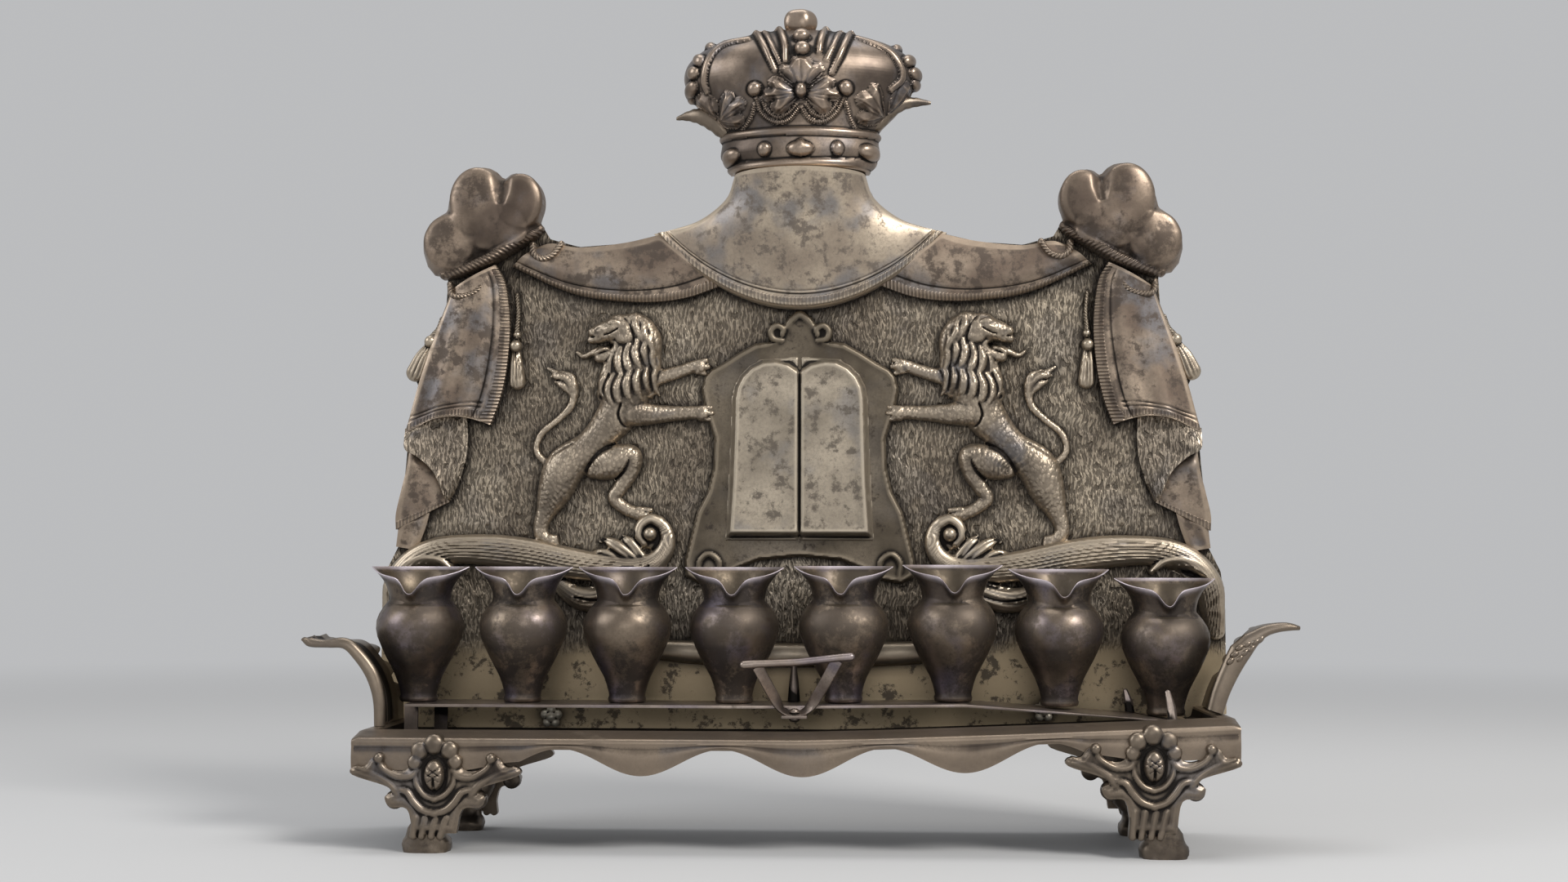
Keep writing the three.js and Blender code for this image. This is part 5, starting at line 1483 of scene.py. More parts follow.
@dataclass
class Drapery:
    """Bib, swags and curtains of the mantle, beaten from the sheet."""

    bib_edge: Pixels = ((899, 219), (888, 247), (857, 272), (822, 284), (799, 289))
    bib_hang: float = 93.0
    bulge: float = 18.0
    swag_top: Pixels = ((806, 290), (760, 300), (706, 305), (672, 300), (652, 305))
    swag_low: Pixels = ((884, 352), (835, 368), (775, 372), (700, 362), (622, 328))
    swag_loop: Pixels = ((648, 302, 4, 14), (650, 313, 4, 17), (660, 320, 4, 18), (674, 315, 4, 17),
                         (684, 301, 4, 14))
    curtain_outer: Pixels = ((548, 356), (541, 374), (524, 420), (508, 470), (498, 508), (491, 534))
    curtain_inner: Pixels = ((602, 326), (614, 350), (620, 400), (617, 450), (609, 490), (597, 523))
    curtain_loop: Pixels = ((545, 350, 3.6, 13), (549, 364, 3.6, 18), (566, 365, 3.6, 19),
                            (582, 357, 3.6, 19), (586, 342, 3.6, 15))
    flap: Fold = Fold(((491, 528), (493, 553), (509, 563), (529, 582), (543, 613)),
                      ((566, 504), (568, 535), (566, 562), (558, 592), (547, 616)), 1.0, 5.2, 0.0)
    fall: Fold = Fold(((496, 549), (494, 575), (487, 605), (481, 632), (481, 651)),
                      ((508, 556), (526, 574), (538, 590), (545, 608), (546, 617)), 0.9, 3.6, hem=0.86)
    tail: Fold = Fold(((484, 640), (483, 655), (481, 672)), ((522, 628), (516, 650), (506, 676)), 1.0, 1.8)

    def bib(self, u: Array, v: Array) -> tuple[Array, ...]:
        """Bib: full at the neck, thin at its fringed hem.

        Args:
            u: Share from left to right.
            v: Share from top to bottom.

        Returns:
            X, Y, Z, and the run and mask of fine lines.
        """
        mirrored = tuple((2 * PLATE.axis - x, y) for x, y in self.bib_edge)
        x, z = between(self.bib_edge, mirrored, u, v, Side.LEFT)
        bow = np.clip(1 - (2 * u - 1) ** 2, 0, 1)
        height = 3.3 + 3 * bow + (self.bulge - 3) * (1 - v) ** 1.3 * np.sqrt(bow)
        z = z - self.bib_hang * PLATE.up * v**1.4 * bow
        hem = v + 0.05 * np.abs(2 * u - 1) ** 6
        height = height - 0.35 * ridge(hem, 0.885, 0.007) - 0.3 * ridge(hem, 0.855, 0.007)
        height = height + 0.35 * soft_step((hem - 0.9) / 0.02) - 1.1 * soft_step((hem - 0.975) / 0.03)
        fringe = soft_step((hem - 0.905) / 0.01) * soft_step((0.99 - hem) / 0.01)
        return x, PLATE.front - height, z, x / BROAD_PITCH, fringe

    def swag(self, side: Side, u: Array, v: Array) -> tuple[Array, ...]:
        """Swag from the bib to the knot, rolled at its fringed lower edge.

        Args:
            side: Left or right.
            u: Share from left to right.
            v: Share from top to bottom.

        Returns:
            X, Y, Z, and the run and mask of fine lines.
        """
        x, z = between(self.swag_top, self.swag_low, u, v, side)
        w = u if side is Side.LEFT else 1 - u
        height = 1.5 + 3.4 * np.sin(np.pi * (0.12 + 0.8 * w)) - 0.3 * ridge(w, 0.8, 0.02)
        height = height + 0.35 * np.sin(9 * w + 3 * v) * v * v
        height = height + 0.5 * ridge(w, 0.93, 0.05)
        fringe = soft_step((w - 0.86) / 0.03)
        return x, PLATE.front - height, z, np.abs(x) / BROAD_PITCH - 0.6 * w, fringe

    def curtain(self, side: Side, u: Array, v: Array) -> tuple[Array, ...]:
        """Smooth hanging panel with a border line and a fringe below and at the inner side.

        Args:
            side: Left or right.
            u: Share from left to right.
            v: Share from top to bottom.

        Returns:
            X, Y, Z, and the run and mask of fine lines.
        """
        x, z = between(self.curtain_outer, self.curtain_inner, u, v, side)
        w = u if side is Side.LEFT else 1 - u
        bow = np.sin(np.pi * w)
        z = z + 15 * PLATE.up * v**4 * bow
        height = 3.0 + 2.9 * bow ** 0.8 + 0.5 * np.cos(6 * np.pi * w) * v * (w < 0.8)
        for line in (0.84, 0.88):
            height = height - 0.3 * ridge(v, line, 0.01) * (w < 0.84)
        height = height - 0.35 * ridge(w, 0.8, 0.025) * soft_step(v / 0.1)
        below = soft_step((v - 0.9) / 0.02) * soft_step((0.995 - v) / 0.01)
        fringe = np.maximum(below, soft_step((w - 0.86) / 0.04))
        run = np.where(w > 0.86, -z / THREAD_PITCH, np.abs(x) / THREAD_PITCH)
        return x, PLATE.front - height, z, run, fringe * soft_step(v / 0.06)

    def hang_loop(self, name: str, row: Pixels, side: Side, material: Material) -> None:
        """Builds a corded loop and hangs it.

        Args:
            name: Name of the piece, without its side.
            row: Stations of its cord.
            side: Left or right.
            material: Its finish.
        """
        loop = ReliefPiece(f"{name}_{side.word}", [Bar(row, hatch=1.2, slant=0.6)], (), side, 0.35)
        hang(loop.build(material), Body.LAMP, "relief_silver")

    def dress(self, finishes: Finishes) -> list[Object]:
        """Builds all the drapery and hangs it.

        Args:
            finishes: All finishes.

        Returns:
            The sheets that shade the backplate.
        """
        bib = sheet_piece("mantle_bib_sheet", finishes.bib, ((150, 120), self.bib))
        hang(bib, Body.LAMP, "relief_silver", "mantle_bib")
        cloths = [bib]
        for side in Side:
            word = side.word
            self.hang_loop("swag_loop", self.swag_loop, side, finishes.drape)
            swag = sheet_piece(f"mantle_swag_{word}", finishes.drape, ((40, 110), partial(self.swag, side)))
            hang(swag, Body.LAMP, "relief_silver", f"swag_{word}")
            fall = sheet_piece(
                f"curtain_fall_{word}", finishes.drape, ((70, 110), partial(self.curtain, side)),
                ((30, 50), partial(self.fall.shape, side)), ((20, 24), partial(self.tail.shape, side)),
            )
            hang(fall, Body.LAMP, "relief_silver", f"curtain_{word}")
            panel = (36, 50), partial(self.flap.shape, side)
            flap = sheet_piece(f"curtain_lining_{word}", finishes.matted, panel)
            hang(flap, Body.LAMP, "relief_silver")
            self.hang_loop("curtain_loop", self.curtain_loop, side, finishes.drape)
            cloths += [swag, fall, flap]
        return cloths


@dataclass
class TabletGroup:
    """Bare double tablets on their flat frame, and the moulding below."""

    frame_left: Pixels = (
        (980, 385), (966, 390), (960, 400), (950, 401), (943, 412), (948, 420), (925, 423), (905, 434),
        (885, 447), (870, 455), (862, 464), (858, 480), (864, 510), (874, 540), (873, 576), (866, 605),
        (853, 630), (845, 662), (838, 690), (840, 708), (855, 716), (880, 712), (905, 698), (930, 688),
        (980, 683),
    )
    tablet_left: Pixels = (
        (980, 454), (968, 446), (950, 442), (934, 443), (918, 451), (906, 463), (899, 477), (896, 492),
        (895, 540), (893, 600), (889, 661), (980, 661),
    )
    curl: Pixels = (
        (958, 420, 3, 5), (947, 418, 3.6, 6), (944, 409, 4, 6), (951, 402, 4, 6), (959, 406, 3.6, 6),
        (958, 413, 3, 6),
    )
    knob: Pixels = ((967, 398, 4, 3), (980, 388, 5, 4), (993, 398, 4, 3))
    volute: Pixels = (
        (858, 708, 3, 4), (857, 690, 3.4, 5), (868, 680, 3.6, 5), (880, 688, 3.6, 5), (882, 702, 3, 4),
    )
    moulding: Pixels = ((815, 797, 13), (870, 800, 15), (980, 802, 15), (1090, 800, 15), (1145, 797, 13))
    ledge: Pixels = ((889, 664), (1071, 664), (1063, 488), (1050, 462), (1030, 443), (980, 440), (930, 443),
                     (910, 462), (897, 488))
    parting: Carving = Carving(((980, 436, 3.4), (980, 550, 3.4), (980, 670, 3.4)), 1.3)

    @staticmethod
    def turned_over(rows: Pixels) -> Pixels:
        """Rows mirrored about the middle of the plate."""
        return tuple((2 * PLATE.axis - x, *rest) for x, *rest in rows)

    def pieces(self) -> dict[str, ReliefPiece]:
        """Reliefs of the frame, the tablets and the moulding.

        Returns:
            The reliefs, by the solid that each stands for.
        """
        outline = (*self.frame_left, *reversed(self.turned_over(self.frame_left[1:-1])))
        frame_forms: list[Form] = [Tablet(outline, 1.35, 1.0, 0.25, 0.3)]
        for curl in (self.curl, self.volute):
            frame_forms += [Bar(curl), Bar(self.turned_over(curl))]
        frame_forms.append(Bar(self.knob, 0.9))
        ledge = Tablet(self.ledge, 0.6, 0.5, 1.6)
        pair = Tablet((*self.tablet_left, *reversed(self.turned_over(self.tablet_left))), 3.7, 2.1, 1.8, 0.35)
        return {
            "tablet_frame": ReliefPiece("tablet_frame_plate", frame_forms, (), cell=0.5, blend=0.5),
            "tablets": ReliefPiece("tablets_pair", [ledge, pair], (self.parting,), cell=0.4, blend=0.2),
            "base_moulding": ReliefPiece("base_moulding_roll", [Bar(self.moulding, 0.9)], (), cell=0.5),
        }


@dataclass
class Rosettes:
    """Rosette-headed screws that hold the backplate."""

    pixels: tuple[float, float] = (675.0, 1277.0)
    nodes: tuple[str, str] = ("rosette_screw_left", "rosette_screw_right")
    petals: int = 5
    petal_circle: float = 8.4
    petal: float = 5.4
    middle: float = 6.5

    def pieces(self) -> dict[str, ReliefPiece]:
        """Reliefs of the screws.

        Returns:
            The reliefs, by the solid that each stands for.
        """
        made = {}
        for pixel, node in zip(self.pixels, self.nodes):
            low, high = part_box(node)
            z = (low.z + high.z) / 2 / MM
            py = PLATE.foot_pixel - (z - PLATE.foot) / PLATE.up
            forms: list[Form] = [Lump(pixel, py, self.middle, self.middle, 2)]
            for i in range(self.petals):
                turn = 2 * math.pi * (i + 0.25) / self.petals
                across, up = self.petal_circle * math.cos(turn), self.petal_circle * math.sin(turn)
                forms.append(Lump(pixel + across, py - up, self.petal, self.petal, 1, 0.95))
            made[node] = ReliefPiece(f"{node}_head", forms, (), cell=0.3, blend=0.4)
        return made


@dataclass
class Backplate:
    """Backplate's sheet, chased on the front."""

    left: Pixels = (
        (980, 40), (930, 46), (880, 62), (858, 95), (862, 140), (880, 160), (897, 180), (899, 225),
        (885, 251), (855, 273), (806, 288), (760, 299), (705, 303), (668, 293), (654, 270), (650, 245),
        (625, 226), (590, 216), (562, 235), (538, 270), (520, 315), (540, 342), (538, 380), (520, 415),
        (500, 465), (507, 480), (494, 520), (490, 575), (483, 640), (484, 668), (468, 700), (463, 745),
        (463, 800),
    )
    shoulder_left: Pixels = ((463, 878), (485, 880))
    shoulder_right: Pixels = ((1475, 872), (1497, 870))
    cell: float = 1.15
    back: float = 30.0
    shade_reach: float = 1.7
    sunk: float = 0.85
    sink_edge: float = 1.6
    sink_reach: float = 1.2
    cloth_reach: float = 1.7
    cloth_shade: float = 0.8
    foot_gap: float = 0.1
    rise: float = 0.12
    weld: float = 1e-7

    def build(self, material: Material, reliefs: Sequence[ReliefPiece], cloths: Sequence[Object]) -> Object:
        """Cuts the sheet from a grid and marks where it lies in the shade of the ornament.

        Args:
            material: Finish of the sheet.
            reliefs: Ornament that shades it.
            cloths: Draperies that shade it.

        Returns:
            The piece.
        """
        low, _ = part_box("backplate")
        foot = PLATE.foot_pixel - (low.z / MM + self.foot_gap - PLATE.foot) / PLATE.up
        right = tuple((2 * PLATE.axis - x, y) for x, y in reversed(self.left[1:]))
        corners = ((self.shoulder_left[-1][0], foot), (self.shoulder_right[0][0], foot))
        outline = (*self.left, *self.shoulder_left, *corners, *self.shoulder_right, *right)
        bm = ReliefPiece("backplate_sheet", [Tablet(outline, self.rise, 1.5)], (), cell=self.cell).front()
        spots = np.array([v.co[:] for v in bm.verts]) / MM
        inside = np.full(len(spots), FAR)
        for relief in reliefs:
            inside = np.maximum(inside, relief.sample(spots[:, 0], spots[:, 2]).inside)
        hems = [v.co for cloth in cloths for v in cloth.data.vertices]
        tree = kdtree.KDTree(len(hems))
        for i, spot in enumerate(hems):
            tree.insert((spot.x, 0, spot.z), i)
        tree.balance()
        away = np.array([tree.find((x * MM, 0, z * MM))[2] for x, _, z in spots]) / MM
        hollow = soft_step(inside / self.sink_edge)
        hollow = np.maximum(hollow, soft_step((self.cloth_reach - away) / self.sink_reach))
        hollow = self.sunk * np.maximum(hollow, Crown().hollow(spots[:, 0], spots[:, 2]))
        inside = np.maximum(inside, self.cloth_shade - away)
        layer, behind = bm.verts.layers.float.new("shade"), bm.verts.layers.float.new("behind")
        for v, depth in zip(bm.verts, inside):
            v.co.y += self.rise * MM
            v[layer] = math.exp(min(max(depth, FAR), 0.0) / self.shade_reach)
        border, sheet = [e for e in bm.edges if e.is_boundary], list(bm.verts)
        copied = bmesh.ops.duplicate(bm, geom=[*bm.verts, *bm.edges, *bm.faces])["vert_map"]
        rear = {copied[v]: depth for v, depth in zip(sheet, hollow)}
        drawn = bmesh.ops.extrude_edge_only(bm, edges=border)["geom"]
        for v in (item for item in drawn if isinstance(item, bmesh.types.BMVert)):
            v.co.y, v[behind] = self.back * MM, 1.0
        for v, depth in rear.items():
            v.co.y = (self.back - (0.0 if v.is_boundary else depth)) * MM
            v[layer], v[behind] = 0.0, 1.0
        bmesh.ops.remove_doubles(bm, verts=bm.verts, dist=self.weld)
        bmesh.ops.recalc_face_normals(bm, faces=bm.faces)
        return new_object("backplate_sheet", bm, material)


@dataclass
class Crown:
    """Swelling crown over the backplate, with circlet, leaf crest, arches and orb."""

    half: float = 40.0
    high: float = 49.0
    bulge: float = 18.0
    foot_pixel: float = 216.5
    sizes: Pixels = (
        (0, 0.585, 0.93), (0.05, 0.6, 0.95), (0.12, 0.68, 1), (0.22, 0.67, 1), (0.3, 0.68, 1),
        (0.42, 0.82, 1.12), (0.55, 0.94, 1.2), (0.68, 1, 1.22), (0.8, 0.95, 1.12), (0.9, 0.78, 0.9),
        (0.97, 0.5, 0.6), (1, 0.28, 0.4),
    )
    circlet: tuple[Pixels, ...] = (
        ((884, 170, 5), (920, 163, 5), (980, 160, 5), (1040, 163, 5), (1078, 171, 5)),
        ((894, 209, 6), (925, 203, 6), (980, 200, 6), (1038, 201, 6), (1072, 206, 6)),
        ((900, 215, 3), (930, 210, 3), (980, 207, 3), (1036, 208, 3), (1070, 213, 3)),
    )
    studs: tuple[tuple[float, ...], ...] = (
        (980, 182, 16, 9, 0, 0.7), (980, 181, 7, 10, 1, 0.9), (935, 182.5, 8, 8.5, 0, 0.9),
        (1026, 182, 7.5, 8.5, 0, 0.9), (894, 192, 11, 9, 0, 0.8), (1065, 187, 12, 9, 0, 0.8),
        (923, 107.5, 8.5, 8.5, 1), (1036, 107.5, 8.5, 8.5, 1), (981, 44, 10, 6.5, 3), (982, 59, 9, 7.5, 3),
        (981, 31, 12, 4, 2, 0.8), (980.5, 109, 6, 7.5, 8, 0.9),
    )
    arch_beads: tuple[tuple[float, ...], ...] = (
        (899, 42, 6.5, 5), (884, 47, 6.5, 6), (867, 56, 7.5, 7), (854, 72, 7.5, 8), (847, 87, 7, 8),
        (845, 107, 8, 9), (842, 124, 7, 7), (1067, 38, 6.5, 5), (1086, 46, 6.5, 6), (1102, 59, 7.5, 7),
        (1114, 75, 7.5, 8), (1122, 91, 7, 8), (1124, 108, 7, 8),
    )
    scallops: tuple[Pixels, ...] = (
        ((925, 119, 2.6), (932, 138, 2.6), (948, 149, 2.6), (964, 147, 2.6), (978, 131, 2.6)),
        ((981, 131, 2.6), (992, 146, 2.6), (1008, 149, 2.6), (1024, 139, 2.6), (1034, 119, 2.6)),
        ((923, 127, 2.4), (918, 144, 2.4), (908, 158, 2.4)),
        ((1037, 127, 2.4), (1042, 146, 2.4), (1050, 160, 2.4)),
        ((931, 119, 2.2), (938, 134, 2.2), (951, 143, 2.2), (965, 138, 2.2), (975, 127, 2.2)),
        ((987, 127, 2.2), (996, 138, 2.2), (1009, 143, 2.2), (1021, 133, 2.2), (1029, 119, 2.2)),
    )
    petals: tuple[Pixels, ...] = (
        ((978, 107), (967, 98), (957, 91), (952, 83), (957, 76), (965, 76), (971, 69), (980, 66), (990, 69),
         (996, 76), (1004, 76), (1009, 84), (1003, 92), (994, 99), (984, 107)),
        ((977, 110), (966, 103), (957, 95), (947, 92), (940, 98), (943, 106), (933, 109), (931, 118),
         (938, 123), (946, 122), (943, 131), (948, 139), (958, 140), (965, 133), (971, 124), (977, 116)),
        ((985, 110), (996, 103), (1005, 95), (1014, 92), (1022, 98), (1020, 106), (1030, 109), (1032, 118),
         (1025, 123), (1016, 122), (1019, 131), (1013, 139), (1004, 140), (997, 133), (991, 124), (985, 116)),
        ((878, 146), (879, 130), (881, 118), (887, 110), (895, 112), (898, 119), (906, 118), (912, 124),
         (909, 132), (903, 137), (910, 143), (909, 151), (901, 157), (891, 156), (883, 152)),
        ((874, 145), (862, 135), (852, 126), (850, 117), (858, 111), (867, 115), (876, 122), (879, 133)),
        ((1084, 143), (1082, 128), (1081, 115), (1076, 103), (1068, 103), (1063, 111), (1055, 113),
         (1048, 119), (1051, 128), (1058, 134), (1050, 141), (1052, 150), (1061, 154), (1071, 153),
         (1079, 149)),
        ((1089, 140), (1091, 124), (1097, 111), (1104, 101), (1113, 100), (1118, 107), (1115, 118),
         (1107, 129), (1098, 137)),
    )
    roots: Pixels = ((981, 112), (981, 113), (981, 113), (880, 146), (878, 144), (1083, 143), (1088, 140))
    ribs: tuple[Pixels, ...] = (
        ((921, 34, 3, 2), (936, 58, 3.4, 3), (948, 84, 3, 1)),
        ((931, 31, 2.4, 1), (944, 55, 2.6, 1), (954, 76, 2.4, 0)),
        ((952, 31, 3, 3), (960, 52, 3.4, 4), (961, 73, 3, 2)),
        ((1047, 34, 3, 2), (1032, 60, 3.6, 3), (1019, 88, 3, 1)),
        ((1034, 33, 2.4, 1), (1022, 52, 2.6, 1), (1012, 72, 2.4, 0)),
        ((1012, 36, 3, 3), (1005, 50, 3.4, 4), (1003, 62, 3, 2)),
        ((915, 46, 3, 1), (884, 53, 3.4, 2), (866, 70, 3.4, 2), (860, 95, 3.4, 2), (864, 111, 3, 1)),
        ((1050, 46, 3, 1), (1086, 60, 3.4, 2), (1103, 80, 3.4, 2), (1105, 97, 3.4, 2), (1092, 110, 3, 1)),
    )
    tips: tuple[Pixels, ...] = (
        ((896, 166, 9, 5), (881, 156, 14, 5), (866, 146, 13, 4.5), (852, 141, 10, 4), (838, 141, 6, 3),
         (825, 144, 2, 2.5)),
        ((1067, 155, 9, 5), (1081, 147, 13, 5), (1095, 135, 10.5, 4.5), (1109, 128, 8, 4), (1124, 126, 6, 3),
         (1142, 127, 2, 2.5)),
    )
    plate_gap: float = 0.3
    hollow_fade: float = 2.0
    relief_floor: float = 0.6
    orb_sink: float = 1.6
    orb_stretch: float = 0.3

    @property
    def foot(self) -> float:
        """Height of the crown's lower edge."""
        return PLATE.foot + (PLATE.foot_pixel - self.foot_pixel) * PLATE.up

    def size_at(self, z: Array) -> tuple[Array, Array]:
        """Half width and bulge at a height.

        Args:
            z: Height in millimetres.

        Returns:
            Half width and bulge in millimetres.
        """
        share = np.clip((z - self.foot) / self.high, 0, 1)
        at, wide, bulge = smooth_line(self.sizes, 6).T
        return self.half * np.interp(share, at, wide), self.bulge * np.interp(share, at, bulge)

    def depth_at(self, x: Array, z: Array) -> Array:
        """Distance of the cap's surface from the plate."""
        wide, bulge = self.size_at(z)
        return self.plate_gap + bulge * np.sqrt(np.clip(1 - (x / wide) ** 2, 0, 1))

    def hollow(self, x: Array, z: Array) -> Array:
        """Share to which the plate is hollow behind the crown.

        Args:
            x: X of the places in millimetres.
            z: Z of the places in millimetres.

        Returns:
            The share, from 0 to 1.
        """
        wide, _ = self.size_at(z)
        edge = self.hollow_fade
        over = soft_step((z - self.foot - edge) / edge)
        under = soft_step((self.foot + self.high - edge - z) / edge)
        return soft_step((0.9 * wide - np.abs(x)) / edge) * over * under

    def seen(self, rows: Pixels) -> Pixels:
        """Finds stations on the plate behind stations seen on the cap.

        Args:
            rows: Stations seen in front, their place first.

        Returns:
            The stations behind them.
        """
        found = []
        for px, py, *rest in rows:
            x, z = PLATE.place(px, py)
            here = x, z
            for _ in range(4):
                here = PLATE.nearer(x, z, float(self.depth_at(*here)))
            found.append((*PLATE.pixel(*here), *rest))
        return tuple(found)

    def ornament(self) -> ReliefPiece:
        """Shapes everything raised on the cap.

        Returns:
            The relief.
        """
        rows = [Bar(self.seen(row), 0.9) for row in (*self.circlet, *self.ribs)]
        rows += [Bar(self.seen(row), hatch=0.7) for row in self.scallops]
        rows += [Tablet(self.seen(row), 1.5, 2.3, 0.5) for row in self.petals]
        rows += [Lump(*self.seen((row,))[0]) for row in self.studs]
        rows += [Lump(*self.seen((row,))[0], 1, 0.9) for row in self.arch_beads]
        cuts = []
        for (root_x, root_y), row in zip(self.roots, self.petals):
            for x, y in row[1:-1:2]:
                shares = (0.2, 0.5, 0.85)
                ray = tuple((root_x + (x - root_x) * t, root_y + (y - root_y) * t, 1.6) for t in shares)
                cuts.append(Carving(self.seen(ray), 0.24))
        return ReliefPiece("crown_ornament", rows, cuts, blend=0.35)

    def surface(self, turn: Array, z: Array) -> Array:
        """Points of the plain cap.

        Args:
            turn: Angles from the front, in radians.
            z: Heights in millimetres.

        Returns:
            Rows of X, Y and Z.
        """
        wide, bulge = self.size_at(z)
        return np.column_stack([wide * np.sin(turn), PLATE.front - self.plate_gap - bulge * np.cos(turn), z])

    def dressed_surface(self, ornament: ReliefPiece, u: Array, v: Array) -> tuple[Array, ...]:
        """Cap raised by its ornament, as add_sheet takes it.

        Args:
            ornament: Everything raised on the cap.
            u: Share from left to right.
            v: Share from top to bottom.

        Returns:
            X, Y, Z, and the run and mask of fine lines.
        """
        turn, z = (u - 0.5) * np.pi, self.foot + (1 - v) * self.high
        base = self.surface(turn, z)
        around = self.surface(turn + 0.01, z) - self.surface(turn - 0.01, z)
        upward = self.surface(turn, z + 0.3) - self.surface(turn, z - 0.3)
        out = np.cross(around, upward)
        out /= np.maximum(np.linalg.norm(out, axis=1), 1e-9)[:, None]
        found = ornament.sample(base[:, 0], base[:, 2])
        floor = self.relief_floor
        rise = np.clip(found.height, -floor, None) + floor
        rise = np.where(found.inside > -1.5, 0.5 * (rise + np.sqrt(rise * rise + 0.05)) - 0.1, 0.0)
        edge = np.clip((0.5 - np.abs(u - 0.5)) / 0.02, 0, 1)
        base += out * np.clip(rise - floor * (rise > floor), 0, None)[:, None] * edge[:, None]
        y = np.minimum(base[:, 1], PLATE.front - 0.2)
        return base[:, 0], y, base[:, 2], found.lines_at, found.lines_on * (found.inside > 0)

    def tip(self, side: Side, material: Material) -> Object:
        """Leaf tip that stands out at one side.

        Args:
            side: Left or right.
            material: Its finish.

        Returns:
            The piece.
        """
        stations = []
        for px, py, radius, depth in self.tips[side is Side.RIGHT]:
            x, z = PLATE.nearer(*PLATE.place(px, py), depth)
            stations.append((x, PLATE.front - depth, z, radius * PLATE.across))
        rings = []
        for i, (x, y, z, radius) in enumerate(smooth_line(stations, 6)):
            wide = np.array([0, -0.65 * radius, 0])
            high = np.array([0, 0, 0.97 * radius * (1 + 0.05 * math.sin(1.6 * i))])
            rings.append(round_ring(np.array([x, y, z]), wide, high, 24))
        return new_object(f"crown_leaf_tip_{side.word}", sweep(rings), material)

    def orb(self, material: Material) -> Object:
        """Flattened, lobed ball on top.

        Args:
            material: Its finish.

        Returns:
            The piece.
        """
        low, high = (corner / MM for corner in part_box("crown_orb"))
        centre = (low + high) / 2
        centre.z -= self.orb_sink
        wide, deep, tall = (high - low) / 2
        tall += self.orb_stretch
        bm = bmesh.new()
        bmesh.ops.create_uvsphere(bm, u_segments=40, v_segments=24, radius=1.0)
        for v in bm.verts:
            x, y, z = v.co
            lobe = 1.0
            if abs(z) < 0.999:
                lobe = (1 + 0.05 * math.cos(5 * math.atan2(y, x))) * (1 - z**2) ** -0.18
            v.co = Vector((centre.x + wide * x * lobe, centre.y + deep * y * lobe, centre.z + tall * z)) * MM
        return new_object("crown_orb_ball", bm, material)

    def dress(self, finishes: Finishes) -> None:
        """Builds the crown and sets it on the plate.

        Args:
            finishes: All finishes.
        """
        panel = (300, 190), partial(self.dressed_surface, self.ornament())
        cap = sheet_piece("crown_cap", finishes.crown, panel)
        hang(cap, Body.LAMP, "relief_silver", "crown")
        for side in Side:
            hang(self.tip(side, finishes.cast), Body.LAMP, "relief_silver")
        hang(self.orb(finishes.crown), Body.LAMP, "relief_silver", "crown_orb")


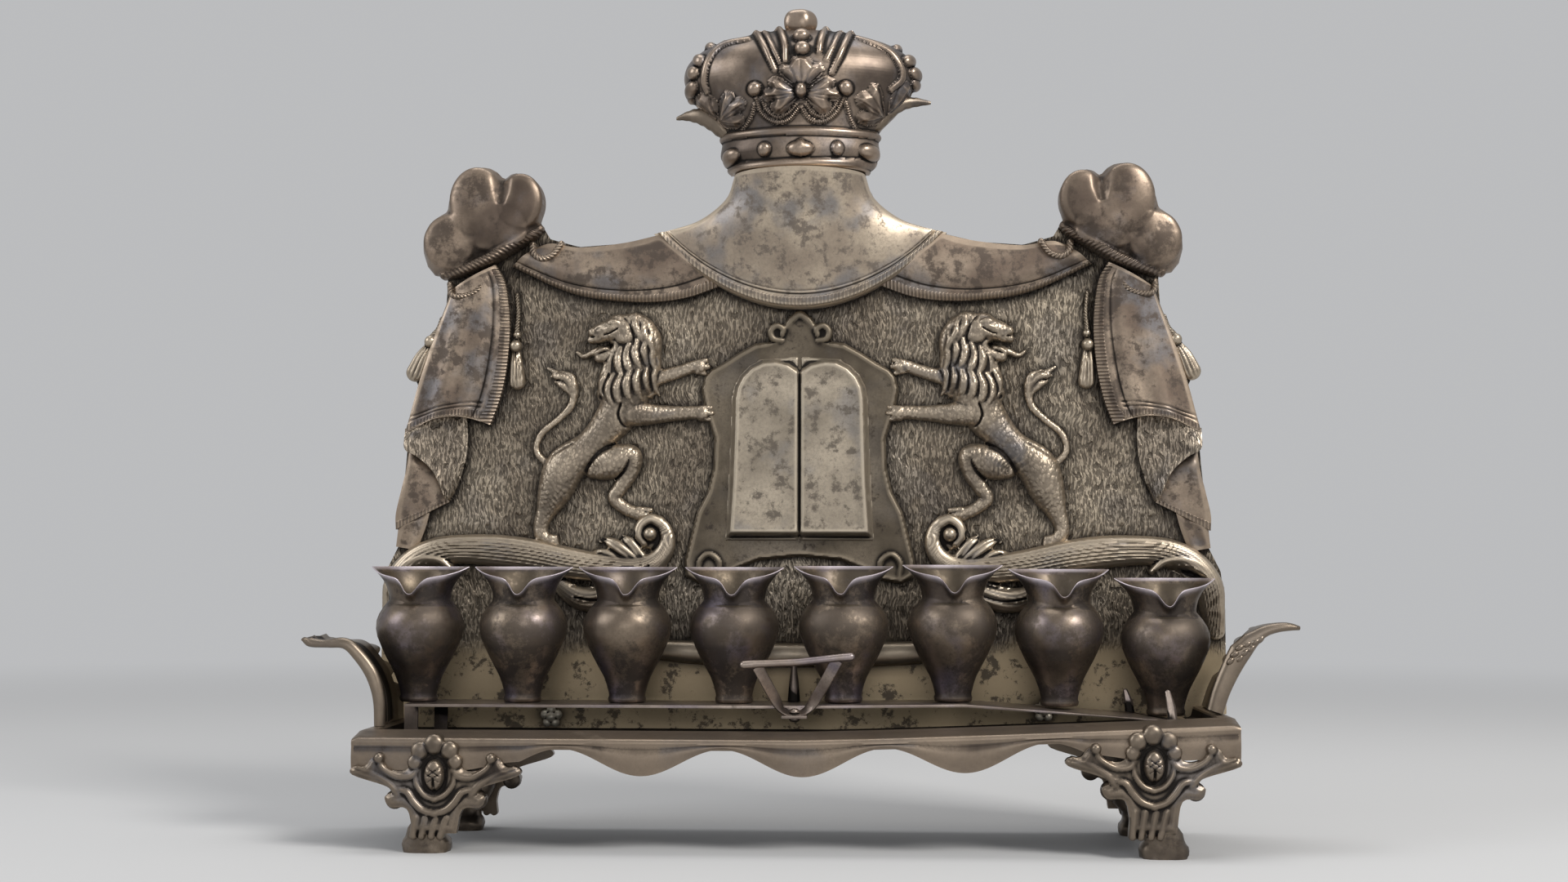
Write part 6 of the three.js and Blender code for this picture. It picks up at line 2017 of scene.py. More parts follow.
@dataclass
class Feet:
    """Four cast feet with shell crest, boss, wings, scrolls and splayed pad."""

    wing: float = 25.8
    high: float = 34.6
    depth: float = 9.0
    relief: float = 2.4
    splay: float = 3.6
    pad: tuple[float, float, float] = (15.4, 12.0, 5.0)
    right_lift: float = 4.2
    lift_reach: float = 14.0
    scroll_radius: float = 0.085
    scroll_out: float = 0.37
    scroll_up: float = 0.47
    half_outline: Pixels = (
        (0, 0.93), (0.2, 0.9), (0.35, 0.74), (0.56, 0.75), (0.67, 0.86), (0.775, 0.84), (0.853, 0.77),
        (1, 0.76), (1, 0.69), (0.62, 0.6), (0.504, 0.545), (0.605, 0.5), (0.543, 0.41), (0.333, 0.39),
        (0.264, 0.18), (0, 0.14),
    )
    axis: float = 533.0
    ground: float = 1047.0
    scale: float = 3.97
    lobes: Pixels = ((508, 936, 9), (514, 922, 11), (532, 914, 12.5), (551, 921, 11), (558, 935, 9))
    horn: Pixels = (
        (464, 932, 4, 3), (467, 941, 3.6, 3), (475, 948, 3.8, 3), (488, 954, 4, 3), (503, 953, 4.4, 3),
        (511, 945, 3.5, 2),
    )
    wing_rim: Pixels = (
        (436, 943, 2.6, 2), (452, 948, 3, 2), (468, 956, 3.6, 2), (480, 965, 4.6, 2), (487, 974, 5, 1),
    )
    strap: Pixels = (
        (486, 969, 3.6, 2), (499, 972, 4.4, 4), (508, 984, 4.6, 4), (519, 994, 4.6, 4), (534, 998, 4.6, 4),
    )
    rim: Pixels = ((508, 946, 3, 2), (511, 963, 3.4, 3), (521, 976, 3.6, 4), (534, 981, 3.6, 4))
    flutes: Pixels = ((510, 507), (522, 517), (535, 529), (548, 540))
    shell: tuple[float, ...] = (533, 951, 12, 18, 9)
    scroll_eyes: Pixels = ((464, 931, 6.5, 6.5, 4), (602, 931, 6.5, 6.5, 4))
    shell_cuts: tuple[tuple[Pixels, float], ...] = (
        (((533, 957, 2.5), (533, 972, 3)), 1.0), (((533, 945, 18), (533, 960, 18)), 1.3),
    )
    net: tuple[Pixels, ...] = (
        ((525, 942, 1.2), (533, 947, 1.2), (541, 953, 1.2)),
        ((522, 948, 1.2), (531, 953, 1.2), (540, 960, 1.2)),
        ((541, 942, 1.2), (533, 947, 1.2), (525, 953, 1.2)),
        ((544, 948, 1.2), (535, 953, 1.2), (526, 960, 1.2)),
    )

    def at(self, lift: float, px: float, py: float, *rest: float) -> tuple[float, ...]:
        """Turns a station seen on the front left foot into one of a face about the plate's axis.

        Args:
            lift: How much higher the bench is at this foot.
            px: Pixels from the left.
            py: Pixels from the top.
            *rest: Radii and lift in pixels.

        Returns:
            The station in pixels of the plate.
        """
        x, z = (px - self.axis) / self.scale, (self.ground - py) / self.scale
        z += lift * min(1.0, z / self.lift_reach)
        return *PLATE.pixel(x, z), *(value / self.scale / PLATE.across for value in rest)

    def face_forms(self, lift: float) -> tuple[list[Form], list[Carving]]:
        """Raised forms and carved lines of the foot's face, placed about its own axis.

        Args:
            lift: How much higher the bench is at this foot.

        Returns:
            The forms and the carvings.
        """
        at = partial(self.at, lift)
        points = [(x * self.wing, z * self.high) for x, z in self.half_outline]
        line = smooth_line(points[:-1], 4)
        half = [at(self.axis + x * self.scale, self.ground - z * self.scale) for x, z in line]
        other = [(2 * PLATE.axis - x, y) for x, y in reversed(half[1:])]
        forms: list[Form] = [Tablet((*half, *other), 0.7, 1.6, 0.3, 0.25)]
        forms += [Lump(*at(px, py, radius, radius, 4), 0.6) for px, py, radius in self.lobes]
        forms.append(Lump(*at(*self.shell), 0.85))
        for rows in (self.horn, self.wing_rim, self.strap, self.rim):
            mirrored = tuple((2 * self.axis - x, *rest) for x, *rest in rows)
            forms += [Bar(tuple(at(*row) for row in line)) for line in (rows, mirrored)]
        forms += [Lump(*at(*row), 0.95) for row in self.scroll_eyes]
        forms += [Bar((at(top, 1003, 5, 1), at(low, 1026, 4.6, 1))) for top, low in self.flutes]
        cuts = [Carving(tuple(at(*row) for row in line), depth) for line, depth in self.shell_cuts]
        cuts += [Carving(tuple(at(*row) for row in line), 0.5) for line in self.net]
        return forms, cuts

    def build(self, rear: bool, side: Side, material: Material) -> Object:
        """Builds one foot in its place.

        Args:
            rear: Whether it stands at the back.
            side: Left or right.
            material: Its finish.

        Returns:
            The foot.
        """
        node = f"foot_{'back' if rear else 'front'}_{side.word}"
        low, high = (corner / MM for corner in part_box(node))
        lift = 0.0 if side is Side.LEFT else self.right_lift
        forms, cuts = self.face_forms(lift)
        face = ReliefPiece("face", forms, cuts, cell=0.36, blend=0.45).build(material)
        bm = bmesh.new()
        bm.from_mesh(face.data)
        for v in bm.verts:
            v.co.y = (v.co.y / MM - PLATE.front) * MM
            if v.co.y > -0.1 * MM:
                v.co.y = self.relief * MM
        bpy.data.objects.remove(face)
        merge_into(bm, self._leg(lift, -1 if (side is Side.LEFT) != rear else 1))
        r = self.scroll_radius * self.high
        profile = [(0, 0.4), (r * 0.35, 0.0), (r * 0.5, 0.5), (r * 0.8, 0.1), (r, 0.7), (r, 3.8),
                   (r * 0.7, 4.4), (0, 4.4)]
        for x in (-self.scroll_out, self.scroll_out):
            centre = Vector((x * self.high, self.relief * 0.2, self.scroll_up * self.high + lift))
            merge_into(bm, turned(profile, centre, Vector((0, 1, 0)), 24))
        if rear:
            bmesh.ops.rotate(bm, cent=(0, 0, 0), matrix=Matrix.Rotation(math.pi, 3, "Z"), verts=bm.verts)
        depths = [v.co.y / MM for v in bm.verts]
        shift = high.y - max(depths) if rear else low.y - min(depths)
        bmesh.ops.translate(bm, vec=Vector(((low.x + high.x) / 2, shift, 0)) * MM, verts=bm.verts)
        return new_object(f"cast_{node}", bm, material)

    def _leg(self, lift: float, way: int) -> Mesh:
        """Shaft and pad of one foot on its own origin, its pad set to one side.

        Args:
            lift: How much higher the bench is at this foot.
            way: Sign of X that the pad is set to.

        Returns:
            The closed mesh.
        """
        wide, deep, tall = self.pad
        high, depth, splay = self.high, self.depth, self.splay
        sections = [
            (high * 0.72 + lift, 0.6 * high, depth - 1, 0), (0.56 * high + lift, 0.52 * high, depth, 0),
            (0.4 * high + lift, 0.42 * high, depth, -0.2), (0.3 * high, 0.37 * high, depth, -0.8),
            (tall + 2.5, 0.78 * wide, depth, -splay * 0.9), (tall + 0.4, 0.8 * wide, depth + 0.5, -splay),
            (tall - 0.4, 0.86 * wide, deep * 0.86, -splay), (tall * 0.7, 0.97 * wide, deep * 0.96, -splay),
            (tall * 0.45, wide, deep, -splay), (tall * 0.2, 0.985 * wide, deep * 0.98, -splay),
            (0.0, 0.94 * wide, deep * 0.94, -splay),
        ]
        rings = []
        for z, across, along, shift in sections:
            centre = np.array([-way * shift, along / 2 + 0.2, z])
            points = round_ring(centre, np.array([across / 2, 0, 0]), np.array([0, along / 2, 0]), 40, 0.7)
            out = (points - centre)[:, :2]
            turn = np.arctan2(out[:, 1], out[:, 0])
            knobby = 0.3 * np.sin(5 * turn + 1.3 * z) + 0.2 * np.sin(9 * turn - 2.0 * z)
            dent = np.minimum(knobby, 0.0) * (z < tall)
            points[:, :2] += out / np.linalg.norm(out, axis=1)[:, None] * dent[:, None]
            rings.append(points)
        return sweep(rings)


@dataclass
class Bench:
    """Footed bench with its drip tray, and the two leafy side arms."""

    half: float = 136.5
    edge: float = 35.2
    border_rise: float = 1.8
    border: float = 12.0
    border_end: float = 6.0
    tray_drop: float = 3.4
    end_rise: float = 5.4
    skirt: float = 9.9
    back_skirt: float = 7.2
    lobe_pitch: float = 50.0
    lobe_centre: float = 3.5
    lobe_deep: float = 11.2
    hollow_deep: float = 3.0
    sheet: float = 1.2
    cells: int = 330
    arm_line: Pixels = ((0, 0), (-0.012, 0.25), (-0.055, 0.43), (-0.13, 0.59), (-0.25, 0.75), (-0.36, 0.85),
                        (-0.52, 0.86), (-0.74, 0.87), (-0.83, 0.94))
    steep_arm: Pixels = ((0, 0), (-0.067, 0.2), (-0.147, 0.37), (-0.226, 0.51), (-0.305, 0.63),
                         (-0.384, 0.747), (-0.48, 0.84), (-0.6, 0.885), (-0.74, 0.905), (-0.83, 0.91))
    arm_widths: tuple[Pixels, Pixels] = (
        ((0, 3.6), (0.35, 4.4), (0.6, 3.8), (0.78, 2.6), (0.9, 3.3), (1, 1.5)),
        ((0, 5.4), (0.25, 6.2), (0.42, 7.0), (0.55, 5.5), (0.62, 4.2), (0.7, 3.4), (0.85, 2.8), (1, 1.4)),
    )
    scales: Pixels = ((1503, 807), (1508, 799), (1514, 804), (1514, 791), (1520, 797), (1523, 787),
                      (1528, 792), (1533, 784), (1539, 781))
    scale_size: tuple[float, float, float] = (1.7, 1.2, 1.0)
    arm_rise: float = 29.0
    arm_inset: float = 1.7
    end_low: float = 7.1
    lip_high: float = 1.6
    rolled_edge: float = 1.4
    end_inset: float = 0.02

    def rise(self, x: Array) -> Array:
        """How far the bent right half has risen."""
        return self.end_rise * (np.clip(x, 0, None) / self.half) ** 1.25

    def apron_low(self, x: Array) -> Array:
        """Lower line of the front apron.

        Args:
            x: X in millimetres.

        Returns:
            How far the apron hangs under the bench's edge.
        """
        turn = 2 * math.pi * (x - self.lobe_centre) / self.lobe_pitch
        middle, swing = (self.lobe_deep + self.hollow_deep) / 2, (self.lobe_deep - self.hollow_deep) / 2
        wave = middle + swing * np.cos(turn)
        out = np.abs(x - self.lobe_centre) - 1.75 * self.lobe_pitch
        corner = self.end_low + (self.skirt - self.end_low) * soft_step(out / 20)
        return np.where(out > 0, corner, wave)

    def section(self, x: float, front: float, back: float) -> Array:
        """Closed section of the bench's sheet at one place across.

        Args:
            x: X of the section.
            front: Y of the front.
            back: Y of the back.

        Returns:
            Rows of X, Y and Z.
        """
        edge, t = self.edge + self.rise(x), self.sheet
        top, low = edge + self.border_rise, edge - float(self.apron_low(x))
        floor = top - self.tray_drop
        skirt = self.edge - self.back_skirt + self.rise(x) / 2
        tall = edge - self.lip_high - low
        heights = (0, 0.08, 0.25, 0.45, 0.65, 0.85)
        step, wall = front + self.border, back - t
        rows = [
            *((front + 0.4 * math.cos(math.pi * share) ** 2, low + share * tall) for share in heights),
            (front, edge - self.lip_high), (front + 0.1, edge - 0.7), (front + 0.45, edge - 0.15),
            (front + 1.2, edge + 0.12), (front + 4.0, edge + 0.62), (front + 8.0, edge + 1.3),
            (front + 10.4, top), (step - 0.5, top), (step - 0.1, top - 0.3), (step, top - 1.2),
            (step + 0.5, floor + 0.3), (step + 1.4, floor), (wall - 1.6, floor), (wall - 0.5, floor + 0.3),
            (wall, floor + 1.2),
            (wall + 0.2, top - 0.3), (wall + 0.5, top), (back - 0.2, top), (back, top - 0.3), (back, skirt),
            (wall, skirt), (wall, floor - t - 0.4), (wall - 0.6, floor - t), (front + t + 0.8, floor - t),
            (front + t, floor - t - 0.6), (front + t, low),
        ]
        return np.array([(x, y, z) for y, z in rows])

    def tray(self, material: Material) -> Object:
        """Bordered tray on a scalloped apron, drawn through its sections.

        Args:
            material: Its finish.

        Returns:
            The piece.
        """
        low, high = (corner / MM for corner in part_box("bench_tray"))
        inner = self.half - self.border_end
        sunk, rounded = slice(14, 23), slice(7, 25)
        rings = []
        for x in np.linspace(-self.half, self.half, self.cells):
            ring = self.section(x, low.y, high.y)
            over = soft_step((abs(x) - inner) / 0.8)
            top = self.edge + self.rise(x) + self.border_rise
            ring[sunk, 2] += (top - ring[sunk, 2]) * over
            ring[rounded, 2] -= 0.5 * soft_step((abs(x) - self.half + self.rolled_edge) / self.rolled_edge)
            rings.append(ring)
        bm = sweep(rings)
        for way in (-1, 1):
            merge_into(bm, self.end_wall(way, low.y, high.y))
        return new_object("bench_tray_sheet", bm, material, sharp=40)

    def end_wall(self, way: int, front: float, back: float) -> Mesh:
        """Plain wall under one end of the tray.

        Args:
            way: Sign of X of the end.
            front: Y of the front.
            back: Y of the back.

        Returns:
            The closed mesh.
        """
        x = way * self.half
        foot, top = self.edge - self.skirt + self.rise(x) / 2, self.edge + self.rise(x) - 1
        near = np.array([x - way * self.sheet, front + 0.3, foot])
        far = np.array([x - way * self.end_inset, back - 0.3, top])
        part = bmesh.new()
        bmesh.ops.create_cube(part, size=1.0)
        bmesh.ops.scale(part, vec=Vector(np.abs(far - near)) * MM, verts=part.verts)
        bmesh.ops.translate(part, vec=Vector((near + far) / 2) * MM, verts=part.verts)
        bmesh.ops.bevel(part, geom=part.edges, offset=0.3 * MM, affect="EDGES", segments=2, profile=0.5,
                        material=-1)
        return part

    def arm(self, side: Side, material: Material) -> Object:
        """Leaf arm curling outward, with a rolled front rim.

        Args:
            side: Left or right.
            material: Its finish.

        Returns:
            The piece.
        """
        low, high = (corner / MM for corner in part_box(f"arm_{side.word}"))
        foot_x = self.half - self.arm_inset
        bend = self.arm_line if side is Side.LEFT else self.steep_arm
        line = smooth_line([(x * self.arm_rise - foot_x, low.z + z * self.arm_rise) for x, z in bend], 8)
        widths = np.array(self.arm_widths[side is Side.RIGHT])
        way = np.gradient(line, axis=0)
        way /= np.linalg.norm(way, axis=1)[:, None]
        normal = np.column_stack([way[:, 1], -way[:, 0]])
        front, back = low.y, high.y
        rings = []
        for i, (spot, out) in enumerate(zip(line, normal)):
            share = i / (len(line) - 1)
            rim = float(np.interp(share, widths[:, 0], widths[:, 1]))
            lobes = 0.6 + 0.4 * abs(math.cos(5.5 * math.pi * share)) if share > 0.2 else 1.0
            y_back = front + (back - front) * lobes
            rows = [(front + y, t) for y, t in (
                (0.15, 0.5), (0, 1.2), (0.2, rim * 0.7), (0.9, rim * 0.95), (1.8, rim), (2.8, rim * 0.85),
                (3.4, rim * 0.5), (6, 1.25), (11, 1.5), (12, 1.9), (13, 1.5), (20, 1.2), (26, 1.9),
                (27, 1.5))]
            rows += [(y_back - 0.4, 1.2), (y_back, 0.7), (y_back - 0.4, 0.15)]
            rows += [(front + 20, 0.0), (front + 8, 0.05), (front + 1.5, 0.0)]
            ring = [(side * -(spot[0] + out[0] * t), y, spot[1] + out[1] * t) for y, t in rows]
            rings.append(np.array(ring))
        bm = sweep(rings)
        for i, pixel in enumerate(self.scales if side is Side.RIGHT else ()):
            x, z = PLATE.nearer(*PLATE.place(*pixel), PLATE.front - front)
            tilt = Matrix.Rotation(-0.8 + 0.3 * (i % 2), 3, "Y")
            part = bmesh.new()
            bmesh.ops.create_icosphere(part, subdivisions=3, radius=1.0)
            bmesh.ops.scale(part, vec=Vector(self.scale_size) * MM, verts=part.verts)
            bmesh.ops.rotate(part, cent=(0, 0, 0), matrix=tilt, verts=part.verts)
            bmesh.ops.translate(part, vec=Vector((x, front + 0.8, z)) * MM, verts=part.verts)
            merge_into(bm, part)
        return new_object(f"side_arm_{side.word}", bm, material, sharp=60)

    def dress(self, finishes: Finishes) -> None:
        """Builds the bench with its feet and arms.

        Args:
            finishes: All finishes.
        """
        hang(self.tray(finishes.bench), Body.LAMP, "bench_silver", "bench_tray")
        feet = Feet()
        for side in Side:
            for rear in (False, True):
                node = f"foot_{'back' if rear else 'front'}_{side.word}"
                hang(feet.build(rear, side, finishes.cast), Body.LAMP, "cast_silver", node)
            hang(self.arm(side, finishes.cast), Body.LAMP, "cast_silver", f"arm_{side.word}")


@dataclass
class Jugs:
    """Eight oil jugs with waisted necks, drawn-out wings and pinched spouts."""

    tall: float = 44.0
    foot: float = 5.9
    neck: float = 10.0
    wall: float = 0.8
    back_reach: float = 13.4
    spout_reach: float = 13.6
    spout_drop: float = 8.9
    wing: float = 16.5
    count: int = 96
    profile: Pixels = (
        (0, 0.94), (0.006, 1.02), (0.03, 1.06), (0.05, 1.0), (0.07, 1.02), (0.13, 1.14), (0.19, 1.3),
        (0.26, 1.58), (0.34, 1.9), (0.41, 2.14), (0.48, 2.36), (0.54, 2.45), (0.6, 2.42), (0.65, 2.28),
        (0.7, 2.05),
    )
    neck_share: float = 0.755
    bowl: Pixels = (
        (0.72, 1.88), (0.65, 2.13), (0.54, 2.3), (0.41, 2.0), (0.26, 1.44), (0.13, 1.0), (0.1, 0.86),
    )
    flare_steps: int = 11
    even_rings: int = 7
    lip: Pixels = (
        (0, 1.0, 1.0), (0.07, 0.94, 0.96), (0.13, 0.8, 0.89), (0.19, 0.63, 0.82), (0.26, 0.5, 0.76),
        (0.34, 0.42, 0.71), (0.48, 0.36, 0.61), (0.65, 0.3, 0.47), (0.8, 0.21, 0.31), (0.92, 0.1, 0.14),
        (1, 0, 0),
    )

    def rim(self, turn: Array, skew: float) -> Array:
        """Line of the lip.

        Args:
            turn: Angles from the front, in radians.
            skew: How far the spout stands to one side, as a share.

        Returns:
            Points of the lip, in millimetres from the foot's middle.
        """
        front, back = np.clip(np.cos(turn), 0, None), np.clip(-np.cos(turn), 0, None)
        across = np.abs(np.sin(turn)) ** 1.25
        at, lip_low, lip_reach = smooth_line(self.lip, 6).T
        off = np.clip(np.abs(np.sin(turn) + skew * front**3), 0, 1) ** 1.25
        low = np.where(front > 0, np.interp(off, at, lip_low), 0.0)
        reach = np.where(front > 0, np.interp(off, at, lip_reach), 0.0)
        depth = back * self.back_reach - self.spout_reach * reach
        wide = self.wing * across * np.sign(np.sin(turn))
        return np.column_stack([wide, depth, self.tall - self.spout_drop * low])

    def ring(self, turn: Array, z: float, radius: float) -> Array:
        """Level ring of one jug.

        Args:
            turn: Angles from the front, in radians.
            z: Height as a share of the jug's.
            radius: Radius as a share of the foot's.

        Returns:
            Rows of X, Y and Z.
        """
        wide, level = radius * self.foot, np.full(self.count, z * self.tall)
        return np.column_stack([wide * np.sin(turn), -wide * np.cos(turn), level])

    def inner(self, points: Array, wall: float) -> Array:
        """Ring that lies inside another one.

        Args:
            points: The outer ring.
            wall: Distance between the two.

        Returns:
            The inner ring.
        """
        length = np.hypot(points[:, 0], points[:, 1])
        found = points.copy()
        found[:, :2] *= ((length - wall) / length)[:, None]
        return found

    def build(self, number: int, material: Material) -> Object:
        """Builds one jug in its place.

        Args:
            number: Its place from the left, from 1 to 8.
            material: Its finish.

        Returns:
            The jug.
        """
        low, high = (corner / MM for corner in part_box(f"jug_{number}"))
        turn = 2 * np.pi * (np.arange(self.count) + 0.5) / self.count
        rim = self.rim(turn, 0.07 * math.sin(1.6 * number))
        rim[:, 0] *= (high.x - low.x) / 2 / self.wing
        wave = 1 + 0.012 * np.sin(2 * turn + number) + 0.008 * np.sin(3 * turn + 2.1 * number)
        throat = self.ring(turn, self.neck_share, self.neck / self.foot)
        throat[:, 2] -= 0.03 * self.tall * np.clip(np.cos(turn), 0, None) ** 4
        bend = throat.copy()
        bend[:, 2] += (rim[:, 2] - throat[:, 2]) * 0.55
        steps = np.linspace(0, 1, self.flare_steps)
        flare = [throat * (1 - t) ** 2 + bend * 2 * t * (1 - t) + rim * t**2 for t in steps[:-1]]
        outside = [self.ring(turn, *row) for row in self.profile]
        for points in outside[self.even_rings:]:
            points[:, :2] *= wave[:, None]
        outside += flare
        lip, over = self.inner(rim, 0.1), self.inner(rim, self.wall * 0.5)
        lip[:, 2] -= 0.06
        over[:, 2] += 0.12
        inside = [self.inner(points, self.wall) for points in reversed(flare)]
        inside += [self.ring(turn, *row) for row in self.bowl]
        # Lip marks: positive round the rim for its painted highlight, negative inside for the darker brown.
        bowl_lips = [-1.0, -0.6, *(-0.1 for _ in self.bowl[2:])]
        lips = [*(0.0 for _ in outside[:-2]), 0.12, 0.45, 1.0, 0.9, 0.1, *(-1.0 for _ in flare[1:])]
        lips += bowl_lips
        bm = sweep([*outside, lip, over, *inside], lips)
        centre = Vector(((low.x + high.x) / 2, high.y - self.back_reach, low.z))
        bmesh.ops.translate(bm, vec=centre * MM, verts=bm.verts)
        return new_object(f"oil_jug_{number}", bm, material, sharp=60, soften=3)

    def dress(self, finishes: Finishes) -> None:
        """Builds all eight on the rack."""
        for number in range(1, 9):
            hang(self.build(number, finishes.jug), Body.RACK, "jug_silver", f"jug_{number}")


@dataclass
class Rack:
    """Lift-out rack strip with its swinging handle."""

    bar: float = 35.0
    bar_radius: float = 1.25
    rise: float = 19.4
    pivot: tuple[float, float, float] = (0.0, -11.0, 41.95)
    turn: float = 0.14
    lean: float = 0.5
    tilt: float = 0.085
    rivet_radius: float = 1.1
    rivet_head: float = 1.7
    strap_base: float = 7.0
    strap_wide: float = 3.8
    twist: float = 62.0
    bar_share: float = 0.98
    swells: Pixels = (
        (-0.5, 1.0), (-0.47, 1.06), (-0.4, 1.05), (-0.36, 0.98), (-0.15, 0.93), (0, 0.95), (0.15, 0.93),
        (0.36, 0.98), (0.4, 1.05), (0.47, 1.06), (0.5, 1.0),
    )

    def place(self) -> Matrix:
        """Turn and place of the handle, in millimetres."""
        place = Matrix.Translation(Vector(self.pivot)) @ Matrix.Rotation(self.turn, 4, "Z")
        return place @ Matrix.Rotation(self.lean, 4, "X")

    def strap(self, material: Material) -> Object:
        """V-bent strap, its two legs twisted to face the front.

        Args:
            material: Its finish.

        Returns:
            The piece.
        """
        place = self.place()
        half, wide = self.strap_base / 2, self.strap_wide
        top, slope = self.bar / 2 - 1.3 * wide, math.sin(self.tilt)
        leg = [(0.6 * half, 0.0), (1.25 * half, 0.1 * self.rise),
               (half + (top - half) * 0.45, 0.4 * self.rise)]
        stations = [(-top, 0.96 * self.rise - slope * top), *((-x, z) for x, z in reversed(leg)), (0, 0),
                    *leg, (top, 0.96 * self.rise + slope * top)]
        line = smooth_line(stations, 8)
        ahead = np.gradient(line, axis=0)
        ahead /= np.linalg.norm(ahead, axis=1)[:, None]
        rings = []
        for (x, z), (dx, dz) in zip(line, ahead):
            twist = math.radians(self.twist) * float(soft_step((abs(x) - 2.6) / 4.5))
            broad = Vector((-dz * math.sin(twist), math.cos(twist), dx * math.sin(twist)))
            thick = Vector((dx, 0, dz)).cross(broad)
            axes = np.array(broad * wide * 0.48), np.array(thick * 0.4)
            ring = round_ring(np.array((x, 0, z)), *axes, 24, 0.5)
            rings.append(np.array([place @ Vector(point) for point in ring]))
        return new_object("grip_strap", sweep(rings), material, soften=3)

    def handle_bar(self, material: Material) -> Object:
        """Round bar of the handle, its middle worn thin.

        Args:
            material: Its finish.

        Returns:
            The piece.
        """
        place = self.place()
        rows = []
        for share, thick in self.swells:
            x = share * self.bar * self.bar_share
            bow = -0.4 * self.bar_radius * math.exp(-((share / 0.22) ** 2))
            point = place @ Vector((x, 0, self.rise + math.sin(self.tilt) * x + bow))
            rows.append((*point, self.bar_radius * thick))
        return new_object("grip_bar", rod(rows, 20, 3), material)

    def rivet(self, material: Material) -> Object:
        """Rivet with a domed head above and below.

        Args:
            material: Its finish.

        Returns:
            The piece.
        """
        low, high = (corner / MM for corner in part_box("handle_rivet"))
        centre = Vector(((low.x + high.x) / 2, (low.y + high.y) / 2, low.z))
        tall = high.z - low.z
        head, thin = self.rivet_head, self.rivet_radius
        profile = [(0, 0), (head * 0.6, 0.15), (head * 0.93, 0.5), (head, 0.75), (head * 0.97, 1.0),
                   (thin, 1.1), (thin, tall - 1.4), (head * 0.97, tall - 1.35), (head, tall - 1.1),
                   (head * 0.9, tall - 0.6), (head * 0.55, tall - 0.15), (0, tall)]
        return new_object("pivot_rivet", turned(profile, centre, Vector((0, 0, 1)), 28), material)

    def dress(self, finishes: Finishes) -> None:
        """Builds the rack and its handle.

        Args:
            finishes: All finishes.
        """
        finish, slot = finishes.rack, "rack_silver"
        hang(softened_copy("rack_plate", "rack_strip", finish, 0.22), Body.RACK, slot, "rack_plate")
        hang(self.rivet(finish), Body.RACK, slot, "handle_rivet")
        hang(self.strap(finish), Body.HANDLE, slot, "handle_strap")
        hang(self.handle_bar(finish), Body.HANDLE, slot, "handle_bar")


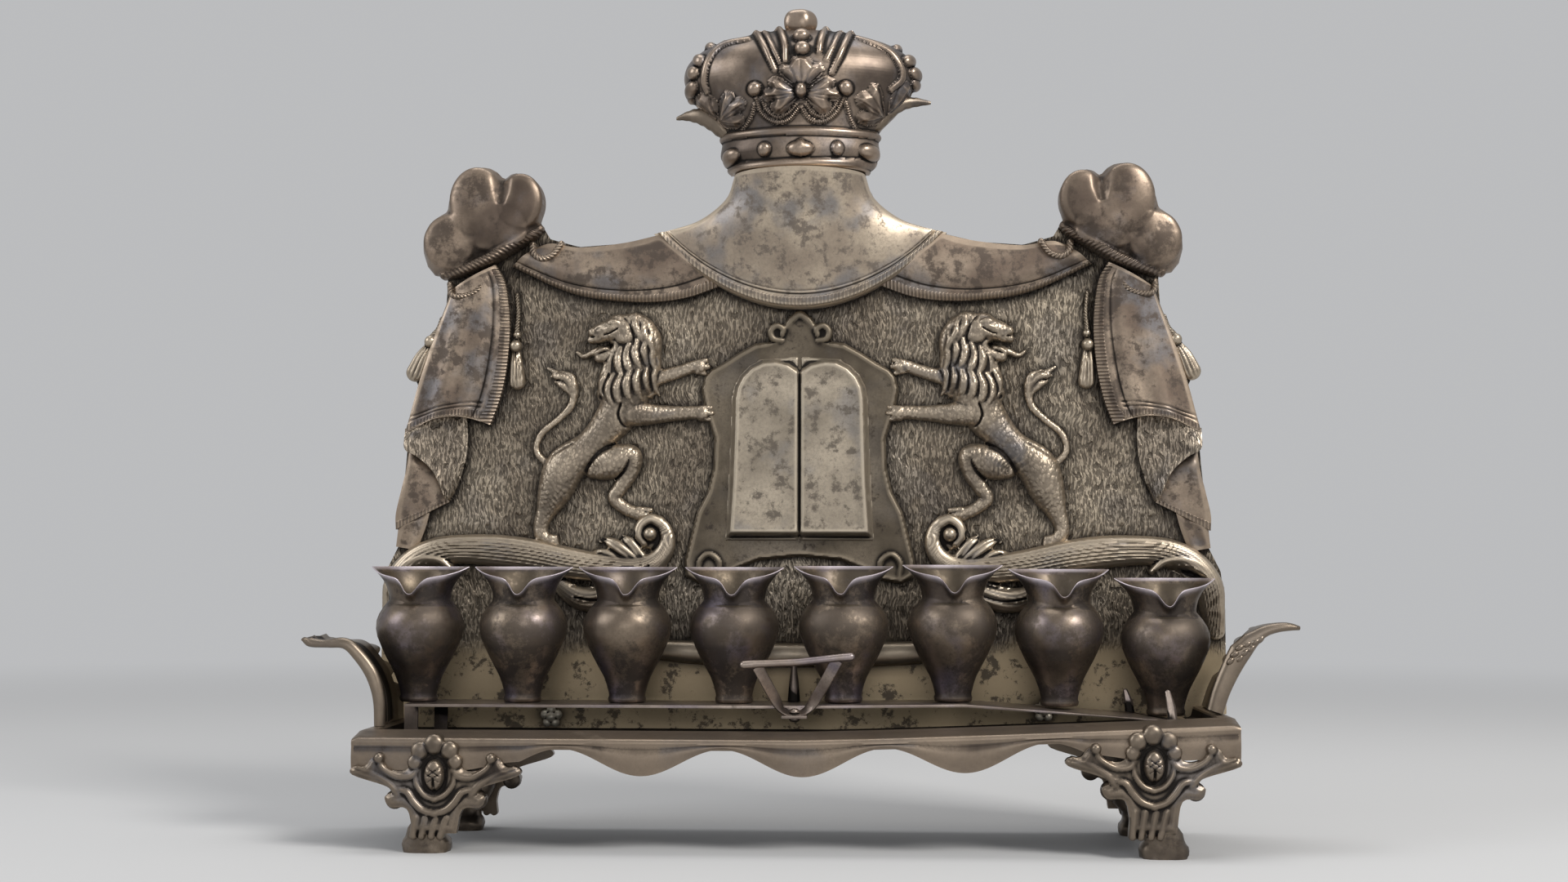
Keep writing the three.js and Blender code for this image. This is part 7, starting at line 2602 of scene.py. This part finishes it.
@dataclass
class Studio:
    """Pale floor, soft lights, plain world and the camera of the photo."""

    lens: float = 45.94
    sensor: float = 36.0
    yaw: float = 2.72
    pitch: float = 3.63
    roll: float = 0.135
    eye: tuple[float, float, float] = (0.0268, -0.649, 0.088)
    floor_tone: Colour = (0.53, 0.53, 0.53)
    backdrop: Colour = (0.5, 0.505, 0.515)
    floor_reach: float = 6.0
    fade: tuple[float, float] = (0.45, 1.4)
    aim: tuple[float, float, float] = (0, 0, 0.13)

    def floor(self) -> None:
        """Flat pale floor that fades into the plain background far out."""
        bm = bmesh.new()
        bmesh.ops.create_circle(bm, cap_ends=True, segments=96, radius=self.floor_reach)
        data = bpy.data.meshes.new("studio_floor")
        bm.to_mesh(data)
        bm.free()
        piece = bpy.data.objects.new("studio_floor", data)
        bpy.context.scene.collection.objects.link(piece)
        material = bpy.data.materials.new("studio paper")
        material.use_nodes = True
        material.node_tree.nodes.clear()
        w = Wiring(material.node_tree)
        look = {"Base Color": rgba(self.floor_tone), "Roughness": 0.7, "Specular IOR Level": 0.2}
        paper = w.put("ShaderNodeBsdfPrincipled", look)
        glow = w.put("ShaderNodeEmission", {"Color": rgba(self.backdrop), "Strength": 1.0})
        coords = w.coords()
        away = w.put("ShaderNodeVectorMath", {0: coords}, operation="LENGTH").outputs["Value"]
        share = w.times(w.ramp(away, *self.fade), self.direct(w))
        shader = w.put("ShaderNodeMixShader", {0: share, 1: paper.outputs[0], 2: glow.outputs[0]})
        w.put("ShaderNodeOutputMaterial", {"Surface": shader.outputs[0]})
        data.materials.append(material)

    def direct(self, w: Wiring) -> Socket:
        """Tells rays of the camera, of mirrors and of glass from others.

        Args:
            w: Wiring of the tree.

        Returns:
            One for those rays and nothing for others.
        """
        rays = w.put("ShaderNodeLightPath").outputs
        clear = w.sum("MAXIMUM", rays["Is Glossy Ray"], rays["Is Transmission Ray"])
        return w.sum("MAXIMUM", rays["Is Camera Ray"], clear)

    def lamp(self, name: str, spot: tuple[float, float, float], size: tuple[float, float], power: float,
             tint: Colour = (1, 1, 1)) -> None:
        """Adds a soft rectangular light that faces the lamp.

        Args:
            name: Name of the light.
            spot: Place in metres.
            size: Width and height in metres.
            power: Watts.
            tint: Colour of the light.
        """
        data = bpy.data.lights.new(name, "AREA")
        data.shape = "RECTANGLE"
        data.size, data.size_y = size
        data.energy = power
        data.color = tint
        light = bpy.data.objects.new(name, data)
        light.location = spot
        aim = Vector(self.aim) - Vector(spot)
        light.rotation_euler = aim.to_track_quat("-Z", "Y").to_euler()
        bpy.context.scene.collection.objects.link(light)

    def world(self) -> None:
        """Plain soft surroundings, with a plain pale background for the camera and reflections."""
        world = bpy.data.worlds.new("studio world")
        world.use_nodes = True
        bpy.context.scene.world = world
        world.node_tree.nodes.clear()
        w = Wiring(world.node_tree)
        light = w.put("ShaderNodeBackground", {"Color": rgba((0.82, 0.83, 0.85)), "Strength": 0.45})
        seen = w.put("ShaderNodeBackground", {"Color": rgba(self.backdrop), "Strength": 1.0})
        both = w.put("ShaderNodeMixShader", {0: self.direct(w), 1: light.outputs[0], 2: seen.outputs[0]})
        w.put("ShaderNodeOutputWorld", {"Surface": both.outputs[0]})

    def camera(self) -> None:
        """Camera of the photo."""
        data = bpy.data.cameras.new("photo camera")
        data.lens, data.sensor_width, data.sensor_fit = self.lens, self.sensor, "HORIZONTAL"
        data.clip_start, data.clip_end = 0.02, 20
        camera = bpy.data.objects.new("photo camera", data)
        yaw, pitch, roll = (math.radians(a) for a in (self.yaw, self.pitch, self.roll))
        ahead = Vector((-math.sin(yaw) * math.cos(pitch), math.cos(yaw) * math.cos(pitch), math.sin(pitch)))
        right = Vector((math.cos(yaw), math.sin(yaw), 0))
        up = right.cross(ahead)
        side = right * math.cos(roll) + up * math.sin(roll)
        top = up * math.cos(roll) - right * math.sin(roll)
        turn = Matrix((side, top, -ahead)).transposed()
        camera.matrix_world = Matrix.Translation(Vector(self.eye)) @ turn.to_4x4()
        bpy.context.scene.collection.objects.link(camera)
        bpy.context.scene.camera = camera

    def build(self) -> None:
        """Sets up everything round the lamp."""
        self.floor()
        self.lamp("key light", (0.85, -0.8, 1.05), (0.5, 0.5), 17.0, (1.0, 0.98, 0.95))
        self.lamp("front light", (0.1, -1.5, 0.4), (0.9, 0.5), 2.6)
        self.lamp("left light", (-1.1, -0.5, 0.75), (0.6, 0.8), 6.0, (0.95, 0.97, 1.0))
        self.lamp("top light", (0.0, 0.1, 1.3), (1.0, 0.5), 5.0)
        self.world()
        self.camera()
        bpy.context.scene.view_settings.view_transform = "Standard"


def dress_plate(finishes: Finishes) -> None:
    """Builds the backplate with all its relief.

    Args:
        finishes: All finishes.
    """
    reliefs: dict[str, tuple[ReliefPiece, Material]] = {}
    for side in Side:
        reliefs[f"lion_{side.word}"] = Lions().piece(side), finishes.hide
        reliefs[f"knot_{side.word}"] = Knots().piece(side), finishes.knot
        reliefs[f"scroll_{side.word}"] = Scrolls().piece(side), finishes.relief
        reliefs |= {node: (relief, finishes.relief) for node, relief in Tassels().pieces(side).items()}
    own = {"tablets": finishes.tablet, "tablet_frame": finishes.frame}
    for node, relief in TabletGroup().pieces().items():
        reliefs[node] = relief, own.get(node, finishes.relief)
    for node, (relief, finish) in reliefs.items():
        hang(relief.build(finish), Body.LAMP, "relief_silver", node)
    screws = Rosettes().pieces()
    for node, relief in screws.items():
        hang(relief.build(finishes.stud), Body.LAMP, "cast_silver", node)
    ornament = [*(relief for relief, _ in reliefs.values()), *screws.values()]
    cloths = Drapery().dress(finishes)
    hang(Backplate().build(finishes.plate, ornament, cloths), Body.LAMP, "plate_silver", "backplate")


def main() -> None:
    """Builds the lamp and its studio."""
    finishes = Finishes.make()
    dress_plate(finishes)
    Crown().dress(finishes)
    Bench().dress(finishes)
    Rack().dress(finishes)
    Jugs().dress(finishes)
    Studio().build()


if __name__ == "__main__":
    main()
